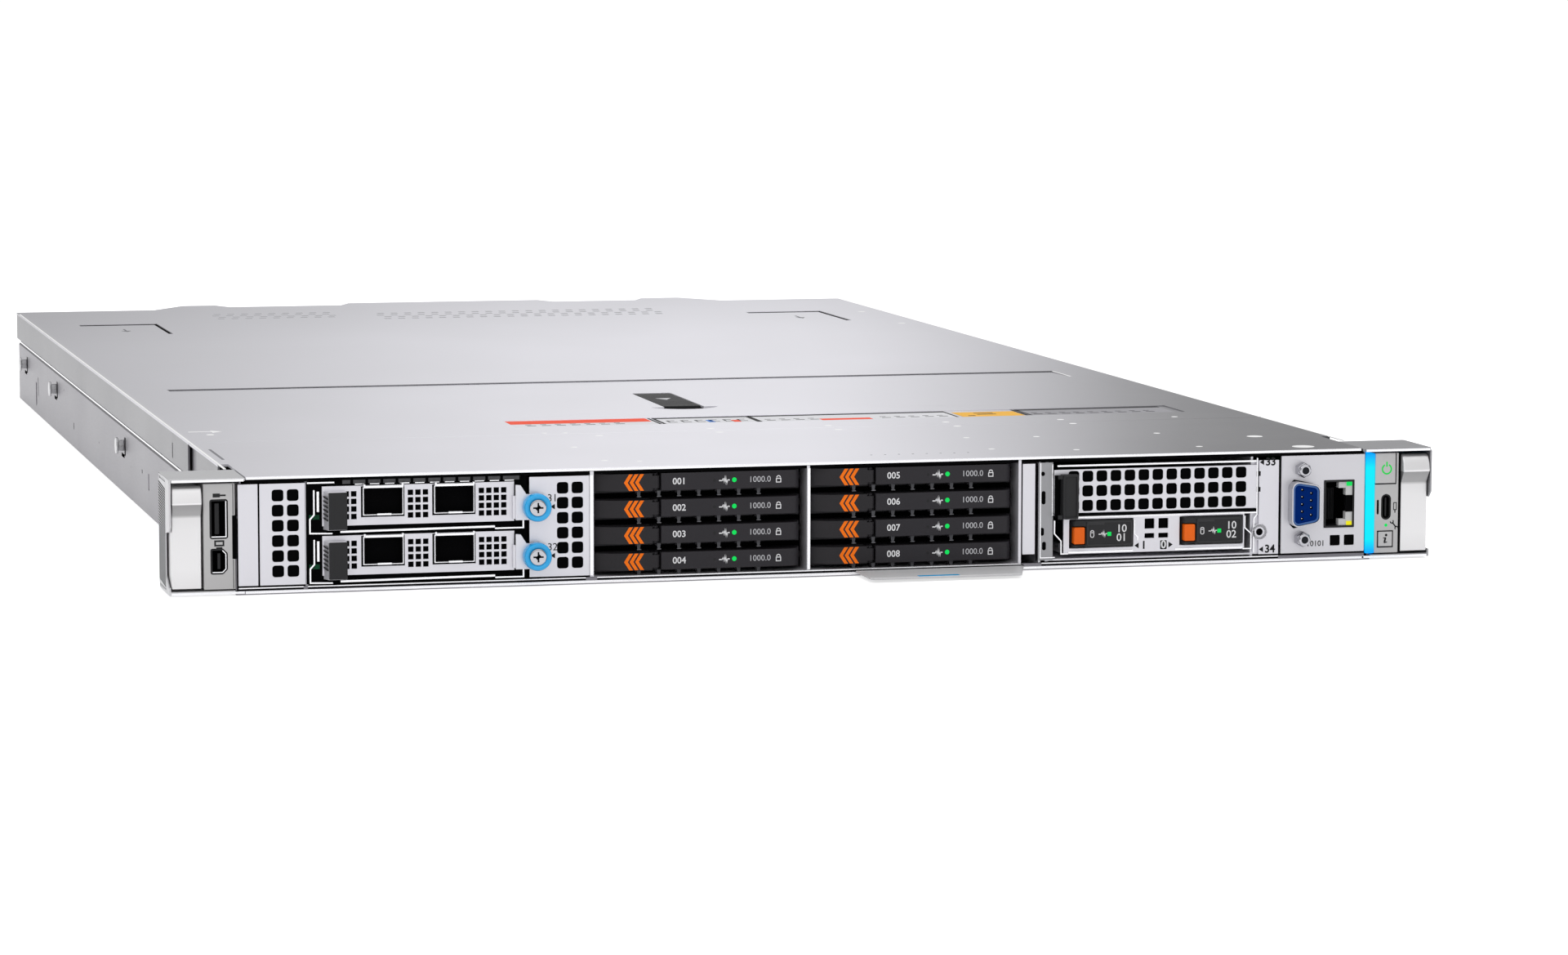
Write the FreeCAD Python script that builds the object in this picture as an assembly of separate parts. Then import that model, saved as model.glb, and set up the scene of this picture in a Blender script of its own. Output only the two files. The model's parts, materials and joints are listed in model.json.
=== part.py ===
"""1U rack server: sheet-steel chassis with front network cards, eight thin drives,
a riser bay with two boot sleds, a control panel in each rack ear, fans and two power supplies.

Axes: +X to the right seen from the front, +Y to the back, +Z up. Positions along Y are
measured from the front face of the rack ears and are shifted on saving, so that the
origin ends up at the centre of the bounding box's underside. All sizes are in mm.
"""
import FreeCAD, Part
import math
import os

os.makedirs("parts", exist_ok=True)
Vec = FreeCAD.Vector

# ---------------------------------------------------------------- whole body
HEIGHT = 42.8                 # underside of the base to the top of the cover
REAR_WALL = 768.0             # outer face of the rear panel
SHEET = 0.8                   # chassis sheet steel
BEND = 0.3                    # how far a bend's inner corner lies below its outer one
CLEAR = 0.3                   # gap round anything that moves
SEAM = 0.2                    # gap between pieces that only meet
SNUG = 0.08                   # radial gap of a pin in its hole
PAST = 1.0                    # how far a cutting tool runs past the face that it opens
SMALL_SIDES = 10              # flat sides of a small round piece
HEX_SIDES = 6

# ---------------------------------------------------------------- across the front, left to right
WALL_GAP = 1.0                # side wall to the first plate
FILLER_WIDTH = 7.2
FILLER_GAP = 0.6
LEFT_VENT_WIDTH = 16.5
CARD_BAY_WIDTH = 82.1
RIGHT_VENT_WIDTH = 22.4
POST = 1.5                    # drive cage wall left of the first bay
BAY_WIDTH = 80.5
DIVIDER = 1.2                 # drive cage wall right of each bay
DRIVE_COLUMNS = 2
DRIVE_ROWS = 4
RIGHT_FILLER_WIDTH = 4.9
RISER_GAP = 1.6
RISER_WIDTH = 95.0
IO_GAP = 1.0
IO_PLATE_WIDTH = 33.6
IO_MARGIN = 2.4               # I/O plate to the outside of the right wall
EAR_WIDTH = 24.0              # side wall to the outer face of a rack ear

# ---------------------------------------------------------------- base, rear panel, brace
WALL_STEP = 1.6               # how far the side wall steps in under the skirt
SKIRT_GAP = 2.1               # from the wall's step up to the skirt's lower edge
WALL_SLOT = 2.4               # width of the upright slots in the side walls
FRONT_SLOT = (247.0, 10.5, 17.2)   # depth, lower end, upper end
REAR_SLOT = (82.0, 4.0, 15.6)      # distance before the rear wall, lower end, upper end
REAR_TOP_GAP = 0.6
EXHAUST_SLOT = 8.0            # upright vent slots in the rear panel
EXHAUST_PITCH = 13.0
EXHAUST_REACH = 82.0          # half width of the vent field
EXHAUST_MARGIN = 6.5
BRACE_THICK = 1.2
BRACE_REAR = 121.0            # rear edge of the fixed plate over the front bays
BRACE_NOTCH = 3.8             # how far its front stretch stays inside the walls
BRACE_SHOULDER = 17.0         # it widens this far behind the ears
BRACE_FLANGE_END = 20.0       # its side flanges end this far before its rear edge
BRACE_SEAT = 0.2              # side walls end this far under it

# ---------------------------------------------------------------- ears and handles
EAR_DEPTH = 27.0
EAR_SHEET = 0.8
EAR_BACK = 1.5                # thickness of an ear's rear wall
EAR_TOP_THICK = 1.1
EAR_DROP = 0.3                # ear's top below the cover's top
EAR_FLOOR = 0.5               # ear's underside above the base's underside
EAR_FLOOR_THICK = 1.3
EAR_ROOF_LAP = 3.5            # how far the ear's roof reaches over the body
EAR_ROOF_LIP = 1.0            # how far the roof stands forward
EAR_NOSE = 2.2                # how far the outer cheek's nose stands forward
EAR_NOSE_HEIGHT = 17.0
EAR_CORNER = 1.0
GRIP_DEPTH = 0.4              # shallow field in the ear's outer face
GRIP_FRONT = 8.0
GRIP_MARGIN = 1.2
RECESS_DEPTH = 13.6           # finger recess in the ear's outer wall
RECESS_BASE = 3.4
RECESS_SLOPE = 5.1
RACK_HOLE_MARGIN = 8.45       # rack screw hole to the ear's outer face
RACK_HOLE_RADIUS = 3.4
RACK_HOLE_INSET = 3.0         # where the hole's tool starts before the ear's rear face
HANDLE_SKIN = 1.2
HANDLE_CHEEK = 0.8
HANDLE_NOSE = 3.0             # how far the handle's nose stands forward
HANDLE_NOSE_HEIGHT = 6.2
HANDLE_SLOPE = 4.6            # height over which the nose falls back to the flat face
HANDLE_DEPTH = 12.0
HANDLE_BASE_GAP = 0.9         # above the ear's floor
HANDLE_TOP_GAP = 1.5          # below the ear's roof
HANDLE_SIDE_GAP = 0.9         # beside the control panel
HANDLE_PIN = 1.5              # radius of the hinge pin
HANDLE_PIN_DEPTH = 6.0
HANDLE_PIN_DROP = 14.0        # hinge axis below the cover's top

# ---------------------------------------------------------------- control panels
PANEL_WIDTH = 11.4            # control panel in the left ear
RIGHT_PANEL_WIDTH = 9.6
PANEL_DEPTH = 14.0
PANEL_RISE = 0.5              # above the ear's floor
PANEL_TOP_GAP = 0.9           # below the ear's roof
PANEL_GAP = 0.1
LIGHT_BAR_WIDTH = 3.6
LIGHT_BAR_LAP = 2.0           # how far the light bar reaches over the body
LIGHT_BAR_PROUD = 0.4
USB_X = 5.8                   # socket centres, out from the side wall
USB_BASE = 21.0
USB_LENGTH = 13.6
USB_WIDTH = 5.8
USB_TONGUE = 1.5
DISPLAY_BASE = 8.1
DISPLAY_LENGTH = 8.7
DISPLAY_WIDTH = 5.4
DISPLAY_CORNER = 1.6
TYPE_C_X = 6.35
TYPE_C_BASE = 15.4
TYPE_C_LENGTH = 9.0
TYPE_C_WIDTH = 3.5
TYPE_C_DEPTH = 8.0
SOCKET_DEPTH = 12.0
SOCKET_WALL = 0.4
SOCKET_BACK = 1.0
TONGUE_SETBACK = 1.2
BUTTON_DEPTH = 3.0
BUTTON_TRAVEL = 1.0
BUTTON_PROUD = 0.2
POWER_HEIGHT = 11.5
POWER_SIDE = 1.0              # panel edge right of the power key
INFO_SIZE = 5.6
INFO_BASE = 4.8
INFO_X = 6.15

# ---------------------------------------------------------------- front plates
PLATE_THICK = 1.0             # front vent plates, brackets and the I/O plate
PLATE_BASE = 3.2
PLATE_TOP_GAP = 2.8           # below the cover's top
PLATE_FLANGE = 12.0           # how far a plate's flange is folded back
RIGHT_FILLER_RISE = 2.7
VENT_HOLE = 3.9               # square ventilation hole
VENT_PITCH = 5.5
VENT_MARGIN = 4.65            # plate edge to the first row
VENT_COLUMNS = 2
LEFT_VENT_MARGIN = 6.6        # plate edge to the first column
RIGHT_VENT_MARGIN = 12.4

# ---------------------------------------------------------------- network cards
CARD_MARGIN = 6.0             # bay's left edge to the bracket
CARD_RIGHT_MARGIN = 5.6       # bracket to the bay's right edge
CARD_BASE = 6.1               # underside of the lower bracket
CARD_BETWEEN = 3.6            # between the two brackets
CARD_TOP_GAP = 3.1            # upper bracket to the brace
CARD_DEPTH = 76.0
CARD_BOARD = 1.6
CARD_BOARD_LEFT = 3.0         # how far the board passes the bracket
CARD_BOARD_RIGHT = 1.5
CARD_HOLE = 2.0
CARD_HOLE_PITCH = 2.75
CARD_HOLE_ROWS = 4
CARD_HOLE_RISE = 3.2
LEFT_HOLES = (8.8, 2)         # first column from the bracket's left edge, columns
MIDDLE_HOLES = (32.3, 3)
RIGHT_HOLES = (12.1, 4)       # first column from the bracket's right edge, columns
PORT_OFFSETS = (14.8, 40.9)   # left edge of each optical port in the bracket
PORT_WIDTH = 14.8             # optical port cage, outside
PORT_DEPTH = 48.0
PORT_WALL = 0.5
PORT_BACK = 3.0
PORT_PROUD = 0.5
PORT_RISE = 3.6               # underside of the port cages above the bracket's underside
PORT_TOP_GAP = 0.6            # port cage below the bracket's top
SPREADER_MARGIN = 12.0        # heat spreader to the bracket's edges
SPREADER_GAP = 3.0            # behind the port cages
SPREADER_REAR = 4.0           # before the board's rear edge
SPREADER_BASE = 2.5
SPREADER_GROOVE = 2.2
SPREADER_PITCH = 6.6
SPREADER_EDGE = 4.0
CARD_LATCH_LEFT = 0.4         # black latch block, from the bracket's left edge
CARD_LATCH_WIDTH = 8.0
CARD_LATCH_REACH = 3.4
CARD_LATCH_BEVEL = 1.4
CARD_LATCH_DROP = 1.2
CARD_LATCH_TOP = 1.8
KNOB_RADIUS = 5.5
KNOB_LENGTH = 5.0
KNOB_SIDES = 16
KNOB_SHANK = 1.6
KNOB_SHANK_LENGTH = 6.0
KNOB_GAP = 7.8                # knob's axis right of the bracket
KNOB_RISE = 5.1               # knob's axis above the bracket's underside
KNOB_TAB_HALF = 4.2
KNOB_TAB_REACH = 1.6          # how far the screw's tab stands forward
KNOB_TAB_THICK = 0.9
KNOB_TAB_END = 3.6            # tab's end right of the knob's axis
CROSS_ARM = 2.2
CROSS_WIDTH = 0.9
CROSS_DEPTH = 1.4
CARD_SHELF_DROP = 2.8         # cage shelf below each bracket
CARD_CAGE_REAR = 20.0         # how far the cage passes the boards
CARD_LEDGE_END = 15.0
CARD_LEDGE_GAP = 1.6
CARD_SHELF_LAP = 3.0

# ---------------------------------------------------------------- drives
BAY_FLOOR = 2.6               # top of the cage floor and of the base's front lip
CAGE_SKIN = 0.5
CAGE_ROOF = 0.7
CAGE_SETBACK = 0.2
CARRIER_GAP = 3.35            # vertical gap between two carriers' faces
CARRIER_RISE = 0.175          # carrier's centre line above the middle of its slot
CARRIER_SEAT = 9.0            # front of the drive behind the carrier's face
CARRIER_END = 6.4             # start of the face's rounded end, from its right edge
CARRIER_RADIUS = 4.5
CARRIER_BEVEL = (2.0, 0.7)    # bevel beside the lever: width, depth
SILL_FRONT = 6.5
SILL_REAR = 10.0
SILL_SIDE = 1.2
SILL_DROP = 1.2
DRIVE_LENGTH = 104.0
DRIVE_SIDE_GAP = 2.25         # drive to the bay's sides
DRIVE_GAP = 2.25              # between two drives
DRIVE_DROP = 0.5
PLUG_WIDTH = 30.0
PLUG_LENGTH = 5.0
PLUG_THICK = 1.4
PLUG_ROOM = 3.0               # plug's end to the backplane
FLANGE_WIDTH = 2.0            # carrier's side flange
FLANGE_HALF = 1.0
LEDGE_THICK = 0.8             # cage ledge under a flange
LEDGE_WIDTH = 1.4
LEDGE_FRONT = 12.0
LEDGE_REAR = 8.0
COMB_RIBS = 7
COMB_PITCH = 7.55
COMB_RIB = 1.3
COMB_FRONT = 3.0
COMB_LEAD = 9.2               # first rib before the fixed face's left edge
LEVER_LENGTH = 24.4
LEVER_THICK = 2.4
LEVER_BARREL = 1.5            # outer radius of the hinge barrel
LEVER_PIN = 0.5
LEVER_GAP = 0.6               # lever to the fixed face
LEVER_LUG = 0.7
LEVER_LUG_WIDTH = 2.0
LEVER_FACETS = ((0.6, 3.4), (6.3, 0.9), (9.8, 0.0))   # finger end: along the lever, setback
BARREL_SIDES = 8

# ---------------------------------------------------------------- riser bay and boot sleds
RISER_SKIN = 1.0
RISER_DEPTH = 125.0
GUIDE_GAP = 2.7               # second wall of the riser bay
GUIDE_SKIN = 1.2
GUIDE_RISE = 2.0
GUIDE_FOOT_FRONT = 16.0
RISER_FLOOR = 3.0
RISER_SHELF = 0.7
END_PLATE_WIDTH = 8.0
END_PLATE_DROP = 1.0
END_BOSS_RADIUS = 3.0
END_BOSS_Z = 11.8
END_BOSS_X = 7.7              # left of the end plate's right edge
END_HOLE_RADIUS = 1.3
BLANK_BASE = 21.0
BLANK_TOP_GAP = 4.2           # blank bracket to the brace
BLANK_LEFT = 5.8              # from the riser bay's left wall
BLANK_RIGHT = 10.0            # riser bay's inner end wall, from the bay's right end
BLANK_FLANGE = 10.0
BLANK_FLANGE_LEFT = 12.0
BLANK_FLANGE_RIGHT = 3.5
BLANK_COLUMN_LEFT = 8.2
BLANK_COLUMN_RIGHT = 15.6
BLANK_ROW_LOW = 2.8
BLANK_ROW_HIGH = 2.6
BLANK_LATCH_LEFT = 0.6
BLANK_LATCH_WIDTH = 7.9
BLANK_LATCH_REACH = 4.0
BLANK_LATCH_DROP = 1.9
BLANK_LATCH_TOP = 1.6
SLED_WIDTH = 24.6
SLED_HEIGHT = 10.2
SLED_LENGTH = 92.0
SLED_BASE = 8.0
SLED_LEFT = 12.2              # first sled from the riser bay's left wall
SLED_RIGHT = 14.6             # second sled from the bay's right end
SLED_FACE = 12.0              # depth of the moulded face
SLED_SKIN = 0.6
SLED_WALL = 2.2
SLED_FLOOR = 1.2
SLED_TRAY_HEIGHT = 8.0
SLED_MODULE = 3.2
SLED_LATCH_WIDTH = 4.2
SLED_LATCH_HEIGHT = 6.3
SLED_LATCH_X = 0.9
SLED_LATCH_Z = 1.4
SLED_LATCH_PROUD = 2.4
SLED_LATCH_POCKET = 4.2
SLED_LATCH_TRAVEL = 1.2
SLED_BEVEL = ((0.0, 1.5), (1.2, -1.6), (5.6, -1.6), (6.2, -0.9))   # face from its left edge
BOOT_FRAME_BASE = 5.5
BOOT_FRAME_TOP_GAP = 1.1      # boot frame below the blank bracket
BOOT_FRAME_LEFT = 2.6
BOOT_FRAME_RIGHT = 0.9
BOOT_VENT = 3.8
BOOT_VENT_HIGH = (14.3, 3.8)  # lower edge, height
BOOT_VENT_LOW = (10.7, 1.8)
RAIL_FRONT = 14.0

# ---------------------------------------------------------------- I/O plate
IO_TOP_RISE = 0.4
SERIAL_X = 8.85               # serial port centre, right of the plate's edge
SERIAL_Z = 22.0
SERIAL_WIDTH = 10.4
SERIAL_HEIGHT = 18.2
SERIAL_SLOPE = 1.7
SERIAL_CORNER = 1.6
SERIAL_REACH = 4.8            # how far the shell stands forward
SERIAL_SHELL = 0.5
SERIAL_INSERT = 1.2           # insert's edge inside the shell's outside
JACKSCREW_SPACING = 25.0
JACKSCREW_NUT = 2.5           # centre to a flat of the hexagon
JACKSCREW_REACH = 4.6
JACKSCREW_BORE = 1.3
JACKSCREW_SHANK = 1.5
JACK_LEFT = 17.2              # network jack, from the plate's left edge
JACK_WIDTH = 12.2
JACK_BASE = 12.6
JACK_HEIGHT = 18.1
JACK_DEPTH = 18.0
JACK_MOUTH_DEPTH = 14.0
JACK_MOUTH_HALF = 5.9
JACK_KEY_HALF = 3.1
JACK_KEY_WIDTH = 2.1
JACK_SIDE = 0.6
IO_VENTS = (21.8, 27.5)       # small square vents, from the plate's left edge
IO_VENT_Z = 7.7
IO_BOARD_THICK = 1.6

# ---------------------------------------------------------------- cover and its latch
COVER_THICK = 1.0
COVER_SKIRT = 13.0            # height of the folded sides
COVER_GAP = 0.5               # cover's front edge behind the brace
COVER_OVERHANG = 10.0         # cover's rear corners behind the rear wall
SKIRT_FRONT = 4.0
TABS = ((-129.0, -112.0), (-42.0, 59.0), (115.0, 135.0))   # left and right edge of the rear tabs
TAB_ROOT = 12.0
TAB_REACH = 25.0
TAB_SLOPE = 6.0
PRESS = 0.5                   # depth of the pressed areas
LABEL_AREA = (-84.0, 194.4, 29.0, 56.0)   # left, right, front, rear, behind the brace's rear edge
LEFT_PAD = (-195.0, -156.5, 149.0, 85.0)  # left, right, front, rear, before the cover's rear corners
RIGHT_PAD = (146.0, 185.6, 143.0, 79.0)
RAMP = (197.0, 191.0, 218.5)  # half width, front, rear, behind the brace's rear edge
LATCH_WIDTH = 16.0
LATCH_LENGTH = 57.0
LATCH_REAR = 158.0            # lever's rear end behind the brace's rear edge
LATCH_THICK = 2.2
LATCH_LIP = 1.8
LATCH_BARREL = 2.4
LATCH_PIN = 1.0
LATCH_STUB = 1.2
LATCH_DROP = 0.2
LATCH_PAN_DEPTH = 4.4
LATCH_SIDE_GAP = 0.4
SCOOP_WIDTH = 29.0
SCOOP_LENGTH = 10.5
SCOOP_GAP = 4.5
SCOOP_SIDES = 28

# ---------------------------------------------------------------- fans
FAN_COUNT = 4
FAN_PITCH = 100.0
FAN_LENGTH = 56.0
FAN_GAP = 22.0                # drive cage to the fans
FAN_TOP_GAP = 1.2
FAN_WALL = 1.3
FAN_BLADES = 5
FAN_HUB = 8.0
FAN_SHAFT = 1.5
FAN_STRUT = 2.4
FAN_STRUT_DEPTH = 3.0
FAN_STRUT_Y = 32.0
FAN_MOTOR_LENGTH = 12.0
TUNNEL_SIDES = 16
ROTOR_FRONT = 12.0
ROTOR_LENGTH = 18.0
ROTOR_SHAFT = 8.0
BLADE_TIP_GAP = 0.8
BLADE_LENGTH = 12.0
BLADE_THICK = 1.0
BLADE_PITCH = 52.0
BAFFLE_THICK = 1.0

# ---------------------------------------------------------------- boards, heatsinks, memory
BOARD_GAP = 6.0               # fans to the system board
BOARD_REAR_GAP = 8.0          # system board to the power supplies
BOARD_SIDE_GAP = 4.0
BOARD_THICK = 1.6
BOARD_STANDOFF = 3.2
STANDOFF_RADIUS = 3.0
STANDOFF_MARGIN = 9.0
SOCKET_HALF = (30.0, 38.0)    # processor socket, half width and half length
SOCKET_HEIGHT = 3.4
HEATSINK_X = 92.0
HEATSINK_SETBACK = 110.0
HEATSINK_WIDTH = 96.0
HEATSINK_LENGTH = 108.0
HEATSINK_HEIGHT = 26.0
HEATSINK_FINS = 10
HEATSINK_FIN = 1.6
HEATSINK_BASE = 5.0
DIMM_LENGTH = 133.4
DIMM_THICK = 1.4
DIMM_TOP_GAP = 3.2
DIMM_PITCH = 8.2
DIMM_PER_BANK = 4
DIMM_SETBACK = 12.0           # modules' front before the heatsinks' front
DIMM_GAP = 5.0
DIMM_SLOT_SIDE = 2.0
DIMM_SLOT_HEIGHT = 3.0
DIMM_SLOT_END = 4.0
BACKPLANE_TOP_GAP = 0.8
RECEPTACLE_DEPTH = 6.5
RECEPTACLE_SIDE = 1.5
RECEPTACLE_HALF = 2.4
RECEPTACLE_FLOOR = 1.5
BACKPLANE_SLOT = (16.0, 21.0) # width, from the plug's middle to the slot's near edge
BACKPLANE_SLOT_MARGIN = 5.0

# ---------------------------------------------------------------- power supplies
PSU_WIDTH = 60.0
PSU_LENGTH = 185.0
PSU_TOP_GAP = 2.3
PSU_WALL_GAP = 3.0
INLET_WIDTH = 25.0
INLET_HEIGHT = 19.0
INLET_DEPTH = 17.0
INLET_CHAMFER = 5.0
INLET_X = 4.0                 # from the supply's left side
INLET_Z = 8.0
PRONG = (2.0, 4.0)
PRONG_END = 3.0
PRONG_PLACES = ((4.5, 6.0), (18.5, 6.0), (11.5, 11.0))
PSU_SLOT_LEFT = 34.0
PSU_SLOT_RIGHT = 4.0
PSU_SLOT = 2.4
PSU_SLOT_PITCH = 4.6
PSU_SLOT_DEPTH = 3.0
PSU_SLOT_MARGIN = 5.2
PSU_HANDLE_REACH = 38.0
PSU_HANDLE_WIDTH = 24.0
PSU_HANDLE_SIDE = 2.0
PSU_HANDLE_BAR = 4.0
PSU_HANDLE_BEND = 6.0
PSU_HANDLE_Z = 14.0
PSU_HANDLE_HEIGHT = 8.0
PSU_LATCH_TRAVEL = 1.5
PSU_LATCH_GAP = 1.3           # pressed thumb pad to the handle
PSU_LATCH_Z = 12.0
PSU_LATCH_HEIGHT = 12.0
PSU_LATCH_STEM = 1.6
PSU_LATCH_PAD = (4.0, 6.0)    # width and depth of the thumb pad
PSU_LATCH_REACH = 20.0

# ---------------------------------------------------------------- tag and rail studs
TAG_WIDTH = 64.8
TAG_REACH = 21.5              # how far the pull-out tag stands out of the front
TAG_LENGTH = 90.0
TAG_THICK = 0.8
TAG_CORNER = 6.9
TAG_BEVEL = 1.4
TAG_RISER_GAP = 6.3           # left of the riser bay's wall
STUD_RADIUS = 2.2
STUD_HEAD_RADIUS = 3.4
STUD_HEAD = 1.0
STUD_REACH = 3.4
STUD_Z = 20.4
STUDS_BEFORE_REAR = (437.0, 173.0, 35.0)

# ---------------------------------------------------------------- places worked out from them
COVER_UNDER = HEIGHT - COVER_THICK
BRACE_UNDER = HEIGHT - BRACE_THICK
FLANGE_TOP = BRACE_UNDER - BRACE_SEAT
WALL_TOP = HEIGHT - COVER_SKIRT - SKIRT_GAP
PLATE_TOP = HEIGHT - PLATE_TOP_GAP
COVER_REAR = REAR_WALL + COVER_OVERHANG

COLUMN_PITCH = BAY_WIDTH + DIVIDER
CAGE_WIDTH = POST + DRIVE_COLUMNS * COLUMN_PITCH
CARD_ROW = FILLER_WIDTH + FILLER_GAP + LEFT_VENT_WIDTH + SEAM + CARD_BAY_WIDTH + RIGHT_VENT_WIDTH
RISER_ROW = RIGHT_FILLER_WIDTH + RISER_GAP + RISER_WIDTH + IO_GAP + IO_PLATE_WIDTH
BODY_WIDTH = WALL_GAP + CARD_ROW + SEAM + CAGE_WIDTH + 2 * SEAM + RISER_ROW + IO_MARGIN
HALF = BODY_WIDTH / 2
RACK_WIDTH = BODY_WIDTH + 2 * EAR_WIDTH
EAR = RACK_WIDTH / 2
RACK_HOLE_SPACING = RACK_WIDTH - 2 * RACK_HOLE_MARGIN
INNER_WALL = HALF - WALL_STEP - SHEET

FILLER_X = -HALF + WALL_GAP
LEFT_VENT_X = FILLER_X + FILLER_WIDTH + FILLER_GAP
CARD_BAY_X = LEFT_VENT_X + LEFT_VENT_WIDTH + SEAM
RIGHT_VENT_X = CARD_BAY_X + CARD_BAY_WIDTH
CAGE_X = RIGHT_VENT_X + RIGHT_VENT_WIDTH + SEAM
BAY_X = CAGE_X + POST
RIGHT_FILLER_X = CAGE_X + CAGE_WIDTH + 2 * SEAM
RISER_X = RIGHT_FILLER_X + RIGHT_FILLER_WIDTH + RISER_GAP
RISER_END = RISER_X + RISER_WIDTH
IO_PLATE_X = RISER_END + IO_GAP

PANEL_BASE = EAR_FLOOR + EAR_FLOOR_THICK + PANEL_RISE
PANEL_TOP = HEIGHT - EAR_DROP - EAR_TOP_THICK - PANEL_TOP_GAP
RIGHT_PANEL_X = HALF + LIGHT_BAR_WIDTH - LIGHT_BAR_LAP + PANEL_GAP
HANDLE_INNER = HALF + PANEL_WIDTH + HANDLE_SIDE_GAP
HANDLE_OUTER = EAR - EAR_SHEET - CLEAR
HANDLE_AXIS_Z = HEIGHT - HANDLE_PIN_DROP

CARD_X = CARD_BAY_X + CARD_MARGIN
CARD_WIDTH = CARD_BAY_WIDTH - CARD_MARGIN - CARD_RIGHT_MARGIN
CARD_HEIGHT = (BRACE_UNDER - CARD_TOP_GAP - CARD_BASE - CARD_BETWEEN) / 2
CARD_PITCH = CARD_HEIGHT + CARD_BETWEEN
PORT_HEIGHT = CARD_HEIGHT - PORT_RISE - PORT_TOP_GAP
KNOB_X = CARD_X + CARD_WIDTH + KNOB_GAP

DRIVE_PITCH = (BRACE_UNDER - BAY_FLOOR) / DRIVE_ROWS
CARRIER_FACE = DRIVE_PITCH - CARRIER_GAP
DRIVE_THICK = DRIVE_PITCH - DRIVE_GAP
CAGE_DEPTH = CARRIER_SEAT + DRIVE_LENGTH + PLUG_LENGTH + PLUG_ROOM
BLANK_TOP = BRACE_UNDER - BLANK_TOP_GAP

TAG_X = RISER_X - TAG_RISER_GAP - TAG_WIDTH
TAG_Z = SHEET + SEAM
LATCH_AXIS_Y = BRACE_REAR + LATCH_REAR - LATCH_BARREL
LATCH_AXIS_Z = HEIGHT - LATCH_DROP - LATCH_BARREL

FAN_SIZE = COVER_UNDER - FAN_TOP_GAP - SHEET - SEAM
FAN_AXIS_Z = SHEET + SEAM + FAN_SIZE / 2
FAN_BORE = FAN_SIZE / 2 - FAN_WALL
FAN_FRONT = CAGE_DEPTH + FAN_GAP
BOARD_FRONT = FAN_FRONT + FAN_LENGTH + BOARD_GAP
BOARD_LENGTH = REAR_WALL - PSU_LENGTH - BOARD_REAR_GAP - BOARD_FRONT
BOARD_TOP = SHEET + BOARD_STANDOFF + BOARD_THICK
HEATSINK_FRONT = BOARD_FRONT + HEATSINK_SETBACK
PSU_BASE = SHEET + CLEAR
PSU_HEIGHT = COVER_UNDER - PSU_TOP_GAP - PSU_BASE
PSU_X = INNER_WALL - PSU_WALL_GAP - PSU_WIDTH / 2

FRONT_MOST = -TAG_REACH
REAR_MOST = REAR_WALL + PSU_HANDLE_REACH
MIDDLE = (FRONT_MOST + REAR_MOST) / 2


# ---------------------------------------------------------------- shape helpers
def box(x0, x1, y0, y1, z0, z1):
    """Block between two corners."""
    return Part.makeBox(x1 - x0, y1 - y0, z1 - z0, Vec(x0, y0, z0))


def rod(centre, direction, radius, length):
    """True cylinder that starts at centre and runs along direction."""
    return Part.makeCylinder(radius, length, Vec(*centre), Vec(*direction))


def post(centre, direction, radius, length, sides=SMALL_SIDES):
    """Prism in place of a round piece, with its flat sides at radius."""
    axis = Vec(*direction)
    spoke = Vec(1, 0, 0) if axis.z else Vec(0, 0, 1)
    spoke = spoke * (radius / math.cos(math.pi / sides))
    corners = [Vec(*centre) + FreeCAD.Rotation(axis, 360 * (i + 0.5) / sides).multVec(spoke)
               for i in range(sides)]
    return prism(corners, axis * length)


def pin(centre, direction, radius, length, sides=SMALL_SIDES):
    """Prism in place of a small round pin that turns in a hole: its corners lie at radius."""
    return post(centre, direction, radius * math.cos(math.pi / sides), length, sides)


def prism(points, offset):
    """Closed polygon of 3-D points, pushed along offset."""
    corners = [Vec(*point) for point in points]
    face = Part.Face(Part.makePolygon(corners + [corners[0]]))
    return face.extrude(Vec(*offset))


def prism_x(yz, x0, x1):
    """Profile in the YZ plane, from x0 to x1."""
    return prism([(x0, y, z) for y, z in yz], (x1 - x0, 0, 0))


def prism_y(xz, y0, y1):
    """Profile in the XZ plane, from y0 to y1."""
    return prism([(x, y0, z) for x, z in xz], (0, y1 - y0, 0))


def prism_z(xy, z0, z1):
    """Profile in the XY plane, from z0 to z1."""
    return prism([(x, y, z0) for x, y in xy], (0, 0, z1 - z0))


def join(shapes):
    """One solid from pieces that touch or overlap."""
    shapes = list(shapes)
    if len(shapes) == 1:
        return shapes[0]
    return shapes[0].multiFuse(shapes[1:]).removeSplitter()


def cut(shape, tools):
    """Shape less all the tools."""
    tools = list(tools)
    return shape.cut(Part.makeCompound(tools)) if len(tools) > 1 else shape.cut(tools[0])


def sided(shape, side):
    """The shape as modelled on the right, or its mirror image on the left."""
    return shape if side > 0 else shape.mirror(Vec(0, 0, 0), Vec(1, 0, 0))


def square_holes(xs, zs, hole):
    """Square holes through a front plate, centred on each x and z."""
    half = hole / 2
    return [box(x - half, x + half, -PAST, PLATE_THICK + PAST, z - half, z + half)
            for x in xs for z in zs]


def steps(first, pitch, count):
    """Evenly spaced places."""
    return [first + pitch * i for i in range(count)]


def fitting(first, last, pitch):
    """As many evenly spaced places as fit, centred between first and last."""
    count = max(1, int((last - first) / pitch + 1e-6) + 1)
    start = (first + last - pitch * (count - 1)) / 2
    return steps(start, pitch, count)


def save(node, *solids):
    """Write one node, with the origin moved to the middle of the whole length."""
    shape = solids[0] if len(solids) == 1 else Part.makeCompound(list(solids))
    moved = shape.copy()
    moved.translate(Vec(0, -MIDDLE, 0))
    moved.exportStep("parts/" + node + ".step")


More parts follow.
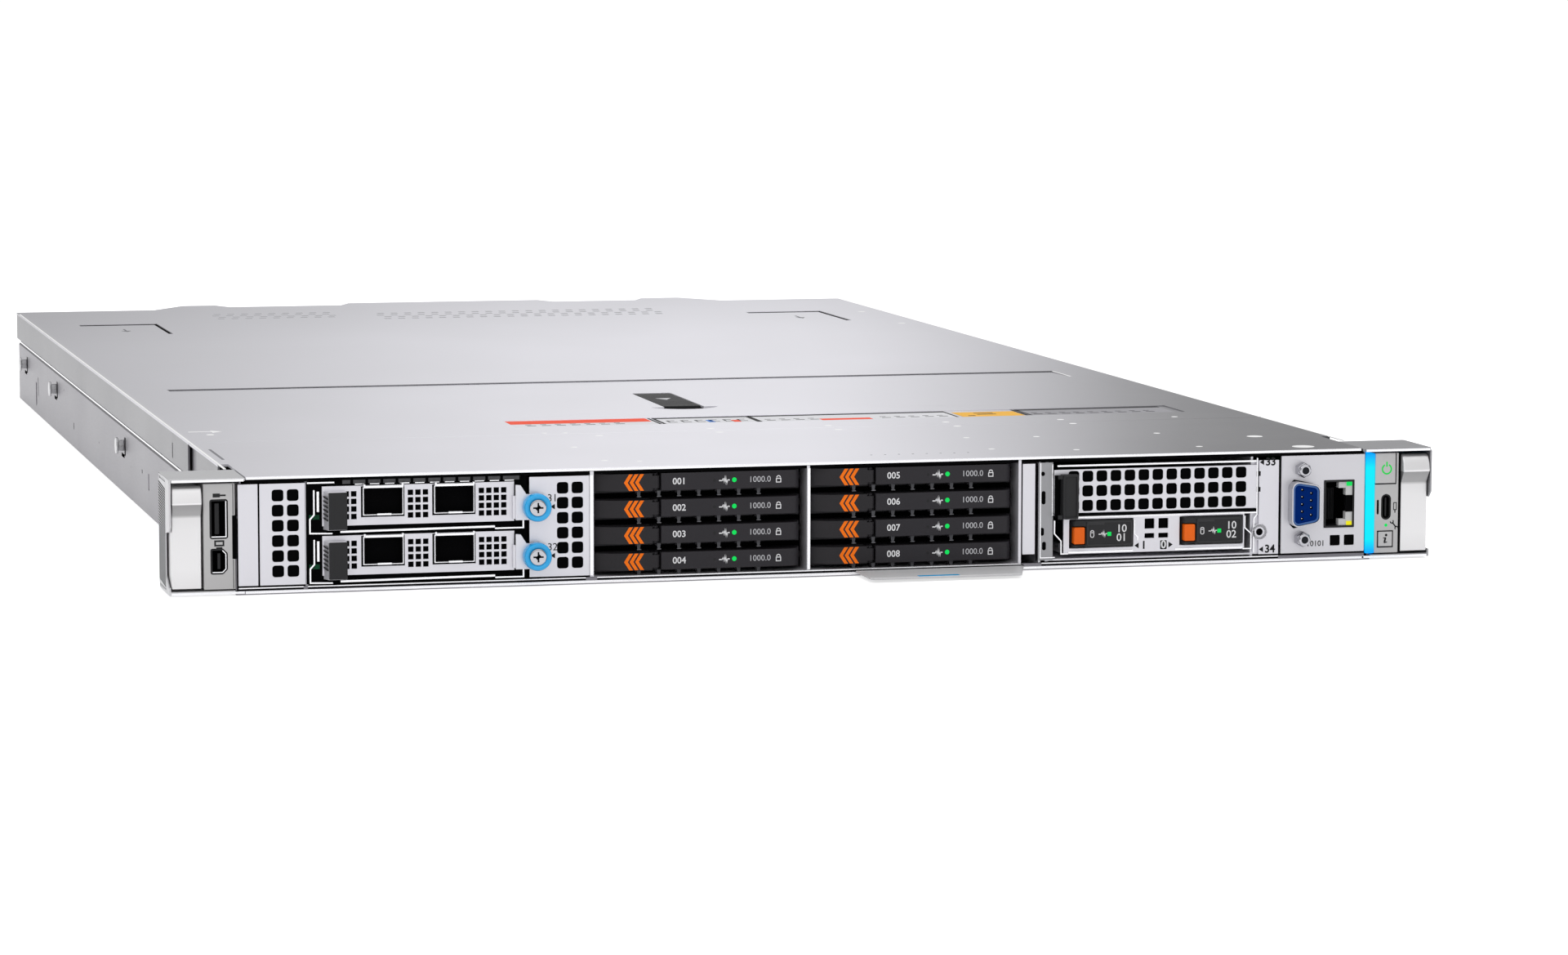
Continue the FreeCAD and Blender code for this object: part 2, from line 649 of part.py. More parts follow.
# ---------------------------------------------------------------- chassis
def base_pan():
    """Floor and side walls, bent from one sheet; each wall steps in under the skirt."""
    step = HALF - WALL_STEP
    under = WALL_TOP - BEND
    outer = [(-HALF, 0), (HALF, 0), (HALF, WALL_TOP), (step, WALL_TOP + WALL_STEP),
             (step, FLANGE_TOP), (step - SHEET, FLANGE_TOP), (step - SHEET, under + WALL_STEP),
             (HALF - SHEET, under), (HALF - SHEET, SHEET)]
    profile = outer + [(-x, z) for x, z in reversed(outer[2:])]
    front = PLATE_THICK + CLEAR
    tray = prism_y(profile, front, REAR_WALL)
    apron = box(-HALF, HALF, 0, front, 0, SHEET)
    lip = box(-HALF + WALL_GAP, HALF - LIGHT_BAR_LAP - CLEAR, 0, SHEET, 0, BAY_FLOOR)
    tag_window = box(TAG_X - CLEAR, TAG_X + TAG_WIDTH + CLEAR, -PAST, front,
                     SHEET, TAG_Z + TAG_THICK + CLEAR)
    front_slot = wall_slots(FRONT_SLOT[0], *FRONT_SLOT[1:])
    rear_slot = wall_slots(REAR_WALL - REAR_SLOT[0], *REAR_SLOT[1:])
    return cut(join([tray, apron, lip]), [tag_window, front_slot, rear_slot])


def wall_slots(depth, low, high):
    """Tool for one upright slot through both side walls."""
    half = WALL_SLOT / 2
    return box(-HALF - PAST, HALF + PAST, depth - half, depth + half, low, high)


def rear_panel():
    """Rear wall: upright vent slots between the two power supply openings."""
    face = REAR_WALL - SHEET
    plate = box(-INNER_WALL, INNER_WALL, face, REAR_WALL, SHEET, COVER_UNDER - REAR_TOP_GAP)
    reach = PSU_WIDTH / 2 + CLEAR
    tools = [box(x - reach, x + reach, face - PAST, REAR_WALL + PAST, SHEET,
                 PSU_BASE + PSU_HEIGHT + CLEAR) for x in (-PSU_X, PSU_X)]
    half = EXHAUST_SLOT / 2
    for x in fitting(-EXHAUST_REACH, EXHAUST_REACH, EXHAUST_PITCH):
        tools.append(box(x - half, x + half, face - PAST, REAR_WALL + PAST,
                         SHEET + EXHAUST_MARGIN, COVER_UNDER - EXHAUST_MARGIN))
    return cut(plate, tools)


def front_brace():
    """Fixed plate over the front bays: narrow between the ears, with side flanges behind them."""
    notch = HALF - BRACE_NOTCH
    shoulder = EAR_DEPTH + BRACE_SHOULDER
    outline = [(-notch, 0), (notch, 0), (notch, shoulder), (HALF, shoulder),
               (HALF, BRACE_REAR), (-HALF, BRACE_REAR), (-HALF, shoulder), (-notch, shoulder)]
    flange = box(HALF - SHEET, HALF, shoulder, BRACE_REAR - BRACE_FLANGE_END,
                 HEIGHT - COVER_SKIRT, BRACE_UNDER)
    return join([prism_z(outline, BRACE_UNDER, HEIGHT), flange, sided(flange, -1)])


def ear(side):
    """Rack ear: open-fronted pocket with a finger recess and a grip field in its outer wall."""
    top = HEIGHT - EAR_DROP
    under = top - EAR_TOP_THICK
    inner = EAR - EAR_SHEET
    shell = box(HALF, EAR, 0, EAR_DEPTH, EAR_FLOOR, top)
    pocket = box(HALF - PAST, inner, -PAST, EAR_DEPTH - EAR_BACK, EAR_FLOOR + EAR_FLOOR_THICK, under)
    roof = box(HALF - EAR_ROOF_LAP, EAR, -EAR_ROOF_LIP, EAR_DEPTH, under, top)
    nose = top - EAR_NOSE_HEIGHT
    cheek = prism_x([(PAST, nose - 4 * PAST), (PAST, top), (-EAR_NOSE, top - EAR_TOP_THICK),
                     (-EAR_NOSE, nose), (0, nose - EAR_NOSE)], inner, EAR)
    body = join([shell.cut(pocket), roof, cheek])
    hole = rod((RACK_HOLE_SPACING / 2, EAR_DEPTH - RACK_HOLE_INSET, HEIGHT / 2), (0, 1, 0),
               RACK_HOLE_RADIUS, RACK_HOLE_INSET + PAST)
    corner = prism_z([(EAR - EAR_CORNER, EAR_DEPTH), (EAR, EAR_DEPTH), (EAR, EAR_DEPTH - EAR_CORNER)],
                     0, HEIGHT)
    grip = box(EAR - GRIP_DEPTH, EAR + PAST, GRIP_FRONT, EAR_DEPTH - GRIP_MARGIN,
               EAR_FLOOR + GRIP_MARGIN, top - GRIP_MARGIN)
    return sided(cut(body, [finger_recess(nose), hole, corner, grip]), side)


def finger_recess(nose):
    """Tool for the recess that bares the handle's cheek, up to just under the ear's nose."""
    high = nose - EAR_NOSE
    front = -EAR_NOSE - PAST
    run = RECESS_DEPTH - 2 * HANDLE_SKIN
    return prism_x([(front, RECESS_BASE), (2 * HANDLE_SKIN, RECESS_BASE), (run, RECESS_BASE + RECESS_SLOPE),
                    (RECESS_DEPTH, RECESS_BASE + 2 * RECESS_SLOPE), (RECESS_DEPTH, high - RECESS_SLOPE),
                    (run, high - RECESS_SLOPE / 3), (2 * HANDLE_SKIN, high), (front, high)],
                   EAR - EAR_SHEET - PAST, EAR + PAST)


def ear_handle(side):
    """Release handle: a nose at the top over a flat face, with cheeks folded back."""
    low = EAR_FLOOR + EAR_FLOOR_THICK + HANDLE_BASE_GAP
    high = HEIGHT - EAR_DROP - EAR_TOP_THICK - HANDLE_TOP_GAP
    nose = high - HANDLE_NOSE_HEIGHT
    flat = nose - HANDLE_SLOPE
    back = HANDLE_SKIN / 2
    brow = [(back - (HANDLE_NOSE + back) * math.cos(angle), nose + HANDLE_NOSE_HEIGHT * math.sin(angle))
            for angle in steps(0, math.pi / 6, 4)]
    face = [(0, low), (0, flat)] + brow + [(HANDLE_SKIN + HANDLE_CHEEK, high), (HANDLE_SKIN, nose),
                                           (HANDLE_SKIN, low)]
    parts = [prism_x(face, HANDLE_INNER, HANDLE_OUTER)]
    top = flat + HANDLE_PIN
    cheek = [(HANDLE_SKIN, low), (HANDLE_SKIN, top), (HANDLE_PIN_DEPTH + HANDLE_PIN, top),
             (HANDLE_DEPTH, flat - HANDLE_NOSE_HEIGHT), (HANDLE_DEPTH, low + HANDLE_SLOPE),
             (HANDLE_SKIN + HANDLE_SLOPE, low)]
    for x in (HANDLE_INNER, HANDLE_OUTER - HANDLE_CHEEK):
        parts.append(prism_x(cheek, x, x + HANDLE_CHEEK))
    parts.append(pin((HANDLE_INNER, HANDLE_PIN_DEPTH, HANDLE_AXIS_Z), (1, 0, 0), HANDLE_PIN,
                     EAR - EAR_SHEET - PANEL_GAP - HANDLE_INNER))
    return sided(join(parts), side)


# ---------------------------------------------------------------- control panels
def left_control_panel():
    """Grey moulding with pockets for the USB and display sockets."""
    body = box(-HALF - PANEL_WIDTH, -HALF - PANEL_GAP, 0, PANEL_DEPTH, PANEL_BASE, PANEL_TOP)
    return cut(body, [usb_outline(0, -PAST, SOCKET_DEPTH), display_outline(0, -PAST, SOCKET_DEPTH)])


def usb_outline(inset, y0, y1):
    """Upright USB socket, inset from its shell's outside."""
    half = USB_WIDTH / 2 - inset
    return box(-HALF - USB_X - half, -HALF - USB_X + half, y0, y1,
               USB_BASE + inset, USB_BASE + USB_LENGTH - inset)


def display_outline(inset, y0, y1):
    """Mini display socket: a rectangle with two corners cut off, inset from its edge."""
    half = DISPLAY_WIDTH / 2 - inset
    left, right = -HALF - USB_X - half, -HALF - USB_X + half
    low, high = DISPLAY_BASE + inset, DISPLAY_BASE + DISPLAY_LENGTH - inset
    corner = DISPLAY_CORNER - 0.4 * inset
    return prism_y([(left, low), (right - corner, low), (right, low + corner),
                    (right, high - corner), (right - corner, high), (left, high)], y0, y1)


def type_c_outline(inset, y0, y1):
    """Upright type-C socket: a slot with round ends, inset from its edge."""
    radius = TYPE_C_WIDTH / 2 - inset
    centre = HALF + TYPE_C_X
    low = TYPE_C_BASE + TYPE_C_WIDTH / 2
    high = TYPE_C_BASE + TYPE_C_LENGTH - TYPE_C_WIDTH / 2
    ends = [post((centre, y0, z), (0, 1, 0), radius, y1 - y0) for z in (low, high)]
    return join(ends + [box(centre - radius, centre + radius, y0, y1, low, high)])


def socket(outline, depth, tongue):
    """Socket shell, closed at the back, round its tongue."""
    hollow = outline(SOCKET_WALL, -PAST, depth - SOCKET_BACK)
    return join([outline(0, 0, depth).cut(hollow), tongue])


def panel_sockets():
    """USB, display and type-C sockets: metal shells with their tongues."""
    left = -HALF - USB_X - USB_WIDTH / 2 + 2 * SOCKET_WALL
    back = SOCKET_DEPTH - SOCKET_BACK / 2
    usb = box(left, left + USB_TONGUE, TONGUE_SETBACK, back,
              USB_BASE + TONGUE_SETBACK, USB_BASE + USB_LENGTH - TONGUE_SETBACK)
    half = USB_TONGUE / 2
    display = box(-HALF - USB_X - half, -HALF - USB_X + half, TONGUE_SETBACK, back,
                  DISPLAY_BASE + 2 * TONGUE_SETBACK, DISPLAY_BASE + DISPLAY_LENGTH - 2 * TONGUE_SETBACK)
    centre = HALF + TYPE_C_X
    type_c = box(centre - SOCKET_WALL, centre + SOCKET_WALL, TONGUE_SETBACK, TYPE_C_DEPTH - SOCKET_BACK / 2,
                 TYPE_C_BASE + TONGUE_SETBACK, TYPE_C_BASE + TYPE_C_LENGTH - TONGUE_SETBACK)
    return (socket(usb_outline, SOCKET_DEPTH, usb), socket(display_outline, SOCKET_DEPTH, display),
            socket(type_c_outline, TYPE_C_DEPTH, type_c))


def right_control_panel():
    """Grey moulding with the power key's seat, the type-C socket and the info key."""
    right = RIGHT_PANEL_X + RIGHT_PANEL_WIDTH
    body = box(RIGHT_PANEL_X, right, 0, PANEL_DEPTH, PANEL_BASE, PANEL_TOP)
    back = BUTTON_DEPTH + BUTTON_TRAVEL + CLEAR
    seat = box(RIGHT_PANEL_X - PAST, right - POWER_SIDE, -PAST, back,
               PANEL_TOP - POWER_HEIGHT - CLEAR, PANEL_TOP + PAST)
    return cut(body, [seat, info_outline(CLEAR, -PAST, back), type_c_outline(0, -PAST, TYPE_C_DEPTH)])


def info_outline(grow, y0, y1):
    """Square info key, grown by a clearance."""
    half = INFO_SIZE / 2 + grow
    centre = HALF + INFO_X
    return box(centre - half, centre + half, y0, y1, INFO_BASE - grow, INFO_BASE + INFO_SIZE + grow)


def power_button():
    """Power key, standing nearly flush in its seat."""
    right = RIGHT_PANEL_X + RIGHT_PANEL_WIDTH - POWER_SIDE - CLEAR
    return box(RIGHT_PANEL_X + PANEL_GAP, right, -BUTTON_PROUD, BUTTON_DEPTH,
               PANEL_TOP - POWER_HEIGHT, PANEL_TOP)


def info_button():
    """Info key."""
    return info_outline(0, -BUTTON_PROUD, BUTTON_DEPTH)


def light_bar():
    """Status light guide: a bar over the wall's edge with a stem behind it."""
    left = HALF - LIGHT_BAR_LAP
    bar = box(left, left + LIGHT_BAR_WIDTH, -LIGHT_BAR_PROUD, PLATE_THICK, PANEL_BASE, PANEL_TOP)
    stem = box(HALF + CLEAR, RIGHT_PANEL_X - PANEL_GAP, 0, PANEL_DEPTH, PANEL_BASE, PANEL_TOP)
    return join([bar, stem])


# ---------------------------------------------------------------- front plates
def bent_plate(x0, x1, base, flange_x):
    """Front plate with a short flange folded back at flange_x."""
    plate = box(x0, x1, 0, PLATE_THICK, base, PLATE_TOP)
    flange = box(flange_x, flange_x + PLATE_THICK, 0, PLATE_FLANGE, base, PLATE_TOP)
    return join([plate, flange])


def vent_holes(first):
    """Tools for two columns of square holes."""
    rows = fitting(PLATE_BASE + VENT_MARGIN, PLATE_TOP - VENT_MARGIN, VENT_PITCH)
    return square_holes(steps(first, VENT_PITCH, VENT_COLUMNS), rows, VENT_HOLE)


def front_plates():
    """Two plain fillers and the two vent plates beside the network cards."""
    filler = bent_plate(FILLER_X, FILLER_X + FILLER_WIDTH, PLATE_BASE,
                        FILLER_X + FILLER_WIDTH - PLATE_THICK)
    right_filler = bent_plate(RIGHT_FILLER_X, RIGHT_FILLER_X + RIGHT_FILLER_WIDTH,
                              PLATE_BASE + RIGHT_FILLER_RISE, RIGHT_FILLER_X)
    left_vent = bent_plate(LEFT_VENT_X, LEFT_VENT_X + LEFT_VENT_WIDTH, PLATE_BASE, LEFT_VENT_X)
    right_edge = RIGHT_VENT_X + RIGHT_VENT_WIDTH
    right_vent = bent_plate(RIGHT_VENT_X, right_edge, PLATE_BASE, right_edge - PLATE_THICK)
    screw_holes = [screw_hole(base) for base in card_bases()]
    return (filler, right_filler, cut(left_vent, vent_holes(LEFT_VENT_X + LEFT_VENT_MARGIN)),
            cut(right_vent, vent_holes(RIGHT_VENT_X + RIGHT_VENT_MARGIN) + screw_holes))


# ---------------------------------------------------------------- network cards
def card_bases():
    """Underside of each network card's bracket, upper card first."""
    return [CARD_BASE + CARD_PITCH, CARD_BASE]


def screw_hole(base):
    """Tool for the thumbscrew's hole through tab and plate."""
    return post((KNOB_X, -KNOB_TAB_REACH - PAST, base + KNOB_RISE), (0, 1, 0), KNOB_SHANK + CLEAR,
                KNOB_TAB_REACH + PLATE_THICK + 2 * PAST)


def board_base(base):
    """Underside of the circuit board of the card whose bracket starts at base."""
    return base + PORT_RISE - CARD_BOARD


def card_cage():
    """Two-storey sheet cage with a ledge on each side of each card."""
    left = CARD_BAY_X
    right = CARD_BAY_X + CARD_BAY_WIDTH - FILLER_GAP
    rear = CARD_DEPTH + CARD_CAGE_REAR
    front = PLATE_THICK + SEAM
    behind = PLATE_FLANGE + CLEAR
    end = rear - CARD_LEDGE_END
    parts = [box(left, left + PLATE_THICK, front, rear, SHEET, BRACE_UNDER),
             box(right - PLATE_THICK, right, behind, rear, SHEET, BRACE_UNDER)]
    for base in card_bases():
        shelf = base - CARD_SHELF_DROP
        parts.append(box(left, right, behind, rear, shelf, shelf + SHEET))
        parts.append(box(left, CARD_X + CARD_WIDTH + CARD_SHELF_LAP, front, behind, shelf, shelf + SHEET))
        ledge = board_base(base) - CLEAR
        parts.append(box(left, CARD_X - CARD_LEDGE_GAP, front + PLATE_THICK, end, ledge - SHEET, ledge))
        parts.append(box(CARD_X + CARD_WIDTH - PORT_WALL, right, behind, end, ledge - SHEET, ledge))
    return join(parts)


def card_hole_columns():
    """Columns of small holes left of, between and right of the two ports."""
    groups = ((CARD_X + LEFT_HOLES[0], LEFT_HOLES[1]), (CARD_X + MIDDLE_HOLES[0], MIDDLE_HOLES[1]),
              (CARD_X + CARD_WIDTH - RIGHT_HOLES[0], RIGHT_HOLES[1]))
    return [x for first, count in groups for x in steps(first, CARD_HOLE_PITCH, count)]


def port_lefts():
    """Left edge of each optical port."""
    return [CARD_X + offset for offset in PORT_OFFSETS]


def card_bracket(base):
    """Perforated bracket with two port windows and the thumbscrew's joggled tab."""
    top = base + CARD_HEIGHT
    right = CARD_X + CARD_WIDTH
    low = base + KNOB_RISE - KNOB_TAB_HALF
    high = base + KNOB_RISE + KNOB_TAB_HALF
    bracket = box(CARD_X, right, 0, PLATE_THICK, base, top)
    joggle = box(right - SHEET, right, -KNOB_TAB_REACH, PLATE_THICK, low, high)
    tab = box(right - SHEET, KNOB_X + KNOB_TAB_END, -KNOB_TAB_REACH, -KNOB_TAB_REACH + KNOB_TAB_THICK,
              low, high)
    rows = steps(base + CARD_HOLE_RISE, CARD_HOLE_PITCH, CARD_HOLE_ROWS)
    windows = [box(x, x + PORT_WIDTH, -PAST, PLATE_THICK + PAST, base + PORT_RISE,
                   base + PORT_RISE + PORT_HEIGHT) for x in port_lefts()]
    tools = square_holes(card_hole_columns(), rows, CARD_HOLE) + windows + [screw_hole(base)]
    return cut(join([bracket, joggle, tab]), tools)


def port_cage(x, low):
    """Optical port: a thin sheet tube, closed at the back."""
    high = low + PORT_HEIGHT
    hollow = box(x + PORT_WALL, x + PORT_WIDTH - PORT_WALL, -PORT_PROUD - PAST, PORT_DEPTH - PORT_BACK,
                 low + PORT_WALL, high - PORT_WALL)
    return box(x, x + PORT_WIDTH, -PORT_PROUD, PORT_DEPTH, low, high).cut(hollow)


def heat_spreader(low, high):
    """Grooved heat spreader on the card's board."""
    left = CARD_X + SPREADER_MARGIN
    right = CARD_X + CARD_WIDTH - SPREADER_MARGIN
    front = PORT_DEPTH + SPREADER_GAP
    rear = CARD_DEPTH - SPREADER_REAR
    grooves = [box(x, x + SPREADER_GROOVE, front - PAST, rear + PAST, low + SPREADER_BASE, high + PAST)
               for x in fitting(left + SPREADER_EDGE, right - SPREADER_EDGE - SPREADER_GROOVE,
                                SPREADER_PITCH)]
    return cut(box(left, right, front, rear, low, high), grooves)


def network_card(base):
    """Card with bracket, board, heat spreader, two port cages and latch block."""
    low = base + PORT_RISE
    board = box(CARD_X - CARD_BOARD_LEFT, CARD_X + CARD_WIDTH + CARD_BOARD_RIGHT, PLATE_THICK, CARD_DEPTH,
                board_base(base), low)
    left = CARD_X + CARD_LATCH_LEFT
    right = left + CARD_LATCH_WIDTH
    latch = prism_z([(left, 0), (left + CARD_LATCH_BEVEL, -CARD_LATCH_REACH), (right, -CARD_LATCH_REACH),
                     (right, 0)], base - CARD_LATCH_DROP, base + CARD_HEIGHT - CARD_LATCH_TOP)
    cages = [port_cage(x, low) for x in port_lefts()]
    spreader = heat_spreader(low, base + CARD_HEIGHT - PLATE_THICK)
    return [card_bracket(base), board, spreader] + cages + [latch]


def thumbscrew(base):
    """Captive thumbscrew with a cross recess in its head."""
    height = base + KNOB_RISE
    back = -KNOB_TAB_REACH - CLEAR
    front = back - KNOB_LENGTH
    half = CROSS_WIDTH / 2
    knob = post((KNOB_X, front, height), (0, 1, 0), KNOB_RADIUS, KNOB_LENGTH, KNOB_SIDES)
    shank = pin((KNOB_X, back, height), (0, 1, 0), KNOB_SHANK, KNOB_SHANK_LENGTH)
    slots = [box(KNOB_X - across, KNOB_X + across, front - PAST, front + CROSS_DEPTH,
                 height - along, height + along) for across, along in ((CROSS_ARM, half), (half, CROSS_ARM))]
    return cut(join([knob, shank]), slots)


# ---------------------------------------------------------------- drives
def slot_centres():
    """Height of each carrier's centre line, top slot first."""
    lowest = BAY_FLOOR + DRIVE_PITCH / 2 + CARRIER_RISE
    return list(reversed(steps(lowest, DRIVE_PITCH, DRIVE_ROWS)))


def bay_lefts():
    """Left edge of each drive bay's opening."""
    return steps(BAY_X, COLUMN_PITCH, DRIVE_COLUMNS)


def drive_cage():
    """Cage of two bays, with a ledge under each carrier's side flanges."""
    right = CAGE_X + CAGE_WIDTH
    behind_lip = SHEET + SEAM / 2
    parts = [box(CAGE_X, right, behind_lip, CAGE_DEPTH, BAY_FLOOR - CAGE_SKIN, BAY_FLOOR),
             box(CAGE_X, right, PLATE_THICK + SEAM, CAGE_DEPTH, BRACE_UNDER - CAGE_ROOF, BRACE_UNDER),
             box(CAGE_X, BAY_X, CAGE_SETBACK, CAGE_DEPTH, BAY_FLOOR, BRACE_UNDER)]
    for left in bay_lefts():
        edge = left + BAY_WIDTH
        parts.append(box(edge, edge + DIVIDER, CAGE_SETBACK, CAGE_DEPTH, BAY_FLOOR, BRACE_UNDER))
        for centre in slot_centres():
            top = centre - FLANGE_HALF - CLEAR
            for x in (left, edge - LEDGE_WIDTH):
                parts.append(box(x, x + LEDGE_WIDTH, LEDGE_FRONT, CAGE_DEPTH - LEDGE_REAR,
                                 top - LEDGE_THICK, top))
    return join(parts)


def carrier_face(left, right, low):
    """Fixed face of a carrier, bevelled beside the lever and rounded back at its right end."""
    width, depth = CARRIER_BEVEL
    turn = right - CARRIER_END
    bend = [(turn + CARRIER_RADIUS * math.sin(angle), CARRIER_RADIUS * (1 - math.cos(angle)))
            for angle in steps(0, math.pi / 6, 4)]
    outline = [(left, CARRIER_SEAT), (left, depth), (left + width, 0)] + bend
    outline.append((turn + CARRIER_RADIUS, CARRIER_SEAT))
    return prism_z(outline, low, low + CARRIER_FACE)


def carrier(left, centre):
    """Drive in its carrier: fixed face, vent comb, side flanges and lever pin."""
    x0 = left + CLEAR
    x1 = left + BAY_WIDTH - CLEAR
    low = centre - CARRIER_FACE / 2
    high = centre + CARRIER_FACE / 2
    face_left = x0 + LEVER_LENGTH + LEVER_GAP
    rear = CARRIER_SEAT + DRIVE_LENGTH
    middle = left + BAY_WIDTH / 2
    drive_low = centre - DRIVE_THICK / 2 - DRIVE_DROP
    parts = [carrier_face(face_left, x1, low),
             box(x0 + SILL_SIDE, x1 - SILL_SIDE, SILL_FRONT, SILL_REAR, low - SILL_DROP, high),
             box(left + DRIVE_SIDE_GAP, left + BAY_WIDTH - DRIVE_SIDE_GAP, CARRIER_SEAT, rear,
                 drive_low, drive_low + DRIVE_THICK),
             box(middle - PLUG_WIDTH / 2, middle + PLUG_WIDTH / 2, rear, rear + PLUG_LENGTH,
                 centre - PLUG_THICK / 2, centre + PLUG_THICK / 2)]
    for x in (x0, x1 - FLANGE_WIDTH):
        parts.append(box(x, x + FLANGE_WIDTH, CARRIER_SEAT, rear, centre - FLANGE_HALF,
                         centre + FLANGE_HALF))
    for x in steps(face_left - COMB_LEAD, COMB_PITCH, COMB_RIBS):
        parts.append(box(x, x + COMB_RIB, COMB_FRONT, SILL_FRONT, low - SILL_DROP, low - CLEAR))
    pin_x = x0 + LEVER_LENGTH - LEVER_BARREL
    half = LEVER_LUG_WIDTH / 2
    for z in (low, high - LEVER_LUG):
        parts.append(box(pin_x - half, pin_x + half, LEVER_BARREL, CARRIER_SEAT, z, z + LEVER_LUG))
    parts.append(pin((pin_x, LEVER_BARREL, low), (0, 0, 1), LEVER_PIN, CARRIER_FACE, BARREL_SIDES))
    return join(parts)


def drive_lever(left, centre):
    """Release lever: faceted finger end on the left, hinge barrel on the right."""
    x0 = left + CLEAR
    axis = x0 + LEVER_LENGTH - LEVER_BARREL
    half = CARRIER_FACE / 2
    arm = half - LEVER_LUG - CLEAR / 2
    end = axis - LEVER_PIN - SHEET
    front = [(x0 + along, back) for along, back in LEVER_FACETS] + [(end, 0)]
    outline = front + [(x, back + LEVER_THICK) for x, back in reversed(front)]
    blade = prism_z(outline, centre - half, centre + half)
    neck = box(end - CLEAR, axis, 0, LEVER_THICK, centre - arm, centre + arm)
    barrel = post((axis, LEVER_BARREL, centre - arm), (0, 0, 1), LEVER_BARREL, 2 * arm, BARREL_SIDES)
    hole = post((axis, LEVER_BARREL, centre - half), (0, 0, 1), LEVER_PIN + SNUG, CARRIER_FACE,
                BARREL_SIDES)
    return join([blade, neck, barrel]).cut(hole)


# ---------------------------------------------------------------- riser bay
def sled_lefts():
    """Left edge of each boot sled."""
    return [RISER_X + SLED_LEFT, RISER_END - SLED_RIGHT - SLED_WIDTH]


def riser_cage():
    """Riser bay: side wall, guide wall, shelf, floor, the end plate and the boot sleds' frame."""
    front = PLATE_THICK + SEAM
    guide = RISER_X + GUIDE_GAP
    right = RISER_END - BLANK_RIGHT
    end = RISER_END - END_PLATE_WIDTH
    top = PLATE_TOP - END_PLATE_DROP
    parts = [box(RISER_X, RISER_X + RISER_SKIN, front, RISER_DEPTH, SHEET, BRACE_UNDER),
             box(guide, guide + GUIDE_SKIN, front, RISER_DEPTH, SHEET + GUIDE_RISE,
                 BRACE_UNDER - GUIDE_SKIN),
             box(RISER_X, guide + GUIDE_SKIN, GUIDE_FOOT_FRONT, RISER_DEPTH, SHEET, SHEET + GUIDE_RISE),
             box(guide, right, front, RISER_DEPTH, RISER_FLOOR, RISER_FLOOR + SHEET),
             box(guide, right, front, RISER_DEPTH, BLANK_BASE - SEAM - RISER_SHELF, BLANK_BASE - SEAM),
             box(right - RISER_SKIN, right, front, RISER_DEPTH, SHEET, BRACE_UNDER),
             box(right - RISER_SKIN, end + RISER_SKIN, front, front + PLATE_THICK, PLATE_BASE, top),
             box(end, RISER_END, 0, front, PLATE_BASE, top),
             post((RISER_END - END_BOSS_X, -CLEAR, END_BOSS_Z), (0, 1, 0), END_BOSS_RADIUS,
                  PLATE_THICK + CLEAR)]
    hole = post((RISER_END - END_BOSS_X, -PAST, END_BOSS_Z), (0, 1, 0), END_HOLE_RADIUS,
                2 * PLATE_THICK + 2 * PAST)
    return join(parts).cut(hole), boot_frame()


def boot_frame():
    """Bracket round the two boot sleds, with its four small vents and the sleds' rails."""
    lefts = sled_lefts()
    left = lefts[0] - BOOT_FRAME_LEFT
    right = lefts[1] + SLED_WIDTH + BOOT_FRAME_RIGHT
    tray_top = BOOT_FRAME_BASE + SHEET
    plate = box(left, right, 0, PLATE_THICK, BOOT_FRAME_BASE, BLANK_BASE - BOOT_FRAME_TOP_GAP)
    tray = box(left, right, 0, SLED_LENGTH, BOOT_FRAME_BASE, tray_top)
    tools = [box(x - CLEAR, x + SLED_WIDTH + CLEAR, -PAST, PLATE_THICK + PAST, SLED_BASE - CLEAR,
                 SLED_BASE + SLED_HEIGHT + CLEAR) for x in lefts]
    middle = (lefts[0] + lefts[1] + SLED_WIDTH) / 2
    half = BOOT_VENT / 2
    for x in (middle - VENT_PITCH / 2, middle + VENT_PITCH / 2):
        for low, height in (BOOT_VENT_HIGH, BOOT_VENT_LOW):
            tools.append(box(x - half, x + half, -PAST, PLATE_THICK + PAST, low, low + height))
    rails = [box(x, x + SLED_WIDTH, RAIL_FRONT, SLED_LENGTH, tray_top, SLED_BASE - CLEAR) for x in lefts]
    return join([cut(plate, tools), tray] + rails)


def blank_bracket():
    """Perforated cover of the empty riser slot, and the black latch that holds it."""
    left = RISER_X + BLANK_LEFT
    right = RISER_END - END_PLATE_WIDTH - 2 * SEAM
    plate = box(left, right, 0, PLATE_THICK, BLANK_BASE, BLANK_TOP)
    flange = box(left + BLANK_FLANGE_LEFT, right - BLANK_FLANGE_RIGHT, 0, BLANK_FLANGE,
                 BLANK_TOP - PLATE_THICK, BLANK_TOP)
    columns = fitting(left + BLANK_COLUMN_LEFT, RISER_END - BLANK_COLUMN_RIGHT, VENT_PITCH)
    rows = fitting(BLANK_BASE + BLANK_ROW_LOW, BLANK_TOP - BLANK_ROW_HIGH, VENT_PITCH)
    body = cut(join([plate, flange]), square_holes(columns, rows, VENT_HOLE))
    x = left + BLANK_LATCH_LEFT
    low, high = BLANK_BASE - BLANK_LATCH_DROP, BLANK_TOP - BLANK_LATCH_TOP
    block = box(x, x + BLANK_LATCH_WIDTH, -BLANK_LATCH_REACH, -PANEL_GAP, low, high)
    notch = box(x - PAST, x + BLANK_LATCH_DROP, -BLANK_LATCH_REACH + PLATE_THICK, -PLATE_THICK,
                low + BLANK_LATCH_DROP, high - BLANK_LATCH_DROP)
    return body, block.cut(notch)


def latch_pocket(left, grow):
    """Extent in x and z of a sled's orange latch in its face, grown by a clearance."""
    x = left + SLED_LATCH_X
    z = SLED_BASE + SLED_LATCH_Z
    return x - grow, x + SLED_LATCH_WIDTH + grow, z - grow, z + SLED_LATCH_HEIGHT + grow


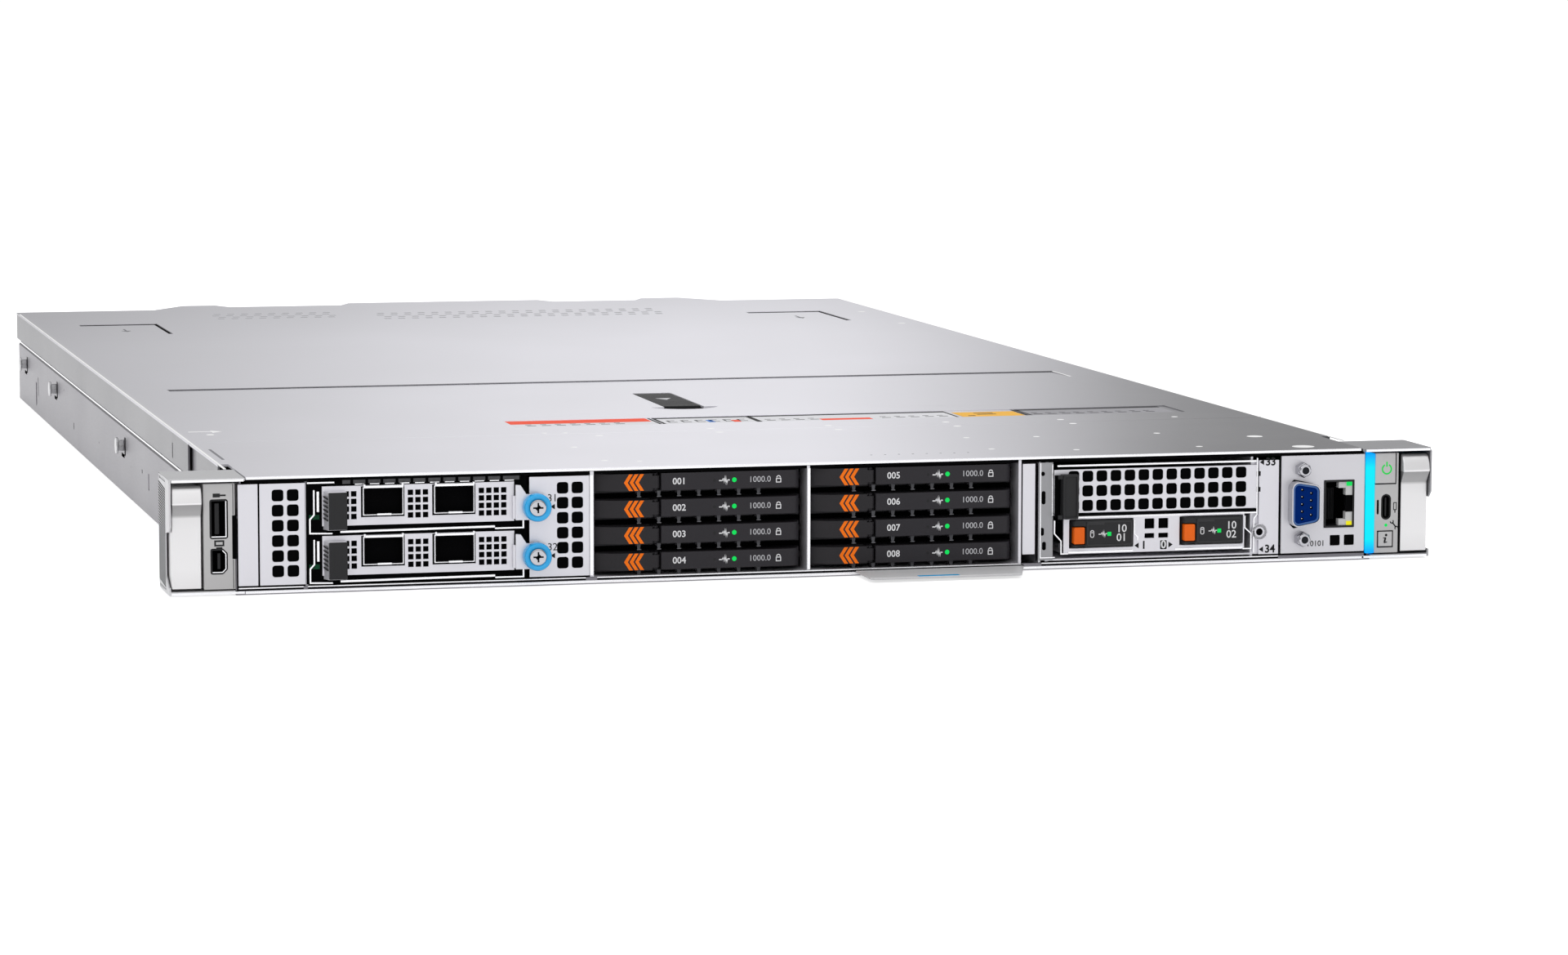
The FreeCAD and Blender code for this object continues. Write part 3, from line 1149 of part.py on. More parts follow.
def boot_sled(left):
    """Boot drive sled: moulded face with a latch pocket, and the module in its tray behind it."""
    right = left + SLED_WIDTH
    rear = SLED_LENGTH
    front = [(left + along, back) for along, back in SLED_BEVEL]
    face = prism_z(front + [(right, front[-1][1]), (right, SLED_FACE), (left, SLED_FACE)],
                   SLED_BASE, SLED_BASE + SLED_HEIGHT)
    tray = box(left + SLED_SKIN, right - SLED_SKIN, SLED_FACE, rear, SLED_BASE, SLED_BASE + SLED_TRAY_HEIGHT)
    inside = RAIL_FRONT + SLED_WALL
    floor = SLED_BASE + SLED_FLOOR
    hollow = box(left + SLED_WALL, right - SLED_WALL, inside, rear - SLED_WALL, floor,
                 SLED_BASE + SLED_TRAY_HEIGHT + PAST)
    module = box(left + SLED_WALL, right - SLED_WALL, inside + SLED_WALL, rear - SLED_WALL,
                 floor, floor + SLED_MODULE)
    x0, x1, z0, z1 = latch_pocket(left, CLEAR)
    pocket = box(x0, x1, -SLED_LATCH_PROUD - PAST, SLED_LATCH_POCKET, z0, z1)
    return join([cut(join([face, tray]), [pocket, hollow]), module])


def sled_latch(left):
    """Orange push latch of a boot sled."""
    x0, x1, z0, z1 = latch_pocket(left, 0)
    return box(x0, x1, -SLED_LATCH_PROUD, SLED_LATCH_POCKET - SLED_LATCH_TRAVEL - CLEAR, z0, z1)


# ---------------------------------------------------------------- I/O plate
def serial_outline(grow, y0, y1):
    """D-shaped outline of the serial shell, its wide side on the left."""
    middle = IO_PLATE_X + SERIAL_X
    left = middle - SERIAL_WIDTH / 2 - grow
    right = middle + SERIAL_WIDTH / 2 + grow
    high = SERIAL_HEIGHT / 2 + grow
    corner = SERIAL_CORNER
    half = [(left, high - corner), (left + corner, high), (right - corner, high - SERIAL_SLOPE),
            (right, high - SERIAL_SLOPE - corner)]
    points = half + [(x, -z) for x, z in reversed(half)]
    return prism_y([(x, SERIAL_Z + z) for x, z in points], y0, y1)


def jackscrew_heights():
    """Height of each jackscrew beside the serial port."""
    return [SERIAL_Z - JACKSCREW_SPACING / 2, SERIAL_Z + JACKSCREW_SPACING / 2]


def io_plate():
    """Plate with the serial port, the network jack and two vents."""
    left = IO_PLATE_X
    plate = box(left, left + IO_PLATE_WIDTH, 0, PLATE_THICK, PLATE_BASE, PLATE_TOP + IO_TOP_RISE)
    jack = box(left + JACK_LEFT, left + JACK_LEFT + JACK_WIDTH, -PAST, PLATE_THICK + PAST,
               JACK_BASE, JACK_BASE + JACK_HEIGHT)
    vents = square_holes([left + x for x in IO_VENTS], [IO_VENT_Z], VENT_HOLE)
    screws = [post((left + SERIAL_X, -PAST, z), (0, 1, 0), JACKSCREW_SHANK + PANEL_GAP,
                   PLATE_THICK + 2 * PAST) for z in jackscrew_heights()]
    return cut(plate, [serial_outline(SEAM, -PAST, PLATE_THICK + PAST), jack] + vents + screws)


def jackscrew(height):
    """Threaded hexagon post with its shank into the board."""
    x = IO_PLATE_X + SERIAL_X
    nut = post((x, -JACKSCREW_REACH, height), (0, 1, 0), JACKSCREW_NUT, JACKSCREW_REACH - SNUG, HEX_SIDES)
    bore = post((x, -JACKSCREW_REACH - PAST, height), (0, 1, 0), JACKSCREW_BORE, JACKSCREW_REACH)
    shank = post((x, -PLATE_THICK / 2, height), (0, 1, 0), JACKSCREW_SHANK, JACK_DEPTH + PLATE_THICK / 2)
    return join([nut.cut(bore), shank])


def network_jack():
    """Network jack: deep mouth with the plug's latch notch on its right."""
    left = IO_PLATE_X + JACK_LEFT + PANEL_GAP
    right = IO_PLATE_X + JACK_LEFT + JACK_WIDTH - PANEL_GAP
    body = box(left, right, -CLEAR, JACK_DEPTH, JACK_BASE + PANEL_GAP, JACK_BASE + JACK_HEIGHT - PANEL_GAP)
    centre = JACK_BASE + JACK_HEIGHT / 2
    notch = right - JACK_SIDE - JACK_KEY_WIDTH
    mouth = [box(left + JACK_SIDE, notch, -PAST, JACK_MOUTH_DEPTH, centre - JACK_MOUTH_HALF,
                 centre + JACK_MOUTH_HALF),
             box(notch - PANEL_GAP, right - JACK_SIDE, -PAST, JACK_MOUTH_DEPTH, centre - JACK_KEY_HALF,
                 centre + JACK_KEY_HALF)]
    return cut(body, mouth)


def io_connectors():
    """Board behind the I/O plate with the serial port, its jackscrews and the network jack."""
    board = box(IO_PLATE_X + PLATE_THICK, IO_PLATE_X + IO_PLATE_WIDTH - PLATE_THICK - SEAM, JACK_DEPTH,
                JACK_DEPTH + IO_BOARD_THICK, PLATE_BASE + PLATE_THICK, PLATE_TOP - PLATE_THICK)
    back = PLATE_THICK + PORT_WALL
    shell = serial_outline(0, -SERIAL_REACH, JACK_DEPTH)
    shell = shell.cut(serial_outline(-SERIAL_SHELL, -SERIAL_REACH - PAST, back))
    insert = serial_outline(-SERIAL_INSERT, -SERIAL_REACH + SERIAL_INSERT, back)
    screws = [jackscrew(z) for z in jackscrew_heights()]
    return [board, join([shell, insert])] + screws + [network_jack()]


# ---------------------------------------------------------------- cover
def cover_rear():
    """Rear edge of the cover from left to right: three low tabs between its corners."""
    root = COVER_REAR + TAB_ROOT
    tab = COVER_REAR + TAB_REACH
    edge = []
    for left, right in TABS:
        edge += [(left - TAB_SLOPE, root), (left, tab), (right, tab), (right + TAB_SLOPE, root)]
    edge[0] = (edge[0][0] - TAB_ROOT, COVER_REAR)
    edge[-1] = (edge[-1][0] + TAB_ROOT, COVER_REAR)
    return [(-HALF, COVER_REAR)] + edge + [(HALF, COVER_REAR)]


def latch_pan(grow, z0, z1):
    """Outline of the latch's pan: the lever's slot and a crescent for the finger."""
    half = LATCH_WIDTH / 2 + LATCH_SIDE_GAP + grow
    rear = BRACE_REAR + LATCH_REAR
    scoop = rear - LATCH_LENGTH - SCOOP_GAP
    slot = box(-half, half, scoop - LATCH_SIDE_GAP, rear + LATCH_SIDE_GAP + grow, z0, z1)
    radius = (SCOOP_WIDTH ** 2 / 4 + SCOOP_LENGTH ** 2) / (2 * SCOOP_LENGTH)
    disc = post((0, scoop - SCOOP_LENGTH + radius, z0), (0, 0, 1), radius + grow, z1 - z0, SCOOP_SIDES)
    behind = box(-HALF, HALF, scoop + grow, rear, z0 - PAST, z1 + PAST)
    return join([slot, disc.cut(behind)])


def pressed(area, origin):
    """Tool for a pressed rectangle whose front and rear are counted from origin."""
    left, right, front, rear = area
    y0, y1 = sorted((origin(front), origin(rear)))
    return box(left, right, y0, y1, HEIGHT - PRESS, HEIGHT + PAST)


def behind_brace(distance):
    """Depth of a place given behind the brace's rear edge."""
    return BRACE_REAR + distance


def before_rear(distance):
    """Depth of a place given before the cover's rear corners."""
    return COVER_REAR - distance


def top_cover():
    """Sliding cover with folded skirts, pressed panels and the latch's pan."""
    front = BRACE_REAR + COVER_GAP
    top = prism_z([(-HALF, front)] + cover_rear() + [(HALF, front)], COVER_UNDER, HEIGHT)
    skirt = box(HALF - SHEET, HALF, front + SKIRT_FRONT, COVER_REAR - PLATE_THICK,
                HEIGHT - COVER_SKIRT, COVER_UNDER + PANEL_GAP)
    pan_floor = COVER_UNDER - LATCH_PAN_DEPTH
    pan = latch_pan(SHEET, pan_floor - SHEET, COVER_UNDER + PANEL_GAP)
    half, ramp_front, ramp_rear = RAMP
    y0, y1 = behind_brace(ramp_front), behind_brace(ramp_rear)
    ramp = prism_x([(y0, HEIGHT + PAST), (y0, HEIGHT), (y1, HEIGHT - PRESS), (y1, HEIGHT + PAST)],
                   -half, half)
    pivot = post((-LATCH_WIDTH, LATCH_AXIS_Y, LATCH_AXIS_Z), (1, 0, 0), LATCH_PIN + SNUG, 2 * LATCH_WIDTH)
    tools = [pressed(LABEL_AREA, behind_brace), pressed(LEFT_PAD, before_rear),
             pressed(RIGHT_PAD, before_rear), ramp, latch_pan(0, pan_floor, HEIGHT + PAST), pivot]
    return cut(join([top, pan, skirt, sided(skirt, -1)]), tools)


def cover_latch():
    """Latch lever, hinged at its rear end by two stub pins."""
    half = LATCH_WIDTH / 2
    top = HEIGHT - LATCH_DROP
    front = BRACE_REAR + LATCH_REAR - LATCH_LENGTH
    under = top - LATCH_THICK
    blade = box(-half, half, front, LATCH_AXIS_Y, under, top)
    lip = box(-half, half, front, front + LATCH_LIP, under - LATCH_LIP, under)
    barrel = post((-half, LATCH_AXIS_Y, LATCH_AXIS_Z), (1, 0, 0), LATCH_BARREL, LATCH_WIDTH)
    stubs = pin((-half - LATCH_STUB, LATCH_AXIS_Y, LATCH_AXIS_Z), (1, 0, 0), LATCH_PIN,
                LATCH_WIDTH + 2 * LATCH_STUB)
    return join([blade, lip, barrel, stubs])


# ---------------------------------------------------------------- inside
def fan_centres():
    """Middle of each fan along X."""
    return steps(-FAN_PITCH * (FAN_COUNT - 1) / 2, FAN_PITCH, FAN_COUNT)


def fan_housing(x):
    """Square fan frame with its tunnel, a strut cross and the motor's mount."""
    half = FAN_SIZE / 2
    low = FAN_AXIS_Z - half
    frame = box(x - half, x + half, FAN_FRONT, FAN_FRONT + FAN_LENGTH, low, low + FAN_SIZE)
    tunnel = post((x, FAN_FRONT - PAST, FAN_AXIS_Z), (0, 1, 0), FAN_BORE, FAN_LENGTH + 2 * PAST,
                  TUNNEL_SIDES)
    y0 = FAN_FRONT + FAN_STRUT_Y
    y1 = y0 + FAN_STRUT_DEPTH
    reach = FAN_BORE + FAN_WALL / 2
    thin = FAN_STRUT / 2
    struts = [box(x - across, x + across, y0, y1, FAN_AXIS_Z - up, FAN_AXIS_Z + up)
              for across, up in ((reach, thin), (thin, reach))]
    motor = post((x, y0, FAN_AXIS_Z), (0, 1, 0), FAN_HUB, FAN_MOTOR_LENGTH, TUNNEL_SIDES // 2)
    bore = post((x, y0 - PAST, FAN_AXIS_Z), (0, 1, 0), FAN_SHAFT + SNUG, ROTOR_SHAFT + PAST)
    return join([frame.cut(tunnel), motor] + struts).cut(bore)


def fan_housings():
    """The four fan frames and the baffle that carries them."""
    half = FAN_SIZE / 2
    y = FAN_FRONT + FAN_LENGTH / 2
    reach = INNER_WALL - 2 * SEAM
    baffle = box(-reach, reach, y, y + BAFFLE_THICK, SHEET, FLANGE_TOP)
    gaps = [box(x - half, x + half, y - PAST, y + BAFFLE_THICK + PAST, FAN_AXIS_Z - half, FAN_AXIS_Z + half)
            for x in fan_centres()]
    return [fan_housing(x) for x in fan_centres()] + [cut(baffle, gaps)]


def fan_rotor(x):
    """Rotor: hub with one flat per blade and half gap, shaft and pitched blades."""
    y = FAN_FRONT + ROTOR_FRONT
    hub = post((x, y, FAN_AXIS_Z), (0, 1, 0), FAN_HUB, ROTOR_LENGTH, 2 * FAN_BLADES)
    shaft = pin((x, y + ROTOR_LENGTH, FAN_AXIS_Z), (0, 1, 0), FAN_SHAFT, ROTOR_SHAFT)
    root = FAN_HUB - BLADE_THICK
    span = FAN_BORE - BLADE_TIP_GAP - root
    parts = [hub, shaft]
    for i in range(FAN_BLADES):
        blade = Part.makeBox(BLADE_LENGTH, BLADE_THICK, span, Vec(-BLADE_LENGTH / 2, -BLADE_THICK / 2, root))
        blade.rotate(Vec(0, 0, 0), Vec(0, 0, 1), BLADE_PITCH)
        blade.rotate(Vec(0, 0, 0), Vec(0, 1, 0), 360 * i / FAN_BLADES)
        blade.translate(Vec(x, y + ROTOR_LENGTH / 2, FAN_AXIS_Z))
        parts.append(blade)
    return join(parts)


def dimm_lefts():
    """Left face of every memory module, in banks on both sides of each processor."""
    lefts = []
    bank = DIMM_PITCH * (DIMM_PER_BANK - 1)
    edge = HEATSINK_WIDTH / 2 + DIMM_GAP
    for centre in (-HEATSINK_X, HEATSINK_X):
        lefts += steps(centre + edge, DIMM_PITCH, DIMM_PER_BANK)
        lefts += steps(centre - edge - bank - DIMM_THICK, DIMM_PITCH, DIMM_PER_BANK)
    return lefts


def system_board():
    """System board on its standoffs, with processor sockets and a block of slots per memory bank."""
    half = INNER_WALL - BOARD_SIDE_GAP
    rear = BOARD_FRONT + BOARD_LENGTH
    parts = [box(-half, half, BOARD_FRONT, rear, BOARD_TOP - BOARD_THICK, BOARD_TOP)]
    for x in (-half + STANDOFF_MARGIN, 0, half - STANDOFF_MARGIN):
        for y in (BOARD_FRONT + STANDOFF_MARGIN, rear - STANDOFF_MARGIN):
            parts.append(post((x, y, SHEET), (0, 0, 1), STANDOFF_RADIUS, BOARD_STANDOFF,
                              HEX_SIDES))
    across, along = SOCKET_HALF
    middle = HEATSINK_FRONT + HEATSINK_LENGTH / 2
    for x in (-HEATSINK_X, HEATSINK_X):
        parts.append(box(x - across, x + across, middle - along, middle + along,
                         BOARD_TOP, BOARD_TOP + SOCKET_HEIGHT))
    front = HEATSINK_FRONT - DIMM_SETBACK
    bank = DIMM_PITCH * (DIMM_PER_BANK - 1) + DIMM_THICK
    for x in dimm_lefts()[::DIMM_PER_BANK]:
        parts.append(box(x - DIMM_SLOT_SIDE, x + bank + DIMM_SLOT_SIDE, front - DIMM_SLOT_END,
                         front + DIMM_LENGTH + DIMM_SLOT_END, BOARD_TOP, BOARD_TOP + DIMM_SLOT_HEIGHT))
    return join(parts)


def receptacle(middle, centre):
    """Drive receptacle on the backplane: a block with a groove for the drive's plug."""
    half = PLUG_WIDTH / 2 + RECEPTACLE_SIDE
    gap = PLUG_THICK / 2 + CLEAR
    groove_half = PLUG_WIDTH / 2 + 2 * SEAM
    block = box(middle - half, middle + half, CAGE_DEPTH - RECEPTACLE_DEPTH, CAGE_DEPTH,
                centre - RECEPTACLE_HALF, centre + RECEPTACLE_HALF)
    return block.cut(box(middle - groove_half, middle + groove_half, CAGE_DEPTH - RECEPTACLE_DEPTH - PAST,
                         CAGE_DEPTH - RECEPTACLE_FLOOR, centre - gap, centre + gap))


def backplane():
    """Drive backplane with its receptacles and the air slots beside them."""
    low = SHEET
    high = BRACE_UNDER - BACKPLANE_TOP_GAP
    board = box(CAGE_X, CAGE_X + CAGE_WIDTH, CAGE_DEPTH, CAGE_DEPTH + BOARD_THICK, low, high)
    width, offset = BACKPLANE_SLOT
    slots = []
    plugs = []
    for left in bay_lefts():
        middle = left + BAY_WIDTH / 2
        for x in (middle - offset - width, middle + offset):
            slots.append(box(x, x + width, CAGE_DEPTH - PAST, CAGE_DEPTH + BOARD_THICK + PAST,
                             low + BACKPLANE_SLOT_MARGIN, high - BACKPLANE_SLOT_MARGIN))
        plugs += [receptacle(middle, centre) for centre in slot_centres()]
    return join([cut(board, slots)] + plugs)


def heatsinks():
    """One finned heatsink per processor."""
    low = BOARD_TOP + SOCKET_HEIGHT
    pitch = (HEATSINK_WIDTH - HEATSINK_FIN) / (HEATSINK_FINS - 1)
    rear = HEATSINK_FRONT + HEATSINK_LENGTH
    solids = []
    for left in (-HEATSINK_X - HEATSINK_WIDTH / 2, HEATSINK_X - HEATSINK_WIDTH / 2):
        block = box(left, left + HEATSINK_WIDTH, HEATSINK_FRONT, rear, low, low + HEATSINK_HEIGHT)
        gaps = [box(x, x + pitch - HEATSINK_FIN, HEATSINK_FRONT - PAST, rear + PAST,
                    low + HEATSINK_BASE, low + HEATSINK_HEIGHT + PAST)
                for x in steps(left + HEATSINK_FIN, pitch, HEATSINK_FINS - 1)]
        solids.append(cut(block, gaps))
    return solids


def memory_modules():
    """Memory modules standing in their slots."""
    low = BOARD_TOP + DIMM_SLOT_HEIGHT
    front = HEATSINK_FRONT - DIMM_SETBACK
    return [box(x, x + DIMM_THICK, front, front + DIMM_LENGTH, low, COVER_UNDER - DIMM_TOP_GAP)
            for x in dimm_lefts()]


# ---------------------------------------------------------------- power supplies
def power_inlet(middle):
    """Tool for the mains inlet: a rectangle with its two upper corners cut off."""
    left = middle - PSU_WIDTH / 2 + INLET_X
    right = left + INLET_WIDTH
    low = PSU_BASE + INLET_Z
    high = low + INLET_HEIGHT
    return prism_y([(left, low), (right, low), (right, high - INLET_CHAMFER), (right - INLET_CHAMFER, high),
                    (left + INLET_CHAMFER, high), (left, high - INLET_CHAMFER)],
                   REAR_WALL - INLET_DEPTH, REAR_WALL + PAST)


def inlet_prongs(middle):
    """Three contact prongs inside the inlet."""
    left = middle - PSU_WIDTH / 2 + INLET_X
    width, height = PRONG
    return [box(left + x, left + x + width, REAR_WALL - INLET_DEPTH - PAST, REAR_WALL - PRONG_END,
                PSU_BASE + INLET_Z + z, PSU_BASE + INLET_Z + z + height) for x, z in PRONG_PLACES]


def supply_handle(middle):
    """Bail handle behind the supply, a bar bent in four flat runs."""
    x0, x1 = supply_handle_span(middle)
    rear = REAR_WALL + PSU_HANDLE_REACH
    front = REAR_WALL - PLATE_THICK
    bend, bar = PSU_HANDLE_BEND, PSU_HANDLE_BAR
    knee = bend + PLATE_THICK
    outer = [(x0, front), (x0, rear - bend), (x0 + bend, rear), (x1 - bend, rear), (x1, rear - bend),
             (x1, front)]
    inner = [(x1 - bar, front), (x1 - bar, rear - knee), (x1 - knee, rear - bar), (x0 + knee, rear - bar),
             (x0 + bar, rear - knee), (x0 + bar, front)]
    low = PSU_BASE + PSU_HANDLE_Z
    return prism_z(outer + inner, low, low + PSU_HANDLE_HEIGHT)


def supply_handle_span(middle):
    """Left and right edge of a supply's bail handle."""
    right = middle + PSU_WIDTH / 2 - PSU_HANDLE_SIDE
    return right - PSU_HANDLE_WIDTH, right


def power_supply(middle):
    """Power supply with its inlet, exhaust slots and bail handle."""
    half = PSU_WIDTH / 2
    high = PSU_BASE + PSU_HEIGHT
    case = box(middle - half, middle + half, REAR_WALL - PSU_LENGTH, REAR_WALL, PSU_BASE, high)
    slots = [box(middle - half + PSU_SLOT_LEFT, middle + half - PSU_SLOT_RIGHT, REAR_WALL - PSU_SLOT_DEPTH,
                 REAR_WALL + PAST, z - PSU_SLOT / 2, z + PSU_SLOT / 2)
             for z in fitting(PSU_BASE + PSU_SLOT_MARGIN, high - PSU_SLOT_MARGIN, PSU_SLOT_PITCH)]
    body = cut(case, [power_inlet(middle)] + slots)
    return join([body, supply_handle(middle)] + inlet_prongs(middle))


def supply_latch(middle):
    """Release tab beside the handle, pressed sideways towards it."""
    width, depth = PSU_LATCH_PAD
    left = supply_handle_span(middle)[0] - PSU_LATCH_GAP - PSU_LATCH_TRAVEL - width
    x = left + (width - PSU_LATCH_STEM) / 2
    low = PSU_BASE + PSU_LATCH_Z
    rear = REAR_WALL + PSU_LATCH_REACH
    stem = box(x, x + PSU_LATCH_STEM, REAR_WALL + CLEAR, rear, low, low + PSU_LATCH_HEIGHT)
    pad = box(left, left + width, rear - depth, rear, low - PLATE_THICK,
              low + PSU_LATCH_HEIGHT + PLATE_THICK)
    return join([stem, pad])


# ---------------------------------------------------------------- the rest
def info_tag():
    """Flat pull-out tag with a slanted right-hand front corner."""
    right = TAG_X + TAG_WIDTH
    rear = TAG_LENGTH - TAG_REACH
    outline = [(TAG_X, rear), (TAG_X, -TAG_REACH + TAG_BEVEL), (TAG_X + TAG_BEVEL, -TAG_REACH),
               (right - TAG_CORNER, -TAG_REACH), (right, -TAG_BEVEL), (right, rear)]
    return prism_z(outline, TAG_Z, TAG_Z + TAG_THICK)


def rail_studs():
    """Headed studs on both side walls that hang the server in its rails."""
    studs = []
    for distance in STUDS_BEFORE_REAR:
        depth = REAR_WALL - distance
        shank = post((HALF, depth, STUD_Z), (1, 0, 0), STUD_RADIUS, STUD_REACH, HEX_SIDES)
        head = post((HALF + STUD_REACH - STUD_HEAD, depth, STUD_Z), (1, 0, 0), STUD_HEAD_RADIUS, STUD_HEAD)
        stud = join([shank, head])
        studs += [stud, sided(stud, -1)]
    return studs


def save_shell():
    """Save the chassis, its ears and the cover."""
    save("base_pan", base_pan())
    save("rear_panel", rear_panel())
    save("front_brace", front_brace())
    save("rail_studs", *rail_studs())
    save("top_cover", top_cover())
    save("cover_latch", cover_latch())
    for name, side in (("left", -1), ("right", 1)):
        save(name + "_ear", ear(side))
        save(name + "_handle", ear_handle(side))


def save_front():
    """Save what fills the front: panels, plates, cards, drives, sleds and the I/O plate."""
    save("left_control_panel", left_control_panel())
    save("right_control_panel", right_control_panel())
    save("panel_sockets", *panel_sockets())
    save("power_button", power_button())
    save("info_button", info_button())
    save("light_bar", light_bar())
    save("front_plates", *front_plates())
    save("card_cage", card_cage())
    for number, base in enumerate(card_bases(), 1):
        save("network_card_%d" % number, *network_card(base))
        save("card_screw_%d" % number, thumbscrew(base))
    save("drive_cage", drive_cage())
    places = [(left, centre) for left in bay_lefts() for centre in slot_centres()]
    for number, place in enumerate(places, 1):
        save("drive_%d" % number, carrier(*place))
        save("drive_lever_%d" % number, drive_lever(*place))
    save("riser_cage", *riser_cage())
    save("blank_bracket", *blank_bracket())
    for number, left in enumerate(sled_lefts(), 1):
        save("boot_sled_%d" % number, boot_sled(left))
        save("sled_latch_%d" % number, sled_latch(left))
    save("io_plate", io_plate())
    save("io_connectors", *io_connectors())
    save("info_tag", info_tag())


def save_inside():
    """Save the fans, boards and power supplies."""
    save("fan_housings", *fan_housings())
    for number, x in enumerate(fan_centres(), 1):
        save("fan_rotor_%d" % number, fan_rotor(x))
    save("circuit_boards", system_board(), backplane())
    save("heatsinks", *heatsinks())
    save("memory_modules", *memory_modules())
    for number, middle in enumerate((-PSU_X, PSU_X), 1):
        save("power_supply_%d" % number, power_supply(middle))
        save("supply_latch_%d" % number, supply_latch(middle))


save_shell()
save_front()
save_inside()
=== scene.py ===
"""Looks of a 1U rack server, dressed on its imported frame.

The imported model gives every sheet, carrier and card its size and place. This script rounds
their edges, gives them finishes and adds perforations, markings, lamps and small fittings.
Shapes are drawn in millimetres: X to the right, depth behind the front face, Z up.
"""
import json
import logging
import math
from dataclasses import dataclass
from enum import Enum
from typing import Any, Sequence

import bmesh
import bpy
from mathutils import Matrix, Vector

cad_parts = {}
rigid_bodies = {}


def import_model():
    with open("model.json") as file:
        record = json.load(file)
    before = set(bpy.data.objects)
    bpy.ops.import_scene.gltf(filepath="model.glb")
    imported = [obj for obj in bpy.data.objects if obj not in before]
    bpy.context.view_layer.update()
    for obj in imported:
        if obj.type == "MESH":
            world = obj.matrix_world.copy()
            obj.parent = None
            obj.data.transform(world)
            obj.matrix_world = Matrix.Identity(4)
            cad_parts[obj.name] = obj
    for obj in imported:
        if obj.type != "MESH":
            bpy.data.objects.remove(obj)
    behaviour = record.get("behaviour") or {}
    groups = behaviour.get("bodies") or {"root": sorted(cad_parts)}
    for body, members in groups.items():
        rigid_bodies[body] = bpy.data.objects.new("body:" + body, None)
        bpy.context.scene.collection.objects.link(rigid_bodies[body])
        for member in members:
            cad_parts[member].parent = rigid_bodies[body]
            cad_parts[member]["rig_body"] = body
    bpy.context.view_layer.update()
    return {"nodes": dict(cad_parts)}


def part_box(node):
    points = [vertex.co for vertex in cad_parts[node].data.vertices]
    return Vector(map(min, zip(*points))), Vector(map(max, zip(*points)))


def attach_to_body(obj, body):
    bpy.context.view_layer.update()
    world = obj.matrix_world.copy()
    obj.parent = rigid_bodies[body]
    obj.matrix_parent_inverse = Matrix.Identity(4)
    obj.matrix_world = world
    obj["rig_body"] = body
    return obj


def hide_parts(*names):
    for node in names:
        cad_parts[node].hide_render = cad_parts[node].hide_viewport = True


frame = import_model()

MM = 0.001
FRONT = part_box("base_pan")[0].y
SKIM = 0.08  # millimetres that sheets shown without their top skin leave to what is printed there
SHARP = 35  # degrees by which an edge turns before it is rounded
PRINT = (-0.05, 0.02)  # depths of ink on a front face
PRINT_THICK = 0.03
SHADE = (0.7, 1.0)  # depths of the dark sheet behind a perforated plate
LOG = logging.getLogger("server")

Point = tuple[float, float, float]
Flat = tuple[float, float]
Colour = tuple[float, float, float, float]
Edges = tuple[float, float, float, float]  # left, right and the two limits of a rectangle


class Side(Enum):
    """Side of the server as seen from its front."""

    LEFT = -1
    RIGHT = 1


def srgb(red: float, green: float, blue: float) -> Colour:
    """Linear colour of an 8-bit screen colour.

    Args:
        red: Red from 0 to 255.
        green: Green from 0 to 255.
        blue: Blue from 0 to 255.

    Returns:
        The colour that a shader socket takes.
    """
    channels = []
    for value in (red, green, blue):
        share = value / 255
        channels.append(share / 12.92 if share <= 0.04045 else ((share + 0.055) / 1.055) ** 2.4)
    return channels[0], channels[1], channels[2], 1.0


def scaled(colour: Colour, factor: float) -> Colour:
    """A colour made lighter or darker by a factor."""
    return colour[0] * factor, colour[1] * factor, colour[2] * factor, 1.0


def span(node: str) -> tuple[Vector, Vector]:
    """Corners of a CAD node in the drawing's millimetres: X, depth, Z."""
    low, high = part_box(node)
    shift = Vector((0, FRONT, 0))
    return (low - shift) / MM, (high - shift) / MM


# ---------------- node trees
class Wire:
    """A socket of a node tree that can be used in arithmetic."""

    def __init__(self, tree: "Tree", socket: bpy.types.NodeSocket) -> None:
        self.tree = tree
        self.socket = socket

    def _math(self, operation: str, first: Any, second: Any = None) -> "Wire":
        """Result of one Math node on two values."""
        inputs = {0: first} if second is None else {0: first, 1: second}
        return self.tree.wire("ShaderNodeMath", {"operation": operation}, inputs)

    def __add__(self, other: Any) -> "Wire":
        return self._math("ADD", self, other)

    def __radd__(self, other: Any) -> "Wire":
        return self._math("ADD", other, self)

    def __sub__(self, other: Any) -> "Wire":
        return self._math("SUBTRACT", self, other)

    def __mul__(self, other: Any) -> "Wire":
        return self._math("MULTIPLY", self, other)

    def __truediv__(self, other: Any) -> "Wire":
        return self._math("DIVIDE", self, other)

    def __mod__(self, other: Any) -> "Wire":
        return self._math("FLOORED_MODULO", self, other)

    def __gt__(self, other: Any) -> "Wire":
        return self._math("GREATER_THAN", self, other)

    def __lt__(self, other: Any) -> "Wire":
        return self._math("LESS_THAN", self, other)

    def floor(self) -> "Wire":
        """The whole number below."""
        return self._math("FLOOR", self)

    def size(self) -> "Wire":
        """The value without its sign."""
        return self._math("ABSOLUTE", self)


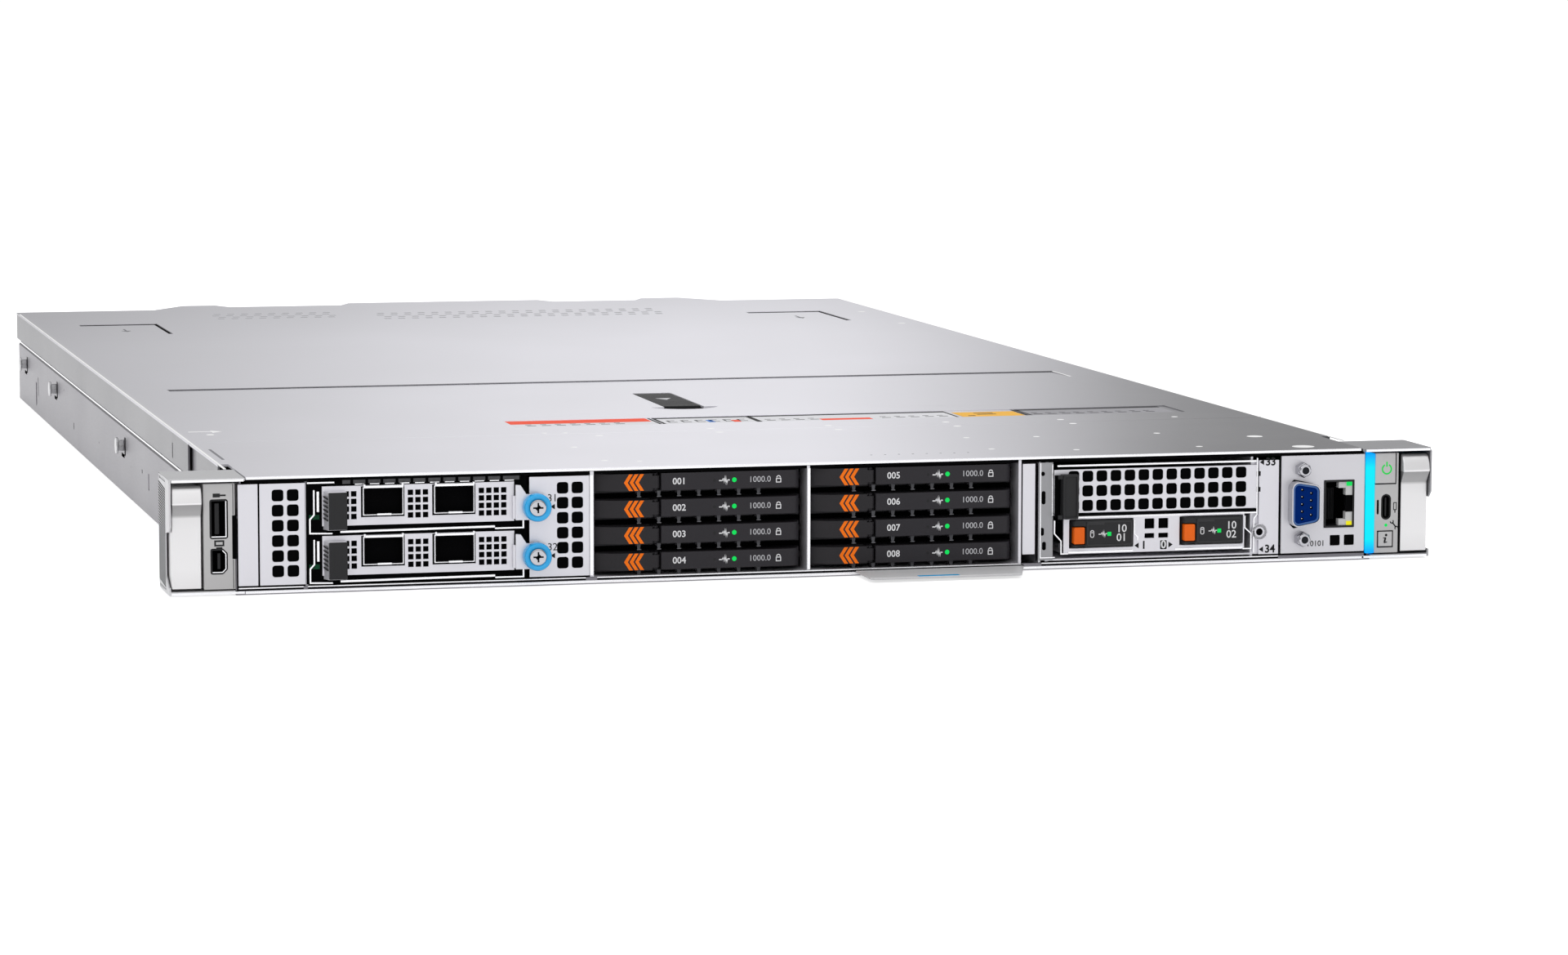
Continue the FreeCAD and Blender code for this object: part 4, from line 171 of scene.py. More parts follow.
class Tree:
    """A node tree whose nodes all come from one method."""

    def __init__(self, tree: bpy.types.NodeTree) -> None:
        self.tree = tree

    def node(self, kind: str, settings: dict[str, Any] | None = None,
             inputs: dict[Any, Any] | None = None) -> bpy.types.Node:
        """Add one node.

        Args:
            kind: Blender's type name of the node.
            settings: Properties, set before the sockets; "stops" fills a colour ramp.
            inputs: Value, Wire or socket for each input, by name or index.

        Returns:
            The new node.
        """
        node = self.tree.nodes.new(kind)
        for name, value in (settings or {}).items():
            if name == "stops":
                self._fill_ramp(node.color_ramp, value)
            else:
                setattr(node, name, value)
        for key, value in (inputs or {}).items():
            if isinstance(value, Wire):
                self.tree.links.new(value.socket, node.inputs[key])
            elif isinstance(value, bpy.types.NodeSocket):
                self.tree.links.new(value, node.inputs[key])
            else:
                node.inputs[key].default_value = value
        return node

    def wire(self, kind: str, settings: dict[str, Any] | None = None,
             inputs: dict[Any, Any] | None = None, output: Any = 0) -> Wire:
        """Add one node and give one of its outputs as a Wire."""
        return Wire(self, self.node(kind, settings, inputs).outputs[output])

    @staticmethod
    def _fill_ramp(ramp: bpy.types.ColorRamp, stops: Sequence[tuple[float, Colour]]) -> None:
        """Set a colour ramp's stops."""
        while len(ramp.elements) < len(stops):
            ramp.elements.new(0.5)
        for element, (place, colour) in zip(ramp.elements, stops):
            element.position = place
            element.color = colour


class Shader(Tree):
    """Node tree of one material around a Principled shader."""

    def __init__(self, name: str) -> None:
        self.material = bpy.data.materials.new(name)
        self.material.use_nodes = True
        super().__init__(self.material.node_tree)
        self.tree.nodes.clear()
        self.output = self.node("ShaderNodeOutputMaterial")
        self.surface = self.node("ShaderNodeBsdfPrincipled")
        self.tree.links.new(self.surface.outputs[0], self.output.inputs[0])
        self.place = self.wire("ShaderNodeTexCoord", output="Object")

    def feed(self, **inputs: Any) -> None:
        """Set or link inputs of the Principled shader, with spaces as underscores."""
        for name, value in inputs.items():
            socket = self.surface.inputs[name.replace("_", " ")]
            if isinstance(value, Wire):
                self.tree.links.new(value.socket, socket)
            else:
                socket.default_value = value

    def stretched(self, scale: Point, shift: Point = (0, 0, 0)) -> Wire:
        """Object coordinates scaled along each axis."""
        return self.wire("ShaderNodeMapping", None,
                         {"Vector": self.place, "Scale": scale, "Location": shift})

    def noise(self, scale: float, detail: float = 2.0, place: Wire | None = None) -> Wire:
        """Smooth noise from 0 to 1, with scale waves in a metre."""
        return self.wire("ShaderNodeTexNoise", None,
                         {"Vector": place or self.place, "Scale": scale, "Detail": detail})

    def blend(self, factor: Wire | float, first: Any, second: Any, kind: str = "MIX") -> Wire:
        """Two colours joined in one of the mix node's ways."""
        return self.wire("ShaderNodeMix", {"data_type": "RGBA", "blend_type": kind},
                         {0: factor, 6: first, 7: second}, 2)

    def bump(self, height: Wire, distance: float, strength: float = 1.0) -> None:
        """Give the surface relief of a height from 0 to 1, in metres."""
        self.feed(Normal=self.wire("ShaderNodeBump", None, {
            "Height": height, "Distance": distance, "Strength": strength}))

    def ramp(self, tones: Sequence[Flat], colour: Colour, share: Wire) -> Wire:
        """A colour in the tones of a list of places, by the share of the way along the list."""
        low, high = tones[0][0], tones[-1][0]
        stops = [((place - low) / (high - low), scaled(colour, tone)) for place, tone in tones]
        return self.wire("ShaderNodeValToRGB", {"stops": stops}, {0: share}, "Color")

    def held(self, value: Wire) -> Wire:
        """A value kept between 0 and 1."""
        return self.wire("ShaderNodeClamp", None, {0: value})

    def axis(self, name: str) -> Wire:
        """X, Y or Z of the object coordinates."""
        return self.wire("ShaderNodeSeparateXYZ", None, {0: self.place}, name)


# ---------------- finishes
@dataclass(frozen=True)
class Finish:
    """A surface with a name, made into one material when first asked for."""

    name: str
    colour: Colour
    roughness: float = 0.4

    def material(self) -> bpy.types.Material:
        """The finish as a Blender material, shared by all its pieces."""
        found = bpy.data.materials.get(self.name)
        if found:
            return found
        shader = Shader(self.name)
        self.paint(shader)
        return shader.material

    def paint(self, shader: Shader) -> None:
        """Fill the material's nodes."""
        shader.feed(Base_Color=self.colour, Roughness=self.roughness)


@dataclass(frozen=True)
class SheetMetal(Finish):
    """Plated sheet steel or satin aluminium, with a faint rolled grain."""

    metallic: float = 0.9
    grain: float = 0.5
    mottle: float = 0.05

    def paint(self, shader: Shader) -> None:
        """Rolled grain, cloudy plating and fine scuffs in the gloss."""
        cloud = shader.noise(14, 3)
        grain = shader.noise(1, 2, shader.stretched((2600, 160, 2600)))
        speck = shader.noise(2200, 1)
        tone = shader.blend(cloud, scaled(self.colour, 1 - self.mottle), scaled(self.colour, 1 + self.mottle))
        shader.feed(Base_Color=shader.blend(speck * 0.25, tone, scaled(self.colour, 0.9)),
                    Metallic=self.metallic,
                    Roughness=self.roughness + (cloud - 0.5) * 0.10 + (grain - 0.5) * 0.08 * self.grain)
        shader.bump(grain * 0.7 + speck * 0.3, 0.00002 * self.grain)


@dataclass(frozen=True)
class SheenPaintedMetal(SheetMetal):
    """Large galvanised sheet whose tone, a painted sheen and painted shade, fans out from a place in front of
    it.

    Attributes:
        tones: Stops of the fan of painted sheen and shade, as the tangent of its angle and the tone there.
        heart: X and Y of the place that the fan opens from, in metres, which is the camera's place.
        turn: Cosine and sine of the way that the fan's middle points.
        rear: Tone of the sheet's rear part, a painted shade.
        side: Tone of what lies lower than the top, a painted shade on the sides.
        brink: Height of the top's underside in metres.
        change: Y where the rear part begins and the length over which it does, in metres.
    """

    tones: tuple[Flat, ...] = ()
    heart: Flat = (-0.4667, -2.1456)
    turn: Flat = (0.9682, 0.2502)
    rear: float = 0.9
    side: float = 0.2
    brink: float = 0.0418
    change: Flat = (0.16, 0.24)

    def paint(self, shader: Shader) -> None:
        """The sheet's grain under a painted sheen and shade that fan out across the length of the top."""
        super().paint(shader)
        cloud = shader.noise(3.5, 2)
        along = shader.axis("X") - self.heart[0]
        deep = shader.axis("Y") - self.heart[1]
        fan = (along * self.turn[0] - deep * self.turn[1]) / (along * self.turn[1] + deep * self.turn[0])
        low, high = self.tones[0][0], self.tones[-1][0]
        place = (fan - low) / (high - low) + (cloud - 0.5) * 0.04
        tone = shader.ramp(self.tones, self.colour, place)
        # Painted shade on the sheet's rear part.
        far = shader.held((shader.axis("Y") - self.change[0]) / self.change[1])
        white = (1, 1, 1, 1)
        rear = shader.blend(cloud, scaled(white, self.rear - 0.03), scaled(white, self.rear))
        tone = shader.blend(far, tone, rear, "MULTIPLY")
        # Painted shade on everything lower than the top.
        below = shader.axis("Z") < self.brink
        shader.feed(Base_Color=shader.blend(below, tone, scaled(self.colour, self.side)))


@dataclass(frozen=True)
class ShadedMetal(SheetMetal):
    """Satin metal whose tone follows its height, in bands of painted shade and painted highlight."""

    painted_light_bands: tuple[Flat, ...] = ()

    def paint(self, shader: Shader) -> None:
        """The sheet's grain under painted shade and highlight bands, given as height in millimetres and tone.
        """
        super().paint(shader)
        low, high = self.painted_light_bands[0][0], self.painted_light_bands[-1][0]
        height = (shader.axis("Z") / MM - low) / (high - low)
        cloud = (shader.noise(30, 3) - 0.5) * 0.02
        shader.feed(Base_Color=shader.ramp(self.painted_light_bands, self.colour, height + cloud))


@dataclass(frozen=True)
class Moulded(Finish):
    """Moulded plastic with a fine spark-eroded texture."""

    texture: float = 1.0
    coat: float = 0.0
    gloss: float = 0.25

    def paint(self, shader: Shader) -> None:
        """Fine pits, a cloudy tone and slightly uneven gloss."""
        pits = shader.noise(5200, 1)
        cloud = shader.noise(35, 3)
        shader.feed(Base_Color=shader.blend(cloud, scaled(self.colour, 0.9), scaled(self.colour, 1.1)),
                    Roughness=self.roughness + (cloud - 0.5) * 0.12 + (pits - 0.5) * 0.1,
                    Coat_Weight=self.coat, Specular_IOR_Level=self.gloss)
        shader.bump(pits, 0.00003 * self.texture)


@dataclass(frozen=True)
class Lit(Finish):
    """Lamp or light guide, brighter in the middle than at its rim."""

    strength: float = 1.0
    ends: Colour | None = None
    low: float = 0.0
    high: float = 0.0

    def paint(self, shader: Shader) -> None:
        """Glow with uneven strength, and another colour towards both ends."""
        glow = shader.noise(260, 1)
        tone = shader.blend(glow * 0.35, self.colour, scaled(self.colour, 0.82))
        if self.ends:
            middle = (self.low + self.high) / 2
            reach = (self.high - self.low) / 2
            far = shader.held(((shader.axis("Z") - middle).size() / reach - 0.72) * 4.0)
            tone = shader.blend(far, tone, self.ends)
        shader.feed(Base_Color=scaled(self.colour, 0.06), Roughness=self.roughness, Specular_IOR_Level=0.15,
                    Emission_Color=tone, Emission_Strength=self.strength)


@dataclass(frozen=True)
class Print(Finish):
    """Printed ink or a paper label, with uneven density."""

    def paint(self, shader: Shader) -> None:
        """Ink whose density and gloss vary a little."""
        density = shader.noise(900, 2)
        shader.feed(Base_Color=shader.blend(density, scaled(self.colour, 0.92), scaled(self.colour, 1.06)),
                    Roughness=self.roughness + (density - 0.5) * 0.15, Specular_IOR_Level=0.12)


@dataclass(frozen=True)
class CircuitBoard(Finish):
    """Solder mask over copper tracks."""

    def paint(self, shader: Shader) -> None:
        """Tracks in two directions under the mask, lighter over copper."""
        across = shader.wire("ShaderNodeTexWave", {"bands_direction": "X"},
                             {"Vector": shader.place, "Scale": 130.0, "Distortion": 3.0})
        along = shader.wire("ShaderNodeTexWave", {"bands_direction": "Y"},
                            {"Vector": shader.place, "Scale": 90.0, "Distortion": 5.0})
        tracks = (across > 0.72) + (along > 0.8)
        patch = shader.noise(25, 2) > 0.5
        shader.feed(Base_Color=shader.blend(tracks * patch * 0.7, self.colour, scaled(self.colour, 1.9)),
                    Roughness=self.roughness + shader.noise(70) * 0.1, Specular_IOR_Level=0.15)
        shader.bump(tracks * patch, 0.00003)


@dataclass(frozen=True)
class Void(Finish):
    """Unlit depth behind a grille or in a socket."""

    def paint(self, shader: Shader) -> None:
        """Nearly black, with a trace of dust."""
        dust = shader.noise(500, 2)
        shader.feed(Base_Color=shader.blend(dust, scaled(self.colour, 0.6), scaled(self.colour, 1.4)),
                    Roughness=self.roughness, Specular_IOR_Level=0.05)


# Painted sheen and painted shade fan across the top; its rear and sides take painted shade.
COVER = SheenPaintedMetal("galvanised_cover", srgb(246, 245, 252), 0.36, 0.45, 0.6, 0.02, tones=(
    (-0.1525, 0.50), (-0.119, 0.65), (-0.0967, 0.76), (-0.0744, 0.87), (-0.052, 0.95), (-0.019, 1.0),
    (0.0037, 0.99), (0.0149, 0.94), (0.026, 0.85), (0.0372, 0.74), (0.0483, 0.62), (0.0595, 0.48),
    (0.0707, 0.33), (0.0818, 0.23), (0.093, 0.18), (0.108, 0.15)))
# Darkened well below the cover's tone: painted shade on the side walls and rear wall.
BODY = SheetMetal("galvanised_body", srgb(122, 120, 126), 0.36, 0.85, 0.8, 0.04)
PLATE = SheetMetal("zinc_plate", srgb(218, 217, 223), 0.36, 0.5, 0.5, 0.02)
# A lighter copy of the sheet metal: painted highlights on folded edges, hems and rims.
HIGHLIGHT_METAL = SheetMetal("bright_edge", srgb(240, 240, 243), 0.25, 0.8, 0.3, 0.01)
# White: painted glints on dimples, rivets, hems and pressed marks.
GLINT = SheetMetal("pressed_glint", srgb(255, 255, 255), 0.3, 0.1, 0.3, 0.01)
EAR_METAL = SheetMetal("ear_casting", srgb(196, 196, 198), 0.38, 0.7, 0.9, 0.04)
# A darker copy of the ear casting: painted shade on the far ear and the riser's side plate.
PAINTED_SHADE_METAL = SheetMetal("ear_casting_dark", srgb(150, 150, 153), 0.38, 0.7, 0.9, 0.04)
# Painted shade in a dark band under the handle's nose and at its top edge, painted highlight on the nose.
HANDLE = ShadedMetal("handle_satin", srgb(232, 231, 232), 0.34, 0.55, 0.25, 0.01, (
    (2.0, 0.9), (10.0, 0.94), (24.0, 0.88), (28.2, 0.84), (29.4, 0.42), (33.3, 0.36), (33.6, 1.0),
    (38.2, 0.98), (39.9, 0.5)))
NICKEL = SheetMetal("nickel_shell", srgb(176, 176, 181), 0.14, 1.0, 0.2, 0.10)
STUD = SheetMetal("turned_stud", srgb(190, 190, 192), 0.3, 0.9, 0.6, 0.05)
FIN = SheetMetal("extruded_fin", srgb(196, 197, 200), 0.36, 0.95, 0.9, 0.05)
SUPPLY = SheetMetal("supply_case", srgb(196, 196, 200), 0.4, 0.85, 0.8, 0.05)
PANEL = Moulded("grey_panel", srgb(196, 195, 195), 0.5, 0.8)
KEY = Moulded("grey_key", srgb(200, 199, 199), 0.48, 0.8)
CARRIER = Moulded("carrier_charcoal", srgb(42, 40, 44), 0.46, 0.8, 0.0, 0.2)
LEVER = Moulded("lever_charcoal", srgb(38, 36, 39), 0.46, 0.8, 0.0, 0.2)
LATCH = Moulded("latch_black", srgb(34, 34, 36), 0.5, 0.9)
SLED = Moulded("sled_black", srgb(34, 34, 36), 0.46, 0.9)
SLED_EDGE = Moulded("sled_edge", srgb(48, 48, 50), 0.36, 0.5)
FAN = Moulded("fan_black", srgb(48, 48, 52), 0.5, 0.7)
MODULE = Moulded("module_black", srgb(30, 44, 38), 0.45, 0.5)
TAG = Moulded("tag_grey", srgb(146, 146, 149), 0.4, 0.3)
ORANGE = Moulded("orange_latch", srgb(240, 104, 12), 0.42, 0.4)
BLUE = Moulded("knob_blue", srgb(0, 116, 214), 0.55, 0.5, 0.0, 0.03)
SERIAL = Moulded("serial_blue", srgb(0, 38, 110), 0.5, 0.5, 0.0, 0.02)
SERIAL_PALE = Moulded("serial_blue_rim", srgb(64, 104, 166), 0.36, 0.5)
BLACK = Moulded("socket_black", srgb(26, 26, 28), 0.45, 0.4)
JACK_BLACK = Moulded("jack_black", srgb(30, 30, 32), 0.4, 0.4)
PALE = Moulded("jack_pale", srgb(205, 205, 205), 0.45, 0.4)
GOLD = SheetMetal("gold_contact", srgb(212, 160, 60), 0.3, 1.0, 0.1, 0.03)
GREEN_BOARD = CircuitBoard("green_mask", srgb(3, 58, 34), 0.4)
ORANGE_INK = Print("chevron_orange", srgb(255, 122, 24), 0.5)
WHITE_INK = Print("mark_white", srgb(232, 232, 234), 0.5)
GREY_INK = Print("mark_light_grey", srgb(196, 196, 200), 0.5)
DARK_INK = Print("mark_dark", srgb(30, 30, 32), 0.5)
FAINT = Print("mark_faint", srgb(168, 168, 172), 0.5)
MARK_GREY = Print("mark_mid_grey", srgb(122, 122, 126), 0.5)
PAPER = Print("label_paper", srgb(216, 216, 220), 0.5)
AMBER = Print("label_amber_paper", srgb(236, 178, 58), 0.5)
RED_INK = Print("label_red_ink", srgb(238, 78, 44), 0.5)
DIM_PAPER = Print("label_grey_paper", srgb(150, 149, 154), 0.5)
BLUE_INK = Print("label_blue_ink", srgb(60, 120, 200), 0.5)
GREEN_LAMP = Lit("lamp_green", srgb(0, 222, 92), 0.4, 1.0)
GREEN_MARK = Lit("mark_green", srgb(44, 214, 86), 0.4, 0.9)
YELLOW_LAMP = Lit("lamp_yellow", srgb(245, 236, 20), 0.4, 0.9)
VOID = Void("unlit_depth", srgb(3, 3, 4), 0.9)
SOCKET_DARK = Void("port_inside", srgb(14, 14, 16), 0.8)
GROOVE = Void("groove_shade", srgb(82, 82, 84), 0.8)
CROSS = Void("recess_shade", srgb(40, 42, 46), 0.6)
FIN_DARK = Moulded("fin_grey", srgb(84, 84, 88), 0.5, 0.5)
IO_PLATE = SheetMetal("io_plate_zinc", srgb(208, 207, 212), 0.36, 0.5, 0.5, 0.02)


# ---------------- outlines
def rectangle(left: float, right: float, low: float, high: float) -> list[Flat]:
    """Corners of a rectangle, anticlockwise."""
    return [(left, low), (right, low), (right, high), (left, high)]


def filleted(outline: Sequence[Flat], radius: float, steps: int = 4) -> list[Flat]:
    """Closed outline with its corners rounded.

    Args:
        outline: Corners in order.
        radius: Radius of every corner.
        steps: Facets round a corner.

    Returns:
        The corners of the rounded outline.
    """
    result = []
    for index, corner in enumerate(outline):
        here = Vector(corner)
        before = (Vector(outline[index - 1]) - here).normalized()
        after = (Vector(outline[(index + 1) % len(outline)]) - here).normalized()
        half = before.angle(after) / 2
        centre = here + (before + after).normalized() * radius / math.sin(half)
        start = here + before * radius / math.tan(half) - centre
        end = here + after * radius / math.tan(half) - centre
        for step in range(steps + 1):
            point = centre + start.lerp(end, step / steps).normalized() * radius
            result.append((point.x, point.y))
    return result


def shifted(line: Sequence[Flat], distance: float, closed: bool) -> list[Flat]:
    """Line moved sideways, to the left of its direction, with mitred corners."""
    count = len(line)
    result = []
    for index, point in enumerate(line):
        normals = []
        for first, second in ((index - 1, index), (index, index + 1)):
            if closed or (first >= 0 and second < count):
                run = (Vector(line[second % count]) - Vector(line[first])).normalized()
                normals.append(Vector((-run.y, run.x)))
        total = sum(normals, Vector((0, 0)))
        push = total / max(0.3, 1 + normals[0].dot(normals[-1])) if len(normals) > 1 else total
        result.append((point[0] + push.x * distance, point[1] + push.y * distance))
    return result


def inset(outline: Sequence[Flat], distance: float) -> list[Flat]:
    """Anticlockwise outline moved inwards, or outwards where the distance is negative."""
    return shifted(outline, distance, True)


# ---------------- shapes
class Form:
    """A mesh being drawn in millimetres, and turned into a piece at the end."""

    def __init__(self) -> None:
        self.mesh = bmesh.new()

    def block(self, x: Flat, depth: Flat, z: Flat) -> "Form":
        """Add a block between two values along each axis."""
        made = bmesh.ops.create_cube(self.mesh, size=1)["verts"]
        size = Vector((x[1] - x[0], depth[1] - depth[0], z[1] - z[0]))
        middle = Vector((x[0] + x[1], depth[0] + depth[1], z[0] + z[1])) / 2
        for vert in made:
            vert.co = Vector(a * b for a, b in zip(vert.co, size)) + middle
        return self

    def extrusion(self, outline: Sequence[Point], along: Point) -> "Form":
        """Add a closed flat outline pushed along a vector.

        Args:
            outline: Corners in order.
            along: Where each corner moves to, from where it is.

        Returns:
            This form.
        """
        push = Vector(along)
        start = [self.mesh.verts.new(point) for point in outline]
        end = [self.mesh.verts.new(Vector(point) + push) for point in outline]
        faces = [self.mesh.faces.new(start), self.mesh.faces.new(list(reversed(end)))]
        for index, vert in enumerate(start):
            after = (index + 1) % len(start)
            faces.append(self.mesh.faces.new((vert, end[index], end[after], start[after])))
        bmesh.ops.recalc_face_normals(self.mesh, faces=faces)
        return self

    def facing_front(self, outline: Sequence[Flat], depth: Flat) -> "Form":
        """Add an outline in X and Z between two depths."""
        points = [(x, depth[0], z) for x, z in outline]
        return self.extrusion(points, (0, depth[1] - depth[0], 0))

    def facing_side(self, outline: Sequence[Flat], x: Flat) -> "Form":
        """Add an outline in depth and Z between two values of X."""
        return self.extrusion([(x[0], depth, z) for depth, z in outline], (x[1] - x[0], 0, 0))

    def facing_top(self, outline: Sequence[Flat], z: Flat) -> "Form":
        """Add an outline in X and depth between two heights."""
        return self.extrusion([(x, depth, z[0]) for x, depth in outline], (0, 0, z[1] - z[0]))

    def joined(self, rings: Sequence[Sequence[bmesh.types.BMVert]],
               faces: list[bmesh.types.BMFace]) -> "Form":
        """Add walls between rings of corners, and turn them and some faces outwards."""
        for first, second in zip(rings, rings[1:]):
            for index in range(len(first)):
                after = (index + 1) % len(first)
                corners = (first[index], first[after], second[after], second[index])
                faces.append(self.mesh.faces.new(corners))
        bmesh.ops.recalc_face_normals(self.mesh, faces=faces)
        return self

    def turned(self, profile: Sequence[Flat], centre: Point, axis: str = "y", sides: int = 32) -> "Form":
        """Add a shape turned about an axis.

        Args:
            profile: Pairs of distance along the axis and radius, from end to end.
            centre: Where the axis starts.
            axis: "x", "y" or "z".
            sides: Corners of each ring.

        Returns:
            This form.
        """
        order = {"x": (0, 1, 2), "y": (1, 2, 0), "z": (2, 0, 1)}[axis]
        rings = []
        for along, radius in profile:
            ring = []
            for index in range(sides):
                angle = 2 * math.pi * index / sides
                point = [0.0, 0.0, 0.0]
                point[order[0]] = along
                point[order[1]] = radius * math.cos(angle)
                point[order[2]] = radius * math.sin(angle)
                ring.append(self.mesh.verts.new(Vector(point) + Vector(centre)))
            rings.append(ring)
        ends = [self.mesh.faces.new(rings[0]), self.mesh.faces.new(rings[-1])]
        return self.joined(rings, ends)

    def dimples(self, places: Sequence[Point], top: float, sides: int) -> "Form":
        """Add flat round marks on a level face, each given by X, depth and radius."""
        for x, depth, radius in places:
            profile = [(-0.09, radius), (-0.03, radius * 0.9), (-0.005, radius * 0.4)]
            self.turned(profile, (x, depth, top), "z", sides)
        return self

    def hems(self, top: float, depth: Flat) -> "Form":
        """Add strips for painted highlights along the folded edges at both sides of a level face."""
        for left in (-216.95, 216.15):
            self.block((left, left + 0.8), depth, (top - 0.3, top - 0.03))
        return self

    def bar(self, start: Flat, end: Flat, width: float, depth: Flat) -> "Form":
        """Add a straight stroke in X and Z between two depths."""
        run = Vector((end[0] - start[0], end[1] - start[1]))
        side = Vector((-run.y, run.x)).normalized() * width / 2
        corners = [Vector(start) + side, Vector(start) - side, Vector(end) - side, Vector(end) + side]
        return self.facing_front([(corner.x, corner.y) for corner in corners], depth)

    def pulse(self, left: float, middle: float, size: float, depth: Flat) -> "Form":
        """Jagged line of an activity sign."""
        line = [(left + x * size, middle + z * size) for x, z in (
            (0, -0.1), (1.4, -0.1), (2.0, 0.9), (2.4, -1.2), (2.8, 2.1), (3.3, -1.9), (3.7, 0.1), (4.7, 0.1))]
        for start, end in zip(line, line[1:]):
            self.bar(start, end, 0.5 * size, depth)
        return self

    def ring(self, centre: Flat, outer: float, inner: float, depth: Flat, start: float = 0,
             sweep: float = 360, sides: int = 28) -> "Form":
        """Add a ring or an arc of one in X and Z, from start through sweep degrees."""
        closed = sweep >= 360
        count = sides if closed else sides + 1
        angles = [math.radians(start + sweep * index / sides) for index in range(count)]
        for index in range(sides):
            first, second = angles[index], angles[(index + 1) % count]
            corners = ((outer, first), (outer, second), (inner, second), (inner, first))
            outline = [(centre[0] + radius * math.cos(angle), centre[1] + radius * math.sin(angle))
                       for radius, angle in corners]
            self.facing_front(outline, depth)
        return self

    def sleeve(self, outer: Sequence[Flat], inner: Sequence[Flat], depth: Flat) -> "Form":
        """Add the wall between two outlines in X and Z with equally many corners."""
        rings = [[self.mesh.verts.new((x, along, z)) for x, z in outline] for outline, along in (
            (outer, depth[0]), (outer, depth[1]), (inner, depth[1]), (inner, depth[0]))]
        return self.joined(rings + rings[:1], [])

    def frame(self, outline: Sequence[Flat], wall: float, depth: Flat) -> "Form":
        """Add a frame of even width inside an outline in X and Z."""
        return self.sleeve(outline, inset(outline, wall), depth)

    def strip(self, line: Sequence[Flat], width: float, depth: Flat) -> "Form":
        """Add a bent strip of sheet seen on its edge, along an open line in X and Z."""
        sides = shifted(line, width / 2, False) + list(reversed(shifted(line, -width / 2, False)))
        return self.facing_front(sides, depth)

    def object(self, name: str, finish: Finish) -> bpy.types.Object:
        """Turn the drawing into an object in metres, in the row frame."""
        self.mesh.transform(Matrix.Translation((0, FRONT, 0)) @ Matrix.Scale(MM, 4))
        mesh = bpy.data.meshes.new(name)
        self.mesh.to_mesh(mesh)
        self.mesh.free()
        return place_mesh(name, mesh, finish)

    def piece(self, name: str, finish: Finish, slot: str, body: str = "chassis", *replaced: str,
              edge: float = 0.0, segments: int = 2) -> None:
        """Turn the drawing into a finished piece that rides on a body.

        Args:
            name: Name of the piece.
            finish: Its finish.
            slot: Material slot of the record.
            body: Name of the CAD body.
            replaced: CAD nodes that the piece stands for.
            edge: Width of its rounded edges in millimetres, or 0 for sharp ones.
            segments: Facets across a rounded edge.
        """
        made = self.object(name, finish)
        if edge:
            round_edges(made, edge, segments)
        attach(made, body, slot, *replaced)


def place_mesh(name: str, mesh: bpy.types.Mesh, finish: Finish) -> bpy.types.Object:
    """Object at the origin that shows a mesh in one finish."""
    piece = bpy.data.objects.new(name, mesh)
    bpy.context.scene.collection.objects.link(piece)
    mesh.materials.clear()
    mesh.materials.append(finish.material())
    return piece


def round_edges(piece: bpy.types.Object, width: float, segments: int = 2) -> None:
    """Round a piece's sharp edges.

    Args:
        piece: The object.
        width: Width of the rounded edge in millimetres.
        segments: Facets across the edge.
    """
    for face in piece.data.polygons:
        face.use_smooth = True
    bevel = piece.modifiers.new("round_edges", "BEVEL")
    bevel.width = width * MM
    bevel.segments = segments
    bevel.limit_method = "ANGLE"
    bevel.angle_limit = math.radians(SHARP)
    bevel.use_clamp_overlap = False
    bevel.harden_normals = True
    bevel.miter_outer = "MITER_ARC"
    flat = piece.modifiers.new("flat_faces", "WEIGHTED_NORMAL")
    flat.mode = "FACE_AREA"
    flat.weight = 100


